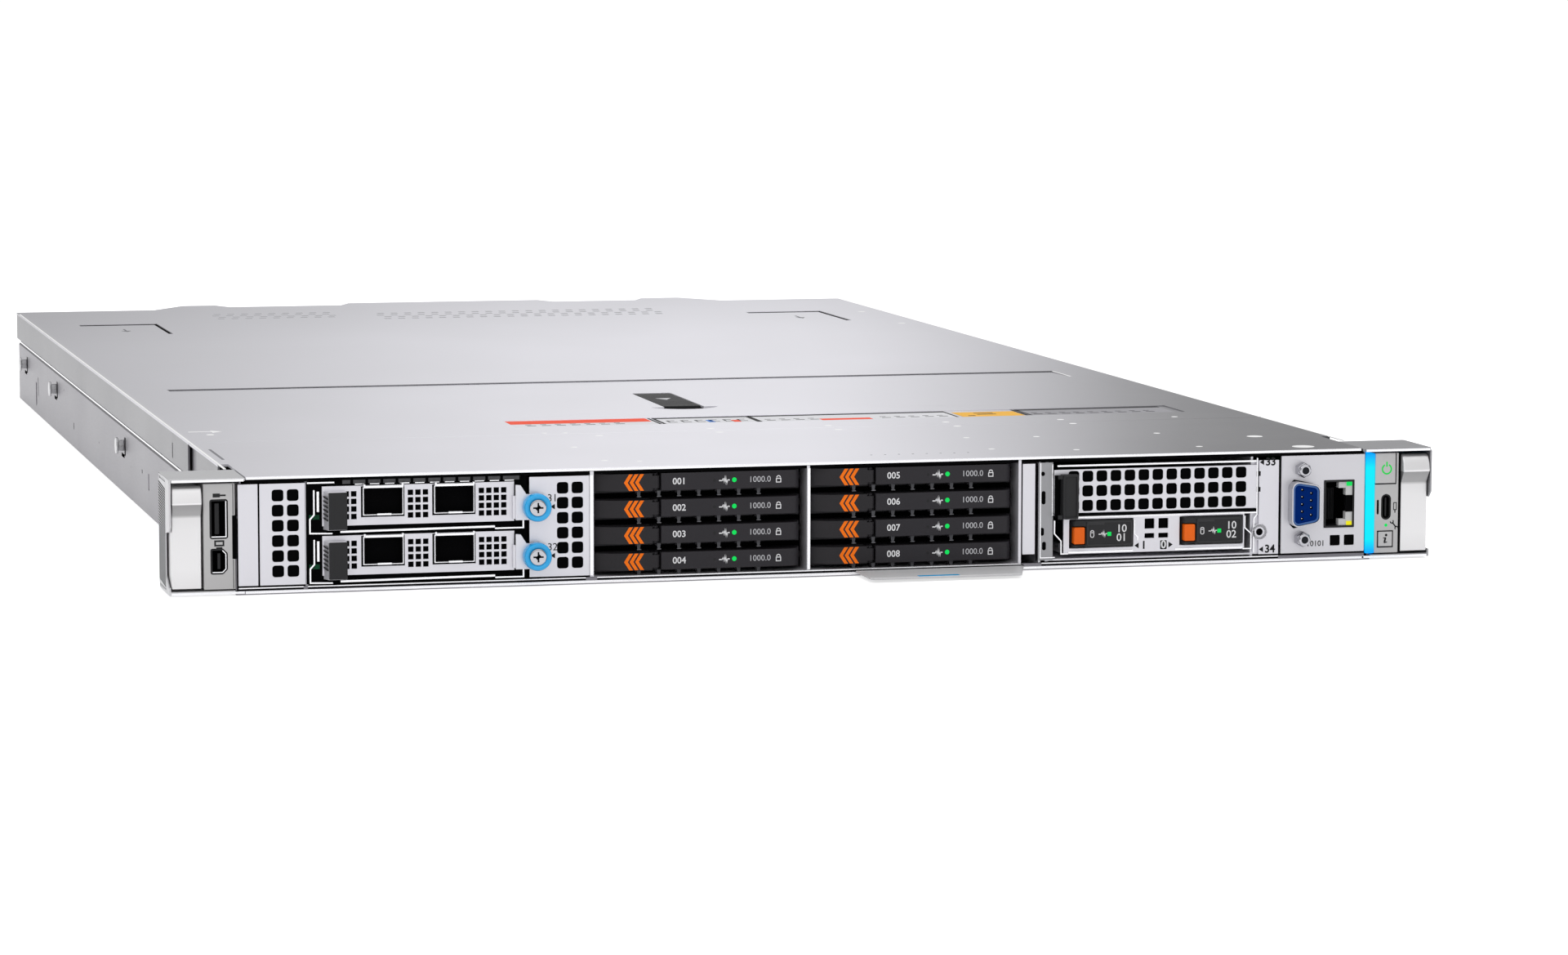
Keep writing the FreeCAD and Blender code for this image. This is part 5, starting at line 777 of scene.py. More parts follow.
# ---------------- repeated shapes
class Pattern(Tree):
    """Geometry Nodes group with named inputs for its sizes."""

    def __init__(self, name: str, inputs: Sequence[tuple[str, str]]) -> None:
        super().__init__(bpy.data.node_groups.new(name, "GeometryNodeTree"))
        face = self.tree.interface
        face.new_socket("Geometry", in_out="INPUT", socket_type="NodeSocketGeometry")
        for label, kind in inputs:
            face.new_socket(label, in_out="INPUT", socket_type=kind)
        face.new_socket("Geometry", in_out="OUTPUT", socket_type="NodeSocketGeometry")
        self.entry = self.node("NodeGroupInput")

    def given(self, name: str) -> Wire:
        """One of the group's inputs."""
        return Wire(self, self.entry.outputs[name])

    def grid(self) -> Wire:
        """Points in columns and rows, spaced by two step vectors from a first place."""
        columns = self.given("Columns")
        points = self.wire("GeometryNodePoints", None, {"Count": columns * self.given("Rows")})
        index = self.wire("GeometryNodeInputIndex")
        across = self.wire("ShaderNodeVectorMath", {"operation": "SCALE"},
                           {0: self.given("Step"), "Scale": index % columns})
        down = self.wire("ShaderNodeVectorMath", {"operation": "SCALE"},
                         {0: self.given("Row Step"), "Scale": (index / columns).floor()})
        offset = self.wire("ShaderNodeVectorMath", {"operation": "ADD"}, {0: across, 1: down})
        place = self.wire("ShaderNodeVectorMath", {"operation": "ADD"}, {0: offset, 1: self.given("First")})
        return self.wire("GeometryNodeSetPosition", None, {"Geometry": points, "Position": place})

    @staticmethod
    def places(first: Point, counts: tuple[int, int], step: Point, row_step: Point,
               finish: Finish) -> dict[str, Any]:
        """Values of the grid's inputs and of the material."""
        return {"Columns": counts[0], "Rows": counts[1], "Step": Vector(step) * MM,
                "Row Step": Vector(row_step) * MM, "First": Vector(first) * MM + Vector((0, FRONT, 0)),
                "Material": finish.material()}

    def close(self, result: Wire) -> None:
        """Set the material and end the tree."""
        dressed = self.wire("GeometryNodeSetMaterial", None,
                            {"Geometry": result, "Material": self.given("Material")})
        self.node("NodeGroupOutput", None, {0: dressed})

    def run(self, piece: bpy.types.Object, values: dict[str, Any]) -> None:
        """Apply the group to a piece and keep the result as its plain mesh.

        Args:
            piece: Object whose mesh the group works on.
            values: Value for each named input.
        """
        modifier = piece.modifiers.new("pattern", "NODES")
        modifier.node_group = self.tree
        for item in self.tree.interface.items_tree:
            if item.in_out == "INPUT" and item.name in values:
                modifier[item.identifier] = values[item.name]
        graph = bpy.context.evaluated_depsgraph_get()
        mesh = bpy.data.meshes.new_from_object(piece.evaluated_get(graph))
        piece.modifiers.remove(modifier)
        piece.data = mesh


GRID_INPUTS = (("Columns", "NodeSocketInt"), ("Rows", "NodeSocketInt"), ("Step", "NodeSocketVector"),
               ("Row Step", "NodeSocketVector"), ("First", "NodeSocketVector"))


class Repeat(Pattern):
    """Repeats a small mesh over a grid of places."""

    def __init__(self) -> None:
        super().__init__("repeat_on_grid", GRID_INPUTS + (("Material", "NodeSocketMaterial"),))
        copies = self.wire("GeometryNodeInstanceOnPoints", None,
                           {"Points": self.grid(), "Instance": self.given("Geometry")})
        self.close(self.wire("GeometryNodeRealizeInstances", None, {0: copies}))

    def over(self, form: Form, name: str, finish: Finish, slot: str, body: str, first: Point,
             counts: tuple[int, int], step: Point, row_step: Point = (0, 0, 0)) -> None:
        """Make a piece of many copies of a form drawn about the origin.

        Args:
            form: The small shape, in millimetres about the origin.
            name: Name of the piece.
            finish: Its finish.
            slot: Material slot of the record.
            body: Name of the CAD body.
            first: Place of the first copy, in millimetres.
            counts: Copies along the step and along the row step.
            step: Millimetres from one copy to the next.
            row_step: Millimetres from one row to the next.
        """
        form.mesh.transform(Matrix.Scale(MM, 4))
        mesh = bpy.data.meshes.new(name)
        form.mesh.to_mesh(mesh)
        form.mesh.free()
        piece = place_mesh(name, mesh, finish)
        self.run(piece, self.places(first, counts, step, row_step, finish))
        attach(piece, body, slot)


class Perforate(Pattern):
    """Cuts a grid of rounded square holes through a sheet that faces the front."""

    def __init__(self) -> None:
        super().__init__("perforate_sheet", GRID_INPUTS + (
            ("Hole Width", "NodeSocketFloat"), ("Hole Height", "NodeSocketFloat"),
            ("Corner", "NodeSocketFloat"), ("Depth", "NodeSocketFloat"), ("Material", "NodeSocketMaterial")))
        outline = self.wire("GeometryNodeCurvePrimitiveQuadrilateral", None,
                            {"Width": self.given("Hole Width"), "Height": self.given("Hole Height")})
        rounded = self.wire("GeometryNodeFilletCurve", {"mode": "POLY"},
                            {"Curve": outline, "Radius": self.given("Corner"), "Count": 3})
        face = self.wire("GeometryNodeFillCurve", {"mode": "NGONS"}, {"Curve": rounded})
        pushed = self.node("GeometryNodeExtrudeMesh", None,
                           {"Mesh": face, "Offset Scale": self.given("Depth"), "Individual": False})
        back = self.wire("GeometryNodeFlipFaces", None, {0: face})
        closed = self.node("GeometryNodeJoinGeometry")
        self.tree.links.new(pushed.outputs[0], closed.inputs[0])
        self.tree.links.new(back.socket, closed.inputs[0])
        welded = self.wire("GeometryNodeMergeByDistance", None,
                           {"Geometry": Wire(self, closed.outputs[0]), "Distance": 0.000001})
        upright = self.wire("GeometryNodeTransform", None,
                            {"Geometry": welded, "Rotation": (math.radians(90), 0, 0)})
        plugs = self.wire("GeometryNodeInstanceOnPoints", None,
                          {"Points": self.grid(), "Instance": upright})
        plugs = self.wire("GeometryNodeRealizeInstances", None, {0: plugs})
        holed = self.wire("GeometryNodeMeshBoolean", {"operation": "DIFFERENCE", "solver": "EXACT"},
                          {"Mesh 1": self.given("Geometry"), "Mesh 2": plugs})
        self.close(holed)

    def cut(self, piece: bpy.types.Object, finish: Finish, first: Point, counts: tuple[int, int],
            pitch: Flat, hole: float, corner: float, depth: float = 6.0) -> None:
        """Cut the holes.

        Args:
            piece: The sheet.
            finish: Its finish.
            first: Middle of the first hole at the plugs' rear end, in millimetres.
            counts: Columns and rows.
            pitch: Distance between columns and between rows.
            hole: Width and height of a hole.
            corner: Radius of its corners.
            depth: Length of the plugs that cut the holes.
        """
        values = self.places(first, counts, (pitch[0], 0, 0), (0, 0, pitch[1]), finish)
        self.run(piece, values | {"Hole Width": hole * MM, "Hole Height": hole * MM,
                                  "Corner": corner * MM, "Depth": depth * MM})


REPEAT = Repeat()
PERFORATE = Perforate()


# ---------------- pieces
def attach(piece: bpy.types.Object, body: str, slot: str, *replaced: str) -> None:
    """Let a finished piece ride on a body.

    Args:
        piece: The object, in place.
        body: Name of the CAD body.
        slot: Material slot of the record; not used.
        replaced: CAD nodes that the piece stands for.
    """
    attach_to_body(piece, body)
    if replaced:
        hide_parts(*replaced)
    LOG.info("piece %s on %s", piece.name, body)


def softened(node: str, finish: Finish, slot: str, width: float = 0.2, segments: int = 2,
             skim: float = 0.0) -> None:
    """Copy of a CAD node with rounded edges, shown in its place.

    Args:
        node: Name of the CAD node.
        finish: Finish of the copy.
        slot: Material slot of the record.
        width: Width of the rounded edges in millimetres.
        segments: Facets across an edge.
        skim: Millimetres taken off its top face, which leave room for print.
    """
    source = frame["nodes"][node]
    draft = bmesh.new()
    draft.from_mesh(source.data)
    bmesh.ops.remove_doubles(draft, verts=draft.verts, dist=1e-6)
    bmesh.ops.join_triangles(draft, faces=draft.faces, angle_face_threshold=math.radians(0.5),
                             angle_shape_threshold=math.pi)
    for vert in draft.verts:
        if skim and vert.co.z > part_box(node)[1].z - 1e-5:
            vert.co.z -= skim * MM
    mesh = bpy.data.meshes.new(node + "_shown")
    draft.to_mesh(mesh)
    draft.free()
    piece = place_mesh(node + "_shown", mesh, finish)
    round_edges(piece, width, segments)
    attach(piece, source["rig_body"], slot, node)


def dressed(node: str, finish: Finish) -> None:
    """Give a CAD node that stays as it is a better material."""
    mesh = frame["nodes"][node].data
    mesh.materials.clear()
    mesh.materials.append(finish.material())


def lettering(name: str, text: str, size: float, place: Point, finish: Finish, slot: str,
              body: str = "chassis", spread: float = 0.0) -> None:
    """Plain numerals as a thin printed mesh that faces the front.

    Args:
        name: Name of the piece.
        text: The numerals.
        size: Height of the type in millimetres.
        place: Middle of the text in millimetres.
        finish: Finish of the ink.
        slot: Material slot of the record.
        body: Name of the CAD body.
        spread: How far each stroke is thickened, in millimetres.
    """
    curve = bpy.data.curves.new(name, "FONT")
    curve.body = text
    curve.size = size
    curve.align_x = "CENTER"
    curve.align_y = "CENTER"
    curve.extrude = PRINT_THICK / 2
    curve.offset = spread
    curve.resolution_u = 3
    draft = bpy.data.objects.new(name + "_draft", curve)
    bpy.context.scene.collection.objects.link(draft)
    graph = bpy.context.evaluated_depsgraph_get()
    mesh = bpy.data.meshes.new_from_object(draft.evaluated_get(graph))
    bpy.data.objects.remove(draft)
    shift = Matrix.Translation(Vector(place) * MM + Vector((0, FRONT, 0)))
    mesh.transform(shift @ Matrix.Rotation(math.radians(90), 4, "X") @ Matrix.Scale(MM, 4))
    attach(place_mesh(name, mesh, finish), body, slot)


# ---------------- casing
@dataclass
class Chassis:
    """Base, fixed front plate, rear wall and the painted highlights on the folded edges round the bays."""

    lip_depth: Flat = (-0.06, 0.3)
    lip: Flat = (-213.0, 213.0)
    bays: tuple[Flat, ...] = ((-216.0, -192.4), (-190.9, -88.4), (-84.2, 78.0), (86.0, 180.0))
    wall_dimples: tuple[Flat, ...] = ((182, 24.2), (305, 14.0), (420, 12.5), (560, 23.0), (640, 12.0))
    wall_slots: tuple[Point, ...] = (
        (60.0, 21.0, 8.0), (64.0, 21.0, 8.0), (104.0, 20.0, 2.4), (171.0, 34.8, 6.0), (268.0, 16.0, 1.6),
        (520.0, 10.0, 3.0), (676.0, 14.0, 9.0))

    def build(self) -> None:
        """Dress the sheet parts and add painted edge highlights, glints on the dimples and the marks of the
        side walls.
        """
        softened("base_pan", BODY, "chassis_steel", 0.25)
        softened("rear_panel", BODY, "chassis_steel", 0.15)
        softened("front_brace", COVER, "cover_steel", 0.08, skim=SKIM)
        softened("rail_studs", STUD, "stud_steel", 0.2)
        self.front_edges()
        self.brace_marks()
        self.wall_marks()

    def front_edges(self) -> None:
        """Painted highlights on the hems of the base's lip and of the fixed plate, with painted shade in the
        gaps behind them.
        """
        top = span("front_brace")[1].z
        hem = Form().block(self.lip, self.lip_depth, (top - 1.15, top - 0.15))
        hem.block((-213.5, 214.6), self.lip_depth, (0.35, 1.35))
        for left, right in self.bays:
            hem.block((left, right), self.lip_depth, (2.15, 2.6))
        hem.piece("front_hems", HIGHLIGHT_METAL, "chassis_steel", edge=0.12)
        gap = Form().block(self.lip, (0.4, 1.4), (40.45, top - 1.25))
        for left, right in self.bays:
            gap.block((left, right), (self.lip_depth[0] + 0.03, 0.3), (1.5, 2.1))
        gap.piece("front_gaps", VOID, "chassis_steel")

    def brace_marks(self) -> None:
        """Painted glints on the pressed dimples, rivet heads and side hems of the fixed front plate, and its
        grey dots and slot.
        """
        top = span("front_brace")[1].z
        form = Form().dimples((
            (-58.7, 112, 1.6), (-10.2, 114, 1.6), (37.7, 113, 1.6), (87, 115, 1.6), (134.7, 114, 1.6),
            (193.4, 10.4, 4.4), (188.2, 50.2, 3.2), (155, 70.5, 1.4), (154.8, 19.6, 1.4), (-77.2, 72.4, 1.3),
            (-76.1, 23.8, 1.3), (77.7, 71.3, 1.3), (105.3, 68.9, 1.3), (75, 28.9, 1.3), (105.6, 19.2, 1.3),
            (-64, 18.5, 1.0)), top, 20)
        form.hems(top, (28.0, 121.0)).piece("brace_dimples", GLINT, "cover_steel")
        dots = Form()
        for index in range(8):
            dots.turned([(-0.09, 0.5), (-0.02, 0.4)], (25 + 5.4 * index, 19, top), "z", 8)
        dots.block((-213.3, -212.2), (59, 96), (top - 0.09, top - 0.05))
        dots.piece("brace_dots", MARK_GREY, "cover_steel")

    def wall_marks(self) -> None:
        """Painted highlights on the hem lines and dimples, dark slots, and painted shadows of the rail studs
        on the left side wall, mirrored on the right.
        """
        wall = span("base_pan")[1].x - 0.02
        form, dark = Form(), Form()
        for side in (-1, 1):
            x = side * wall
            outer = (x - 0.1 * side, x + 0.02 * side)
            form.block(outer, (126.0, 765.0), (28.8, 29.5))
            form.block(outer, (683.0, 684.6), (4.6, 15.2))
            profile = [(-0.05 * side, 1.3), (0.015 * side, 1.1), (0.02 * side, 0.4)]
            for depth, z in self.wall_dimples:
                form.turned(profile, (x, depth, z), "x", 14)
            for depth, z, tall in self.wall_slots:
                dark.block(outer, (depth - 0.9, depth + 0.9), (z - tall / 2, z + tall / 2))
            # Painted shadows beside and under the rail studs.
            for depth in (331.0, 595.0, 733.0):
                dark.block(outer, (depth - 7.5, depth - 3.6), (16.4, 24.2))
                dark.block(outer, (depth - 3.6, depth + 6.5), (15.2, 16.8))
        form.piece("wall_marks", HIGHLIGHT_METAL, "chassis_steel")
        dark.piece("wall_slots", VOID, "chassis_steel")


@dataclass
class Cover:
    """Sliding cover with its labels, latch and rear tabs."""

    recess: float = 0.5
    rows: Flat = (151, 176.4)
    vent: Flat = (3.4, 4.5)
    vent_pitch: float = 7
    pads: tuple[Edges, ...] = ((-195.0, -156.5, 629.0, 693.0), (146.0, 185.6, 635.0, 699.0))
    vents: tuple[Edges, ...] = ((-123, -60, 712, 750), (-41, 108, 696, 740))

    def build(self) -> None:
        """Dress the cover and its latch, and lay the labels in their recess."""
        softened("top_cover", COVER, "cover_steel", 0.08, skim=SKIM)
        softened("cover_latch", LATCH, "latch_plastic", 0.4, 3)
        self.labels()
        self.marks()
        self.latch_marks()

    def labels(self) -> None:
        """Generic service labels: pale strips with plain bars and ticks."""
        floor = span("top_cover")[1].z - self.recess
        paper = (floor, floor + 0.1)
        ink = (floor + 0.1, floor + 0.14)
        strips = Form()
        for left, right in ((-83.4, -24.0), (-22.5, 15.0), (16.0, 98.0)):
            strips.block((left, right), self.rows, paper)
        strips.piece("label_strips", PAPER, "cover_steel", "cover")
        far = Form().block((129.0, 191.0), self.rows, paper)
        far.piece("label_far", DIM_PAPER, "cover_steel", "cover")
        Form().block((-4.0, -1.4), (156.0, 164.0), ink).piece("label_tick", BLUE_INK, "cover_steel", "cover")
        Form().block((101, 127), (152, 171), paper).piece("label_amber", AMBER, "cover_steel", "cover")
        red = Form().block((-83.4, -26.0), (164.0, 176.4), ink).block((42, 63), (151.4, 159.0), ink)
        red.block((6.0, 9.0), (155.0, 162.0), ink).piece("label_bars", RED_INK, "cover_steel", "cover")
        dark = Form()
        for left in (-25.2, -23.4, 15.2, 16.2, 98.0, 127.6, 129.2):
            dark.block((left, left + 1.0), self.rows, ink)
        for left, right in ((-22.5, 15.0), (16.0, 98.0), (129.0, 191.0)):
            dark.block((left, right), (172.6, 176.4), ink)
        for index in range(6):
            x = -20 + 5.8 * index
            dark.block((x, x + 3.4), (158, 159), ink).block((x, x + 3.4), (164, 165), ink)
            dark.block((x, x + 0.7), (159, 164), ink)
        for left, count in ((-78, 7), (20, 4), (68, 5), (132, 9)):
            for index in range(count):
                dark.block((left + 6 * index, left + 6 * index + 3.6), (157, 158.2), ink)
                dark.block((left + 6 * index, left + 6 * index + 2.4), (161, 162.0), ink)
        dark.block((109, 117), (165.4, 167), ink).block((109, 117), (160.6, 162.2), ink)
        dark.block((104, 107), (156, 157.6), ink).piece("label_print", DARK_INK, "cover_steel", "cover")

    def marks(self) -> None:
        """Painted shadows in the pads, pressed arrows, painted shade along the crease, rear vents, and
        painted glints on the small rivets, marks and hems of the cover.
        """
        top = span("top_cover")[1].z
        skin = (top - SKIM - 0.02, top - SKIM + 0.03)
        deep = (top - 0.52, top - 0.44)
        shade = Form()
        for left, right, front, rear in self.pads:
            shade.block((left, right), (rear - 3.4, rear - 0.05), deep)
            shade.block((right - 1.5, right - 0.05), (front, rear), deep)
        shade.piece("pad_shadows", VOID, "cover_steel", "cover")
        sign, faint = Form(), Form()
        for x, depth in ((-176, 660), (166, 667)):
            sign.block((x - 0.5, x + 0.5), (depth - 4, depth + 6), deep)
            sign.facing_top([(x - 2.4, depth - 4), (x, depth - 10), (x + 2.4, depth - 4)], deep)
        # Painted shade along the pressed crease.
        sign.block((-197.2, 197.2), (338.0, 340.2), skin)
        for left, right, front, rear in self.vents:
            columns = int((right - left) / self.vent_pitch)
            for row in range(4):
                depth = front + (rear - front) * row / 4
                for index in range(columns):
                    x = left + self.vent_pitch * index + 2 * (row % 2)
                    faint.block((x, x + self.vent[0]), (depth, depth + self.vent[1]), skin)
        faint.piece("cover_vents", FAINT, "cover_steel", "cover")
        sign.piece("cover_signs", MARK_GREY, "cover_steel", "cover")
        # Painted glints on dimples, rivets, the crease's end, a pressed arrow and the hems.
        rivets = Form().dimples((
            (-69.6, 124.9, 1.1), (-77.5, 126.2, 1.1), (183, 130.6, 1.4), (204.8, 687, 2.0), (204.7, 611, 2.0),
            (-10.2, 129, 1.5), (37.7, 128.7, 1.5), (87, 131.4, 1.5), (134.7, 130.5, 1.5), (-205.0, 150, 1.6)),
            top, 14)
        flat = (top - 0.09, top - 0.03)
        rivets.block((196.6, 197.6), (312.0, 338.0), flat).block((-212.0, -203.0), (161.0, 162.6), flat)
        rivets.facing_top([(-203.0, 165.0), (-199.0, 161.0), (-203.0, 157.0)], flat)
        rivets.hems(top, (122.0, 766.0)).piece("cover_rivets", GLINT, "cover_steel", "cover")

    def latch_marks(self) -> None:
        """Raised ribs and a plain arrow on the latch lever."""
        low, high = span("cover_latch")
        rib = Form().block((low.x + 2, high.x - 2), (-0.5, 0.5), (-0.02, 0.12))
        REPEAT.over(rib, "latch_ribs", LATCH, "latch_plastic", "cover_latch", (0, low.y + 8, high.z - 0.1),
                    (5, 1), (0, 3.0, 0))
        outline = [(-3.4, low.y + 34), (0, low.y + 27), (3.4, low.y + 34)]
        arrow = Form().facing_top(outline, (high.z - 0.02, high.z + 0.04))
        arrow.piece("latch_arrow", GREY_INK, "latch_plastic", "cover_latch")


@dataclass
class Ear:
    """Rack ear with its release handle and the ribbed grip on its outer wall."""

    side: Side
    ribs: int = 36
    pitch: float = 1.0
    lean: float = 1.3
    stroke: float = 0.56
    field: Flat = (9.2, 27.0)

    def build(self) -> None:
        """Dress the ear and its handle, and set the ribs into the grip field."""
        name = self.side.name.lower()
        # The far ear takes the darker copy of the casting as painted shade.
        softened(name + "_ear", EAR_METAL if self.side is Side.LEFT else PAINTED_SHADE_METAL, "ear_metal", 0.3, 3)
        softened(name + "_handle", HANDLE, "handle_silver", 0.45, 3)
        outer = span(name + "_ear")
        wall = max(abs(outer[0].x), abs(outer[1].x))
        sign = self.side.value
        near, far = self.field
        outline = [(near, 0.0), (far, self.lean), (far, self.lean + self.stroke), (near, self.stroke)]
        rib = Form().facing_side(outline, (sign * (wall - 0.06), sign * (wall - 0.02)))
        REPEAT.over(rib, name + "_grip_ribs", CROSS, "ear_metal", "chassis", (0, 0, 2.6), (1, self.ribs),
                    (0, 0, 0), (0, 0, self.pitch))
        across = (sign * (wall - 0.45), sign * (wall - 0.07))
        floor = Form().block(across, (near - 0.6, far + 0.4), (2.2, 40.6))
        floor.piece(name + "_grip_floor", EAR_METAL, "ear_metal")
        # Painted highlights along the ear's lower front edge and upper edge.
        edge = Form().block((sign * 213.8, sign * (wall - 0.9)), (-0.06, 0.2), (0.5, 1.35))
        edge.block((sign * 214.2, sign * (wall - 0.9)), (-2.42, -2.2), (41.4, 42.3))
        edge.piece(name + "_ear_edges", HIGHLIGHT_METAL, "ear_metal")


# ---------------- control panels
@dataclass
class LeftPanel:
    """Grey panel with the USB and display sockets."""

    usb: Edges = (-226.0, -219.8, 20.8, 34.7)
    display: Edges = (-225.8, -220.0, 8.0, 16.9)

    def build(self) -> None:
        """Dress the panel and rebuild its sockets."""
        softened("left_control_panel", PANEL, "panel_grey", 0.2)
        left, right, low, high = self.usb
        outline = filleted(rectangle(left, right, low, high), 0.7)
        shell = Form().frame(outline, 0.42, (-0.1, 11.6))
        left, right, low, high = self.display
        slope = 1.6
        chamfered = filleted([(left, low), (right - slope, low), (right, low + slope), (right, high - slope),
                              (right - slope, high), (left, high)], 0.5)
        shell.frame(chamfered, 0.42, (-0.1, 11.6))
        type_c = filleted(rectangle(221.6, 225.1, 15.2, 24.6), 1.72, 6)
        shell.frame(type_c, 0.3, (-0.1, 8.0))
        shell.piece("socket_shells", JACK_BLACK, "socket_metal", "chassis", "panel_sockets")
        self.rims()
        self.insides(outline, chamfered, type_c)
        self.signs()

    def rims(self) -> None:
        """Painted highlights on the inner rims at the right and the bottom of the sockets."""
        left, right, low, high = self.usb
        proud = (-0.16, 0.4)
        rim = Form().strip([(right - 0.55, high - 0.5), (right - 0.55, low + 0.55), (left + 0.4, low + 0.55)],
                           0.32, proud)
        left, right, low, high = self.display
        rim.strip([(right - 1.7, high - 0.5), (right - 0.5, high - 1.75), (right - 0.5, low + 1.75),
                   (right - 1.7, low + 0.5), (left + 0.5, low + 0.5)], 0.3, proud)
        rim.piece("socket_rims", HIGHLIGHT_METAL, "socket_metal")

    def insides(self, *outlines: Sequence[Flat]) -> None:
        """Unlit bottoms, tongues and the dark seams round the sockets."""
        dark = Form()
        for outline in outlines:
            dark.facing_front(inset(outline, 0.5), (3.2, 3.6))
            dark.sleeve(inset(outline, -0.22), inset(outline, -0.02), (-0.03, 0.2))
        dark.piece("socket_depths", VOID, "socket_metal")
        tongues = Form().block((-224.3, -222.7), (0.7, 3.4), (22.2, 33.4))
        tongues.block((-223.4, -222.3), (0.9, 3.4), (9.6, 15.3))
        tongues.block((223.0, 223.7), (0.5, 3.4), (16.3, 23.5))
        tongues.piece("socket_tongues", BLACK, "socket_metal", edge=0.12)

    def signs(self) -> None:
        """Plain pictograms of a plug and a screen, and the side strip's dark gap."""
        depth, hollow = (-0.04, 0.02), (-0.04, 0.4)
        signs = Form().block((-225.0, -222.4), depth, (35.6, 37.0))
        signs.block((-222.4, -220.3), depth, (36.0, 36.6))
        signs.frame(rectangle(-224.6, -221.0, 17.9, 20.1), 0.6, depth)
        signs.block((-223.9, -221.7), depth, (17.1, 17.6)).piece("left_panel_signs", BLACK, "panel_grey")
        Form().block((-218.1, -216.5), hollow, (13.2, 29.0)).piece("left_panel_gap", VOID, "panel_grey")
        strip = Form()
        for heights in ((29.2, 40.3), (2.5, 13.0)):
            strip.block((-217.9, -217.6), hollow, heights)
        strip.piece("left_panel_seam", GROOVE, "panel_grey")


@dataclass
class RightPanel:
    """Grey panel with the power key, type-C socket, lamp and info key."""

    power_centre: Flat = (223.4, 34.4)

    def build(self) -> None:
        """Dress the panel, its keys and the light bar."""
        softened("right_control_panel", PANEL, "panel_grey", 0.2)
        for key in ("power_button", "info_button"):
            softened(key, KEY, "panel_grey", 0.2)
        low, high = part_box("light_bar")
        bar = Lit("light_bar_glow", srgb(0, 226, 255), 0.4, 1.1, srgb(0, 160, 255), low.z, high.z)
        softened("light_bar", bar, "light_guide", 0.4)
        self.signs()
        self.marks()

    def signs(self) -> None:
        """Power sign and info letter, which ride on their keys."""
        face = span("power_button")[0].y
        depth = (face - 0.04, face + 0.02)
        x, z = self.power_centre
        power = Form().ring(self.power_centre, 2.1, 1.5, depth, 118, 304)
        power.bar((x, z + 0.9), (x, z + 2.8), 0.6, depth)
        power.piece("power_sign", GREEN_MARK, "panel_grey", "power_button")
        low, high = span("info_button")
        x, z = (low.x + high.x) / 2, (low.z + high.z) / 2
        depth = (low.y - 0.04, low.y + 0.02)
        letter = Form().bar((x - 0.35, z - 1.5), (x + 0.1, z + 0.6), 0.7, depth)
        letter.bar((x - 0.85, z + 0.4), (x + 0.2, z + 0.5), 0.35, depth)
        letter.bar((x - 0.45, z - 1.45), (x + 0.75, z - 1.1), 0.35, depth)
        letter.turned([(depth[0], 0.5), (depth[1], 0.5)], (x + 0.35, 0, z + 1.5), "y", 14)
        letter.piece("info_sign", DARK_INK, "panel_grey", "info_button")

    def marks(self) -> None:
        """Key seams, reset slot, lamp and the spanner sign of the panel."""
        seams = Form().block((227.05, 227.35), PRINT, (29.0, 40.4))
        seams.block((218.8, 227.35), PRINT, (28.55, 28.85))
        seams.frame(rectangle(219.85, 226.35, 4.35, 10.85), 0.28, PRINT)
        seams.block((228.2, 229.2), (0.2, 1.0), (2.6, 40.4))
        seams.facing_front(filleted(rectangle(219.6, 220.4, 17.1, 22.7), 0.38), PRINT)
        seams.piece("right_panel_seams", VOID, "panel_grey")
        lamp = Form().turned([(-0.06, 0.1), (-0.06, 0.6), (0.3, 0.65)], (223.4, 0, 12.9), "y", 20)
        lamp.piece("panel_lamp", GREEN_LAMP, "light_guide")
        tool = Form().bar((226.0, 13.9), (227.5, 12.0), 0.5, PRINT)
        for centre, start in (((225.8, 14.2), 170), ((227.7, 11.7), -10)):
            tool.ring(centre, 0.8, 0.4, PRINT, start, 240, 12)
        tool.frame(rectangle(226.3, 227.7, 18.6, 21.6), 0.3, PRINT).block((226.8, 227.2), PRINT, (17.6, 18.6))
        tool.piece("right_panel_signs", DARK_INK, "panel_grey")


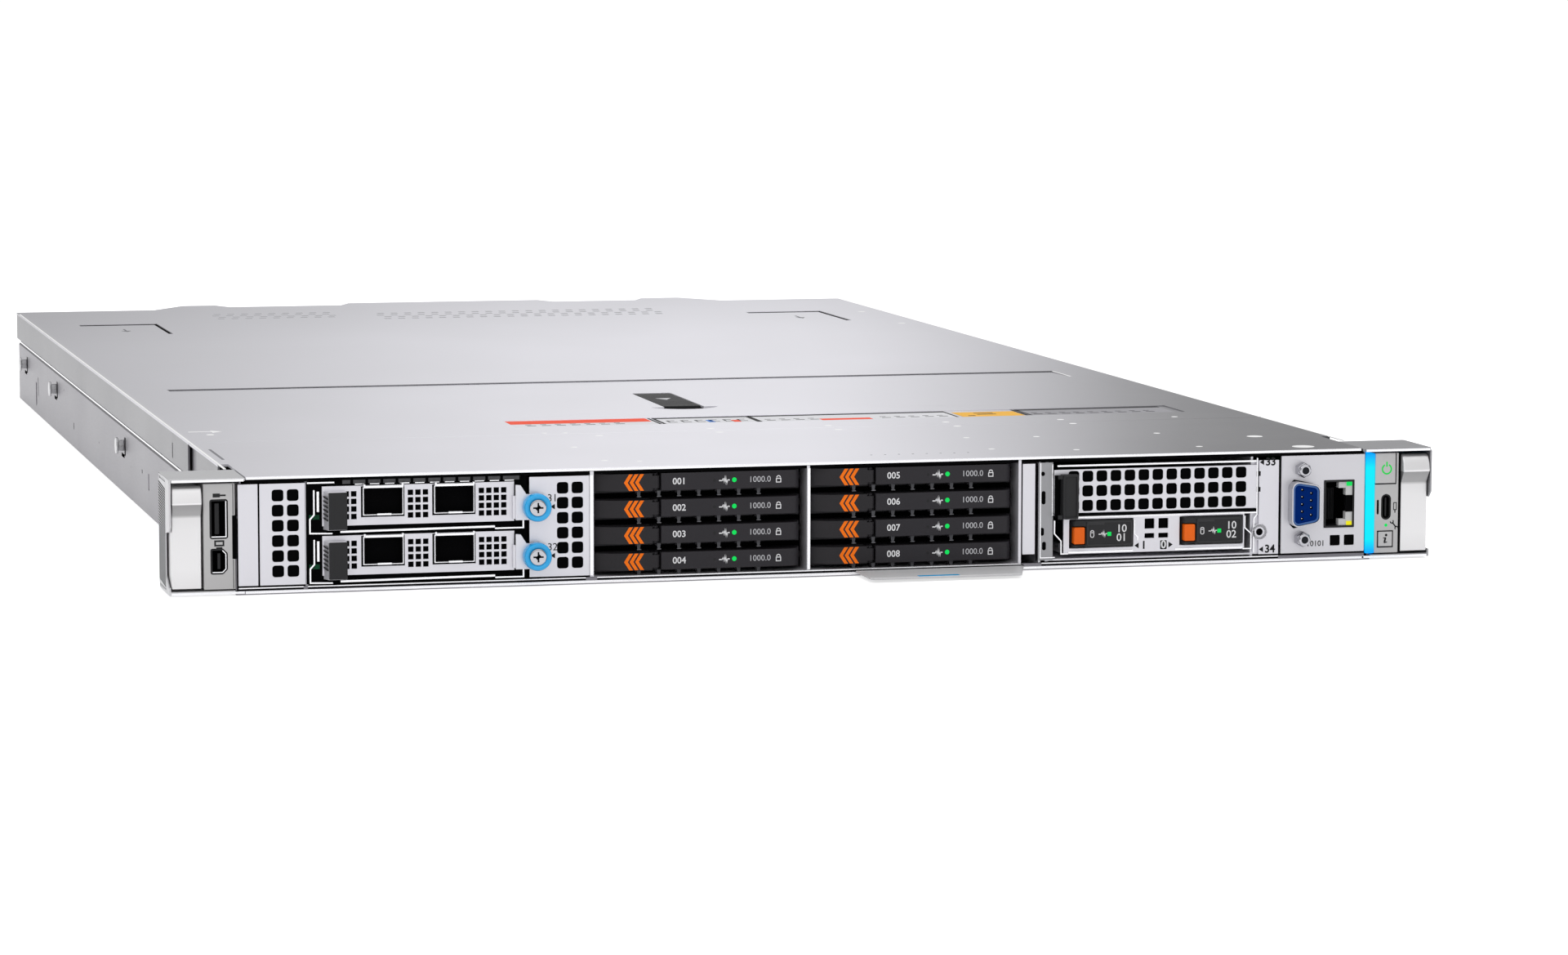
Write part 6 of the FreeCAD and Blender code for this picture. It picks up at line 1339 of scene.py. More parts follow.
# ---------------- network cards
@dataclass
class CardBay:
    """Vent plates, card cage and the two network cards."""

    hole: float = 4.2
    corner: float = 1.0
    pitch: float = 5.5
    port_lefts: Flat = (-170.8, -144.7)
    port_size: Flat = (14.8, 10.2)
    knob: float = 5.1
    lowest: float = 6.1
    storey: float = 18.0
    tab: tuple[Flat, ...] = ((-114.9, 0.4), (-104.6, 0.4), (-103.4, 2.0), (-103.4, 9.4), (-110.9, 9.9),
                             (-113.0, 13.2), (-114.9, 13.4))

    def build(self) -> None:
        """Make the perforated plates and dress the cards."""
        self.plates()
        softened("card_cage", PLATE, "plate_steel", 0.2)
        self.cage_edges()
        for number in (1, 2):
            self.card(number)
            self.thumbscrew(number)

    def base(self, number: int) -> float:
        """Lower edge of a card's bracket."""
        return self.lowest + self.storey * (2 - number)

    def plates(self) -> None:
        """Two fillers and two perforated vent plates, with unlit depth behind the holes."""
        top = span("front_plates")[1].z
        plates = (("left_filler", -216.0, -208.8, 3.2, None, ("front_plates",)),
                  ("left_vent", -208.2, -191.7, 3.2, -201.6, ()),
                  ("right_vent", -109.4, -87.0, 3.2, -97.0, ()), ("right_filler", 78.5, 83.4, 5.9, None, ()))
        dark = Form()
        for name, left, right, base, column, replaced in plates:
            form = Form().facing_top([(left, 0), (right, 0), (right, 12), (right - 1, 12), (right - 1, 0.45),
                                      (left, 0.45)], (base, top))
            piece = form.object(name + "_shown", PLATE)
            if column is not None:
                PERFORATE.cut(piece, PLATE, (column, 4, 8.2), (2, 6), (self.pitch, self.pitch), self.hole,
                              self.corner)
                dark.block((left + 0.4, right - 1.2), SHADE, (base + 0.5, top - 0.5))
            round_edges(piece, 0.16)
            attach(piece, "chassis", "plate_steel", *replaced)
        dark.piece("vent_depths", VOID, "plate_steel")
        self.slot_numbers()

    def slot_numbers(self) -> None:
        """Plain slot numbers with small triangles beside the thumbscrews."""
        marks = Form()
        for number, text in ((1, "31"), (2, "32")):
            z = self.base(number) + self.knob
            marks.facing_front([(-101.6, z - 0.3), (-99.9, z + 0.7), (-99.9, z - 1.3)], PRINT)
            place = (-100.8, -0.03, z + 2.8)
            lettering("slot_number_%d" % number, text, 3.9, place, DARK_INK, "plate_steel")
        marks.piece("slot_triangles", DARK_INK, "plate_steel")

    def cage_edges(self) -> None:
        """Painted highlights on the folded edges, and painted shade in the gaps round the two cards."""
        fold = (-0.3, 0.6)
        edge = Form()
        dark = Form().block((-191.2, -110.2), (0.9, 1.25), (3.0, 40.3))
        for number in (1, 2):
            base = self.base(number)
            edge.strip([(-188.5, base + 13.2), (-188.5, base + 4.2), (-190.0, base + 2.6),
                        (-190.0, base - 2.5), (-181.8, base - 2.7)], 0.6, fold)
            edge.strip([(-187.0, base + 12.6), (-187.0, base + 5.2)], 0.9, (0.0, 0.8))
            edge.strip([(-179.0, base - 2.2), (-122.2, base - 1.8)], 0.8, fold)
            edge.strip([(-122.2, base - 2.5), (-111.7, base - 2.5), (-111.7, base + 0.8)], 0.6, fold)
        edge.strip([(-191.0, 39.9), (-181.0, 39.9)], 0.6, fold)
        edge.piece("card_cage_edges", HIGHLIGHT_METAL, "plate_steel", edge=0.1)
        dark.piece("card_cage_depth", VOID, "plate_steel")
        Form().block((-178.0, -113.0), (0.3, 0.8), (39.2, 40.6)).piece("gasket_strip", GROOVE, "plate_steel")
        for name, finish, half, tall, first in (
                ("gasket_slots", VOID, 0.5, 0.7, (-174.6, 0.25, 39.9)),
                ("gasket_glints", HIGHLIGHT_METAL, 1.7, 0.16, (-171.8, 0.1, 39.05))):
            mark = Form().block((-half, half), (-0.1, 0.1), (-tall, tall))
            REPEAT.over(mark, name, finish, "plate_steel", "chassis", first, (11, 1), (5.5, 0, 0))

    def card(self, number: int) -> None:
        """One card: bracket, port cages with lips and contacts, latch block and screw tab."""
        body = "network_card_%d" % number
        softened(body, PLATE, "plate_steel", 0.05)
        base = self.base(number)
        width, height = self.port_size
        low = base + 3.6
        rims = Form()
        dark = Form()
        for left in self.port_lefts:
            right, high = left + width, low + height
            rims.frame(rectangle(left, right, low, high), 0.38, (-1.1, 0.4))
            rims.block((left + 0.6, right - 0.6), (-2.7, -1.5), (high - 0.15, high + 0.75))
            for x in (left + 0.1, right - 0.8):
                rims.block((x, x + 0.7), (-2.2, -1.2), (high, high + 1.15))
            rims.block((left + 5.0, right - 4.6), (-2.3, -1.2), (low + 0.05, low + 0.75))
            dark.sleeve(rectangle(left - 0.55, right + 0.55, low - 0.7, high + 0.3),
                        rectangle(left - 0.02, right + 0.02, low - 0.02, high + 0.02), (-0.06, 0.3))
            across, upward = (left + 0.5, right - 0.5), (low + 0.5, high - 0.5)
            dark.block(across, (14.0, 14.4), upward)
            for x in (left + 0.52, right - 0.6):
                dark.block((x, x + 0.08), (-1.5, 14.2), upward)
            for z in (low + 0.5, high - 0.58):
                dark.block(across, (-1.4, 14.2), (z, z + 0.08))
        # The port cages and their lips are drawn in the lighter metal, a painted highlight.
        rims.piece("port_rims_%d" % number, HIGHLIGHT_METAL, "socket_metal", body, edge=0.1)
        dark.piece("port_depths_%d" % number, SOCKET_DARK, "plate_steel", body)
        self.port_insides(number, low)
        self.latch(number)
        tab = Form().facing_front([(x, base + z) for x, z in self.tab], (-2.1, -1.65))
        tab.piece("screw_tab_%d" % number, PLATE, "plate_steel", body, edge=0.15)
        Form().block((-190.2, -186.4), (0.7, 4.0), (base + 2.4, base + 4.1)).piece(
            "card_board_edge_%d" % number, GREEN_BOARD, "board_green", body)

    def port_insides(self, number: int, low: float) -> None:
        """Contact rows, and painted glints standing for springs, inside the two port cages."""
        gold = Form()
        glint = Form()
        for left in self.port_lefts:
            for index in range(7):
                x = left + 1.2 + 0.62 * index
                gold.block((x, x + 0.34), (6.0, 6.2), (low + 5.0, low + 5.25))
                gold.block((x, x + 0.34), (7.0, 7.2), (low + 5.9, low + 6.15))
            glint.block((left + 1.0, left + 3.0), (5.0, 5.2), (low + 7.6, low + 7.85))
            for x, z, tall in ((11.6, 7.4, 1.5), (8.9, 5.9, 0.6), (10.4, 4.8, 0.9)):
                glint.block((left + x, left + x + 0.22), (3.5, 3.7), (low + z, low + z + tall))
        gold.piece("port_contacts_%d" % number, GOLD, "socket_metal", "network_card_%d" % number)
        glint.piece("port_springs_%d" % number, MARK_GREY, "socket_metal", "network_card_%d" % number)

    def latch(self, number: int) -> None:
        """Black latch block with a serrated left edge."""
        base = self.base(number)
        low, high = base - 1.2, base + 12.5
        block = Form().facing_top([(-184.7, 0), (-183.7, -3.5), (-176.9, -3.5), (-176.9, 0)], (low, high))
        for index in range(6):
            z = low + 3.4 + 1.55 * index
            tooth = [(-185.2, z + 0.55), (-183.8, z - 0.3), (-183.8, z + 0.45), (-185.2, z + 1.25)]
            block.facing_front(tooth, (-3.3, -0.2))
        block.piece("card_latch_%d" % number, LATCH, "latch_plastic", "network_card_%d" % number, edge=0.25)

    def thumbscrew(self, number: int) -> None:
        """Blue knob with a rounded rim round a silver cross-head screw."""
        node = "card_screw_%d" % number
        low, high = span(node)
        x, z = (low.x + high.x) / 2, (low.z + high.z) / 2
        front = low.y + 1.2
        knob = Form().turned([(front + 0.9, 3.0), (front + 0.7, 3.2), (front + 0.1, 3.9), (front, 4.2),
                              (front + 0.15, 4.8), (front + 0.7, 5.1), (front + 3.4, 5.15),
                              (front + 3.8, 4.9)], (x, 0, z), "y", 48)
        knob.turned([(front + 3.6, 1.5), (front + 9.4, 1.5)], (x, 0, z), "y", 20)
        knob.piece("knob_%d" % number, BLUE, "knob_blue", node, node, edge=0.05, segments=1)
        head = Form().turned([(front + 1.0, 3.1), (front + 0.3, 3.0), (front + 0.1, 2.4)], (x, 0, z), "y", 32)
        head.piece("screw_head_%d" % number, NICKEL, "knob_blue", node, edge=0.05, segments=1)
        sunk = (front + 0.05, front + 0.2)
        cross = Form().bar((x - 1.9, z), (x + 1.9, z), 0.62, sunk).bar((x, z - 1.9), (x, z + 1.9), 0.62, sunk)
        cross.bar((x - 0.7, z - 0.7), (x + 0.7, z + 0.7), 1.2, sunk)
        cross.piece("screw_cross_%d" % number, CROSS, "knob_blue", node)


# ---------------- drives
@dataclass
class DriveBay:
    """Cage with eight carriers, their levers, markings and lamps."""

    drives: int = 8
    fins: int = 7
    fin_pitch: float = 7.55

    def build(self) -> None:
        """Dress the cage and every drive."""
        softened("drive_cage", PLATE, "plate_steel", 0.2)
        # Painted highlights on the cage's posts.
        edge = Form().block((-86.9, -85.5), (-0.15, 1.0), (3.2, 40.2))
        edge.block((-4.7, -3.5), (-0.1, 1.0), (2.8, 40.6))
        edge.piece("cage_posts", HIGHLIGHT_METAL, "plate_steel", edge=0.2)
        for index, across in enumerate(((-84.8, -4.9), (-3.2, 76.7))):
            Form().block(across, (10.3, 10.6), (2.8, 40.6)).piece("bay_depth_%d" % index, VOID, "plate_steel")
        for number in range(1, self.drives + 1):
            self.drive(number)

    def drive(self, number: int) -> None:
        """One carrier with its lever, vent fins with painted glints at their ends, markings and lamp."""
        carrier = "drive_%d" % number
        lever = "drive_lever_%d" % number
        softened(carrier, CARRIER, "carrier_plastic", 0.18)
        softened(lever, LEVER, "carrier_plastic", 0.18)
        low, high = span(lever)
        centre = (low.z + high.z) / 2
        left = low.x - 0.6
        self.chevrons(number, left, centre)
        self.signs(number, left, centre)
        fin = Form().facing_front([(-0.75, -0.2), (0.75, -0.2), (0.45, -2.1), (-0.45, -2.1)], (-0.3, 0.3))
        under = centre - 3.2
        # Painted glints at the fins' lower ends.
        glint = Form().block((-0.75, 0.75), (-0.3, 0.3), (-0.16, 0.16))
        for form, name, finish, first in ((fin, "fins_%d", FIN_DARK, (left + 16.9, 2.3, under)),
                                          (glint, "fin_ends_%d", MARK_GREY, (left + 17.0, 2.2, under - 2.3))):
            REPEAT.over(form, name % number, finish, "carrier_plastic", carrier, first, (self.fins, 1),
                        (self.fin_pitch, 0, 0))

    def chevrons(self, number: int, left: float, centre: float) -> None:
        """Three orange chevrons on the lever."""
        marks = Form()
        half, lean, thick, step = 3.05, 1.95, 1.4, 2.08
        shape = ((0, 0), (lean, half), (lean + thick, half), (thick, 0), (lean + thick, -half), (lean, -half))
        for index in range(3):
            tip = left + 10.9 + step * index
            marks.facing_front([(tip + x, centre + z) for x, z in shape], PRINT)
        marks.piece("chevrons_%d" % number, ORANGE_INK, "carrier_plastic", "drive_lever_%d" % number)

    def signs(self, number: int, left: float, centre: float) -> None:
        """Plain numerals, pulse and padlock signs, and the green lamp."""
        carrier = "drive_%d" % number
        white = Form().pulse(left + 46.7, centre, 0.86, PRINT)
        lock = left + 69.3
        white.frame(rectangle(lock - 1.0, lock + 1.0, centre - 1.35, centre + 0.35), 0.32, PRINT)
        white.ring((lock, centre + 0.5), 0.85, 0.5, PRINT, 0, 180, 10)
        white.piece("drive_signs_%d" % number, WHITE_INK, "carrier_plastic", carrier)
        lettering("drive_number_%d" % number, "%03d" % number, 3.4, (left + 31.7, -0.03, centre), WHITE_INK,
                  "carrier_plastic", carrier, 0.05)
        lettering("drive_size_%d" % number, "1000.0", 3.1, (left + 62.2, -0.03, centre), GREY_INK,
                  "carrier_plastic", carrier)
        profile = [(-0.08, 0.2), (-0.08, 0.85), (0.2, 0.95)]
        lamp = Form().turned(profile, (left + 52.5, 0, centre + 0.1), "y", 20)
        lamp.piece("drive_lamp_%d" % number, GREEN_LAMP, "light_guide", carrier)
        dot = Form().turned([(-0.05, 0.15), (-0.03, 0.55), (0.1, 0.6)], (left + 45.0, 0, centre), "y", 14)
        dot.piece("drive_dot_%d" % number, BLACK, "carrier_plastic", carrier)


# ---------------- riser bay
@dataclass
class RiserBay:
    """Riser cage, perforated blank and the two boot sleds."""

    columns: int = 13
    pitch: Flat = (5.525, 5.5)
    hole: float = 4.15
    sled_width: float = 24.6

    def build(self) -> None:
        """Make the blank plate and its latch, and dress the rest."""
        softened("riser_cage", PLATE, "plate_steel", 0.18)
        self.blank()
        self.latch()
        self.cage_edges()
        self.slot_numbers()
        for number in (1, 2):
            self.sled(number)

    def blank(self) -> None:
        """Perforated blank with unlit depth behind its holes."""
        low, high = span("blank_bracket")
        plate = Form().block((low.x, high.x - 0.1), (0, 0.45), (21.0, high.z)).object("blank_plate", PLATE)
        PERFORATE.cut(plate, PLATE, (98.5, 4, 23.7), (self.columns, 3), self.pitch, self.hole, 1.0)
        round_edges(plate, 0.16)
        attach(plate, "chassis", "plate_steel", "blank_bracket")
        Form().block((low.x + 0.6, high.x - 0.8), SHADE, (21.5, high.z - 0.5)).piece(
            "blank_depth", VOID, "plate_steel")

    def latch(self) -> None:
        """Black latch block with a raised frame and an open left side."""
        low, high = 19.1, 35.8
        block = Form().block((93.2, 99.3), (-3.5, -0.1), (low, high))
        for base in (low, high - 1.6):
            block.block((91.4, 93.2), (-3.6, -2.9), (base, base + 1.6))
        block.frame(filleted(rectangle(93.2, 99.3, low, high), 1.0), 0.8, (-4.0, -3.4))
        block.piece("blank_latch", LATCH, "latch_plastic", edge=0.2)
        Form().block((90.9, 93.2), (-0.4, -0.05), (low + 0.4, high - 0.4)).piece(
            "blank_latch_depth", VOID, "latch_plastic")

    def cage_edges(self) -> None:
        """Painted highlights on the folded edges round the riser bay and the sleds' bracket, and painted
        shade on the riser's side.
        """
        edge = Form()
        near, far = (-0.3, 0.5), (0.3, 1.1)
        edge.strip([(85.6, 40.2), (85.6, 4.4), (91.4, 4.4)], 0.45, far)
        edge.strip([(90.3, 39.6), (90.3, 20.0)], 0.4, far)
        edge.strip([(91.0, 18.4), (91.0, 13.4), (93.6, 10.6), (93.6, 5.7), (96.4, 5.7)], 0.5, near)
        edge.strip([(122.4, 17.8), (122.4, 12.6), (123.8, 11.4), (123.8, 10.0)], 0.5, near)
        edge.strip([(166.4, 18.2), (166.4, 13.6), (168.9, 11.4), (168.9, 5.6), (165.6, 5.6)], 0.5, near)
        edge.strip([(171.2, 40.0), (171.2, 18.4), (170.0, 17.0), (170.0, 4.0)], 0.5, near)
        edge.block((96.4, 122.0), near, (5.8, 6.6)).block((138.6, 165.6), near, (5.8, 6.6))
        edge.block((99.6, 171.0), near, (19.0, 19.6))
        edge.block((92.0, 170.8), near, (38.5, 39.2))
        edge.piece("riser_edges", HIGHLIGHT_METAL, "plate_steel", edge=0.1)
        # The riser's side plate takes the darker metal copy as painted shade.
        Form().block((84.9, 90.6), (0.75, 1.0), (3.4, 40.2)).piece("riser_side", PAINTED_SHADE_METAL, "plate_steel")
        holes = Form()
        for x, z, tall in ((86.9, 27.0, 5.0), (86.4, 14.2, 3.0), (87.2, 8.8, 3.2), (86.6, 36.0, 1.6)):
            outline = rectangle(x - 0.75, x + 0.75, z - tall / 2, z + tall / 2)
            holes.facing_front(filleted(outline, 0.7), (0.68, 0.74))
        holes.block((83.9, 84.5), (0.4, 0.7), (3.4, 40.2)).piece("riser_side_holes", VOID, "plate_steel")
        dark = Form().block((99.5, 171.3), (-0.05, 0.25), (19.7, 20.8))
        for x in (127.8, 133.3):
            dark.block((x - 2.2, x + 2.2), (1.3, 1.6), (10.4, 18.4))
        dark.piece("riser_depths", VOID, "plate_steel")

    def slot_numbers(self) -> None:
        """Plain slot numbers with triangles between the sleds and on the end plate."""
        marks = Form()
        for x, z, way in ((123.6, 8.0, -1), (136.8, 8.0, 1), (173.2, 38.3, -1), (173.2, 5.1, -1)):
            back = x - 0.7 * way
            marks.facing_front([(x + way, z), (back, z + 1.1), (back, z - 1.1)], PRINT)
        marks.facing_front(filleted(rectangle(132.8, 135.4, 6.3, 9.7), 0.4), PRINT)
        for z in (34.0, 28.0):
            marks.block((170.9, 172.6), PRINT, (z - 0.9, z + 0.9))
        marks.piece("riser_triangles", DARK_INK, "plate_steel")
        numbers = (("one", "1", 126.3, 8.0, DARK_INK), ("zero", "0", 134.1, 8.0, WHITE_INK),
                   ("top", "33", 176.6, 38.3, DARK_INK), ("low", "34", 176.6, 5.1, DARK_INK))
        for name, text, x, z, finish in numbers:
            lettering("riser_number_" + name, text, 4.2, (x, -0.07, z), finish, "plate_steel", spread=0.1)
        Form().ring((172.3, 11.8), 3.0, 1.75, (-0.3, 0.2), sides=28).piece(
            "end_screw_boss", PLATE, "plate_steel", edge=0.12)
        Form().turned([(-0.05, 1.75), (0.4, 1.75)], (172.3, 0, 11.8), "y", 24).piece(
            "end_screw_hole", VOID, "plate_steel")

    def sled(self, number: int) -> None:
        """One boot sled with its latch, lamp, signs and numerals."""
        body = "boot_sled_%d" % number
        softened(body, SLED, "sled_plastic", 0.3)
        softened("sled_latch_%d" % number, ORANGE, "latch_orange", 0.45, 3)
        left = span(body)[0].x
        face = -0.9
        outline = filleted(rectangle(left + 6.3, left + self.sled_width - 0.5, 8.5, 17.7), 0.8)
        relief = Form().frame(outline, 0.55, (face - 0.16, face + 0.05))
        relief.block((left + 6.9, left + 13.2), (face - 0.14, face + 0.05), (16.4, 17.2))
        relief.piece("sled_relief_%d" % number, SLED_EDGE, "sled_plastic", body, edge=0.1)
        Form().block((left + 14.4, left + 15.9), (face - 0.1, face), (12.1, 13.6)).piece(
            "sled_lamp_%d" % number, GREEN_LAMP, "light_guide", body)
        skin = (face - 0.05, face)
        signs = Form().frame(filleted(rectangle(left + 7.6, left + 9.2, 11.6, 14.4), 0.7), 0.3, skin)
        signs.bar((left + 7.7, 13.5), (left + 9.1, 13.5), 0.3, skin).pulse(left + 10.9, 12.9, 0.72, skin)
        signs.piece("sled_signs_%d" % number, WHITE_INK, "sled_plastic", body)
        for index, digits in enumerate(("10", "0%d" % number)):
            lettering("sled_text_%d_%d" % (number, index), digits, 4.1,
                      (left + 20.0, face - 0.03, 14.7 - 3.4 * index), WHITE_INK, "sled_plastic", body, 0.04)


# ---------------- I/O
@dataclass
class IoPanel:
    """Plate with the serial port, its jackscrews and the network jack."""

    screws: tuple[Flat, ...] = ((189.1, 35.1), (189.1, 8.7))
    jack: Edges = (198.2, 210.4, 12.6, 30.7)
    serial: tuple[Flat, ...] = ((183.7, 13.0), (195.3, 15.1), (195.3, 29.4), (183.7, 31.4))
    contact: float = 16.75
    contact_pitch: float = 2.76

    def build(self) -> None:
        """Dress the plate and rebuild its connectors."""
        softened("io_plate", IO_PLATE, "plate_steel", 0.16)
        low, high = span("io_connectors")
        Form().block((low.x, high.x), (high.y - 1.6, high.y), (low.z, high.z)).piece(
            "io_board", GREEN_BOARD, "board_green", "chassis", "io_connectors")
        self.serial_port(low.y)
        self.jackscrews()
        self.network_jack()
        self.marks()

    def serial_port(self, front: float) -> None:
        """Chromed shell round a blue insert with nine sockets."""
        outline = filleted(self.serial, 2.8, 6)
        Form().frame(outline, 0.6, (front + 0.1, 18.0)).piece(
            "serial_shell", NICKEL, "socket_metal", edge=0.18)
        inner = inset(outline, 0.62)
        Form().facing_front(inner, (front + 0.9, 16.0)).piece(
            "serial_insert", SERIAL, "socket_metal", edge=0.3, segments=3)
        rim = Form().sleeve(inset(outline, 0.7), inset(outline, 1.35), (front + 0.6, front + 1.0))
        rim.piece("serial_rim", SERIAL_PALE, "socket_metal")
        holes, pins = Form(), Form()
        for count, x, shift in ((5, 188.0, 0), (4, 191.6, 0.5)):
            for index in range(count):
                z = self.contact + self.contact_pitch * (index + shift)
                holes.turned([(front + 0.86, 0.62), (front + 1.0, 0.62)], (x, 0, z), "y", 12)
                pins.turned([(front + 0.80, 0.2), (front + 0.88, 0.24)], (x - 0.2, 0, z + 0.15), "y", 8)
        holes.piece("serial_holes", VOID, "socket_metal")
        pins.piece("serial_contacts", NICKEL, "socket_metal")

    def jackscrews(self) -> None:
        """Hexagonal standoffs with threaded holes beside the serial port."""
        heads = Form()
        holes = Form()
        hexagon = [(0.0, 3.0), (-2.4, 3.0), (-3.0, 2.6)]
        collar = [(-2.6, 2.3), (-4.1, 2.3), (-4.5, 1.9), (-4.5, 1.4), (-3.9, 1.1)]
        for x, z in self.screws:
            heads.turned(hexagon, (x, 0, z), "y", 6).turned(collar, (x, 0, z), "y", 24)
            holes.turned([(-4.0, 1.1), (-3.8, 1.1)], (x, 0, z), "y", 20)
        heads.piece("jackscrews", NICKEL, "socket_metal", edge=0.12)
        holes.piece("jackscrew_holes", CROSS, "socket_metal")

    def network_jack(self) -> None:
        """Black modular jack with ribs, pale shoulders, a notch and two lamps."""
        left, right, low, high = self.jack
        wall = 0.7
        across, upward = (left + wall, right - wall), (low + wall, high - wall)
        shell = Form().frame(rectangle(left, right, low, high), wall, (-0.35, 18.0))
        shell.block(across, (10.0, 11.0), upward)
        for index in range(6):
            x = left + 1.0 + 0.62 * index
            shell.block((x, x + 0.26), (1.6, 9.0), (low + 3.0, high - 3.0))
        shell.piece("jack_shell", JACK_BLACK, "socket_metal", edge=0.15)
        deep = Form().block(across, (8.9, 9.4), upward).block((left + 0.72, left + 0.8), (0.5, 9.0), upward)
        deep.piece("jack_depth", VOID, "socket_metal")
        pale = Form()
        middle = (low + high) / 2
        for end in (-1, 1):
            corner = (high if end > 0 else low) - wall * end
            for inner, near, far in ((middle + 3.15 * end, 3.4, 0.6), (corner - 2.4 * end, 6.2, 3.4)):
                low_z, high_z = sorted((corner, inner))
                pale.block((right - near, right - far), (0.2, 3.0), (low_z, high_z))
        pale.piece("jack_shoulders", PALE, "socket_metal", edge=0.15)
        notch = Form().block((right - 3.5, right - 0.5), (0.05, 0.3), (middle - 3.1, middle + 3.1))
        notch.piece("jack_notch", VOID, "socket_metal")
        for name, z, finish in (("top", high - 1.55, GREEN_LAMP), ("low", low + 1.55, YELLOW_LAMP)):
            Form().block((right - 3.1, right - 0.9), (-0.12, 0.4), (z - 0.75, z + 0.75)).piece(
                "jack_lamp_" + name, finish, "light_guide", edge=0.12)

    def marks(self) -> None:
        """Two square vents and a plain pair of numerals."""
        dark = Form()
        for x in (202.8, 208.5):
            dark.facing_front(filleted(rectangle(x - 1.9, x + 1.9, 5.8, 9.6), 0.8), (-0.03, 0.3))
        dark.piece("io_vents", VOID, "plate_steel")
        lettering("io_number", "10101", 3.0, (195.0, -0.03, 6.6), DARK_INK, "plate_steel", spread=0.03)


# ---------------- inside and rear
@dataclass
class Interior:
    """Boards, heatsinks, memory and fans."""

    fans: int = 4

    def build(self) -> None:
        """Dress everything inside, and the tag under the drives."""
        dressed("circuit_boards", GREEN_BOARD)
        softened("heatsinks", FIN, "heatsink_aluminium", 0.1, 1)
        dressed("memory_modules", MODULE)
        softened("fan_housings", FAN, "fan_plastic", 0.3)
        for number in range(1, self.fans + 1):
            softened("fan_rotor_%d" % number, FAN, "fan_plastic", 0.2)
        softened("info_tag", TAG, "tag_grey", 0.25)
        low, high = span("info_tag")
        skin = (high.z - 0.02, high.z + 0.03)
        line = Form().block((low.x + 18.5, low.x + 34.2), (low.y + 0.35, low.y + 3.4), skin)
        line.piece("tag_line", BLUE, "tag_grey", "info_tag")


@dataclass
class PowerSupply:
    """One supply seen from behind: inlet, vents, handle and lamp."""

    number: int

    def build(self) -> None:
        """Dress the supply and its latch, and add what its rear face shows."""
        body = "power_supply_%d" % self.number
        softened(body, SUPPLY, "supply_steel", 0.3)
        softened("supply_latch_%d" % self.number, ORANGE, "latch_orange", 0.4)
        face = span("rear_panel")[1].y
        place = (span(body)[0].x + 4.0, 0, 34.0)
        lamp = Form().turned([(face - 0.1, 1.0), (face + 0.25, 0.9)], place, "y", 18)
        lamp.piece("supply_lamp_%d" % self.number, GREEN_LAMP, "light_guide", body)


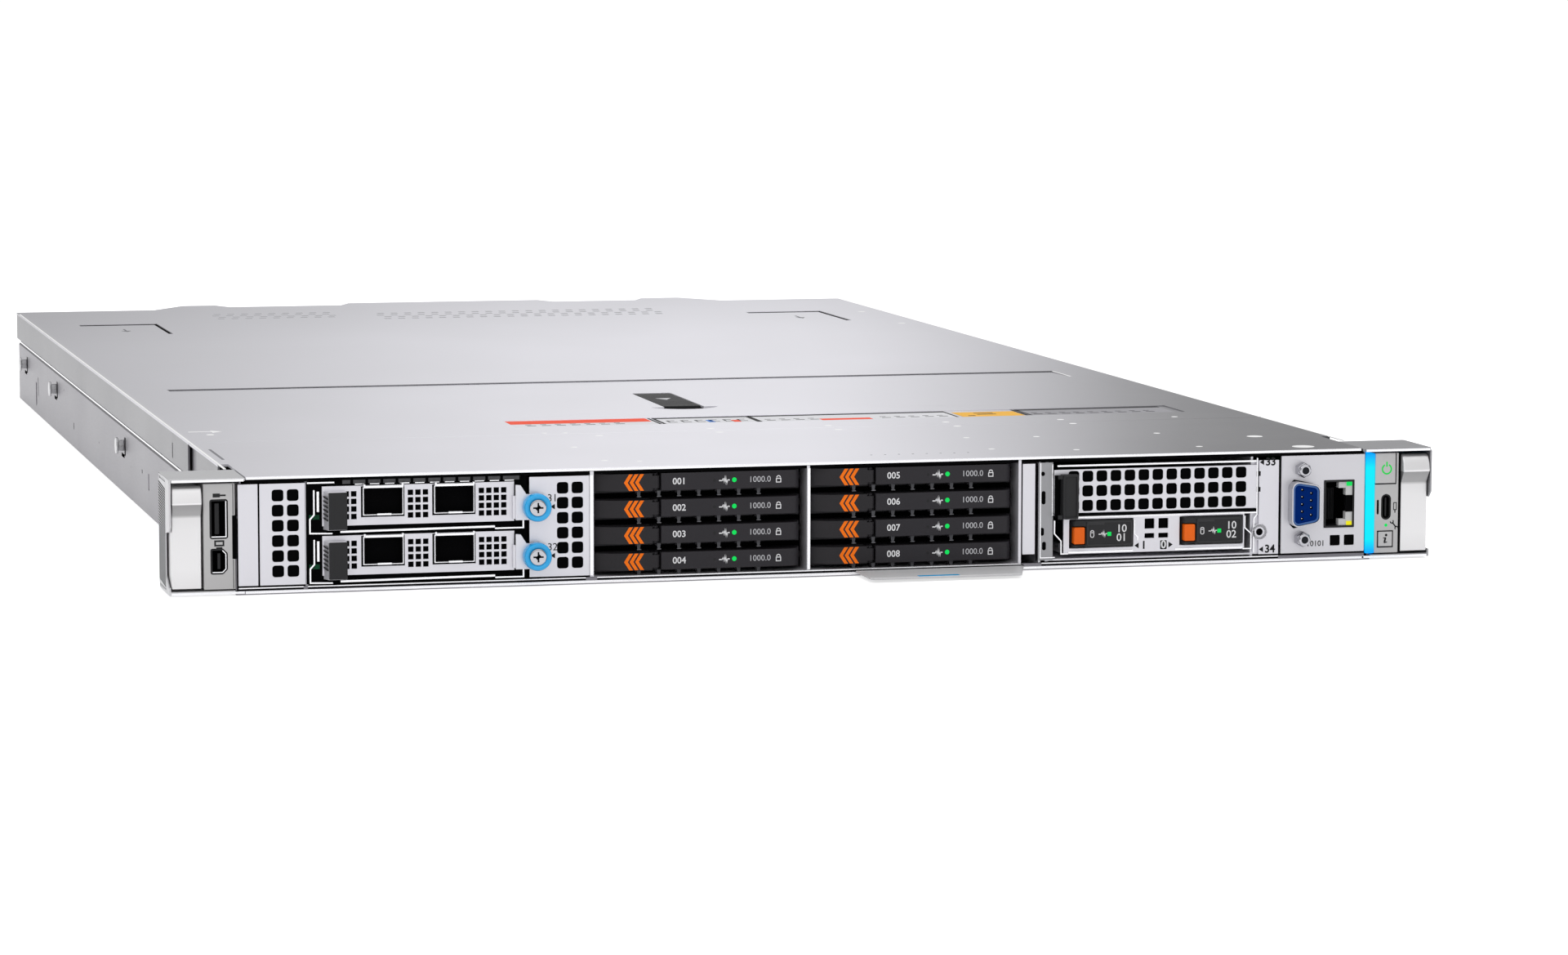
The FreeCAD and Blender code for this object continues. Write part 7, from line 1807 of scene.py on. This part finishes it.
# ---------------- studio
@dataclass
class Studio:
    """Pale floor, soft lamps and the camera."""

    eye: Point = (-466.7, -1753.4, 239.5)
    yaw: float = 14.488
    pitch: float = -6.37
    roll: float = 0.112
    lens: float = 113.44
    floor_glow: float = 0.62
    sky: float = 0.56
    backdrop: float = 0.6

    def build(self) -> None:
        """Make the floor, world, lamps and camera."""
        self.floor()
        self.world()
        self.lamp("key", (0.0, 0.0, 1.6), (0, 0, 0.04), (4.0, 3.2), 30.0)
        self.lamp("front", (-0.5, FRONT - 1.6, 1.1), (0, FRONT, 0.02), (3.0, 1.8), 9.0)
        self.camera()
        bpy.context.scene.view_settings.view_transform = "Standard"

    def floor(self) -> None:
        """White floor that keeps a soft shadow of the object."""
        bpy.ops.mesh.primitive_plane_add(size=30, location=(0, 0, -0.0002))
        plane = bpy.context.object
        plane.name = "studio_floor"
        shader = Shader("studio_white")
        shader.feed(Base_Color=srgb(225, 225, 226), Roughness=0.9, Specular_IOR_Level=0.1)
        path = shader.node("ShaderNodeLightPath")
        seen = Wire(shader, path.outputs["Is Camera Ray"]) + Wire(shader, path.outputs["Is Glossy Ray"])
        seen = shader.held(seen + Wire(shader, path.outputs["Is Transmission Ray"]))
        shader.feed(Emission_Color=(1, 1, 1, 1), Emission_Strength=seen * self.floor_glow)
        plane.data.materials.append(shader.material)

    def world(self) -> None:
        """White surroundings that light the object softly."""
        world = bpy.data.worlds.new("studio_world")
        bpy.context.scene.world = world
        world.use_nodes = True
        tree = Tree(world.node_tree)
        tree.tree.nodes.clear()
        path = tree.node("ShaderNodeLightPath")
        seen = tree.wire("ShaderNodeClamp", None, {0: Wire(tree, path.outputs["Is Camera Ray"])})
        strength = self.sky + seen * self.backdrop
        back = tree.node("ShaderNodeBackground", None, {"Color": (1, 1, 1, 1), "Strength": strength})
        tree.node("ShaderNodeOutputWorld", None, {"Surface": back.outputs[0]})

    def lamp(self, name: str, place: Point, target: Point, size: Flat, power: float) -> None:
        """Rectangular soft lamp aimed at a point."""
        light = bpy.data.lights.new(name, "AREA")
        light.shape = "RECTANGLE"
        light.size, light.size_y = size
        light.energy = power
        holder = bpy.data.objects.new(name, light)
        bpy.context.scene.collection.objects.link(holder)
        holder.location = place
        holder.rotation_euler = (Vector(target) - Vector(place)).to_track_quat("-Z", "Y").to_euler()
        holder.visible_camera = False

    def camera(self) -> None:
        """Camera in front of the server, to its left and a little above."""
        data = bpy.data.cameras.new("camera")
        data.lens = self.lens
        data.sensor_width = 36
        data.clip_start = 0.05
        data.clip_end = 100
        holder = bpy.data.objects.new("camera", data)
        bpy.context.scene.collection.objects.link(holder)
        yaw, pitch, roll = (math.radians(value) for value in (self.yaw, self.pitch, self.roll))
        forward = Vector((math.sin(yaw) * math.cos(pitch), math.cos(yaw) * math.cos(pitch), math.sin(pitch)))
        right = Vector((math.cos(yaw), -math.sin(yaw), 0))
        up = right.cross(forward)
        right = math.cos(roll) * right + math.sin(roll) * up
        up = right.cross(forward)
        turn = Matrix((right, up, -forward)).transposed().to_4x4()
        eye = Vector(self.eye) * MM + Vector((0, FRONT, 0))
        holder.matrix_world = Matrix.Translation(eye) @ turn
        bpy.context.scene.camera = holder


def main() -> None:
    """Build every sub-assembly and the studio."""
    logging.basicConfig(level=logging.INFO, format="%(name)s %(message)s")
    Chassis().build()
    Cover().build()
    Ear(Side.LEFT).build()
    Ear(Side.RIGHT).build()
    LeftPanel().build()
    RightPanel().build()
    CardBay().build()
    DriveBay().build()
    RiserBay().build()
    IoPanel().build()
    Interior().build()
    for number in (1, 2):
        PowerSupply(number).build()
    Studio().build()


if __name__ == "__main__":
    main()
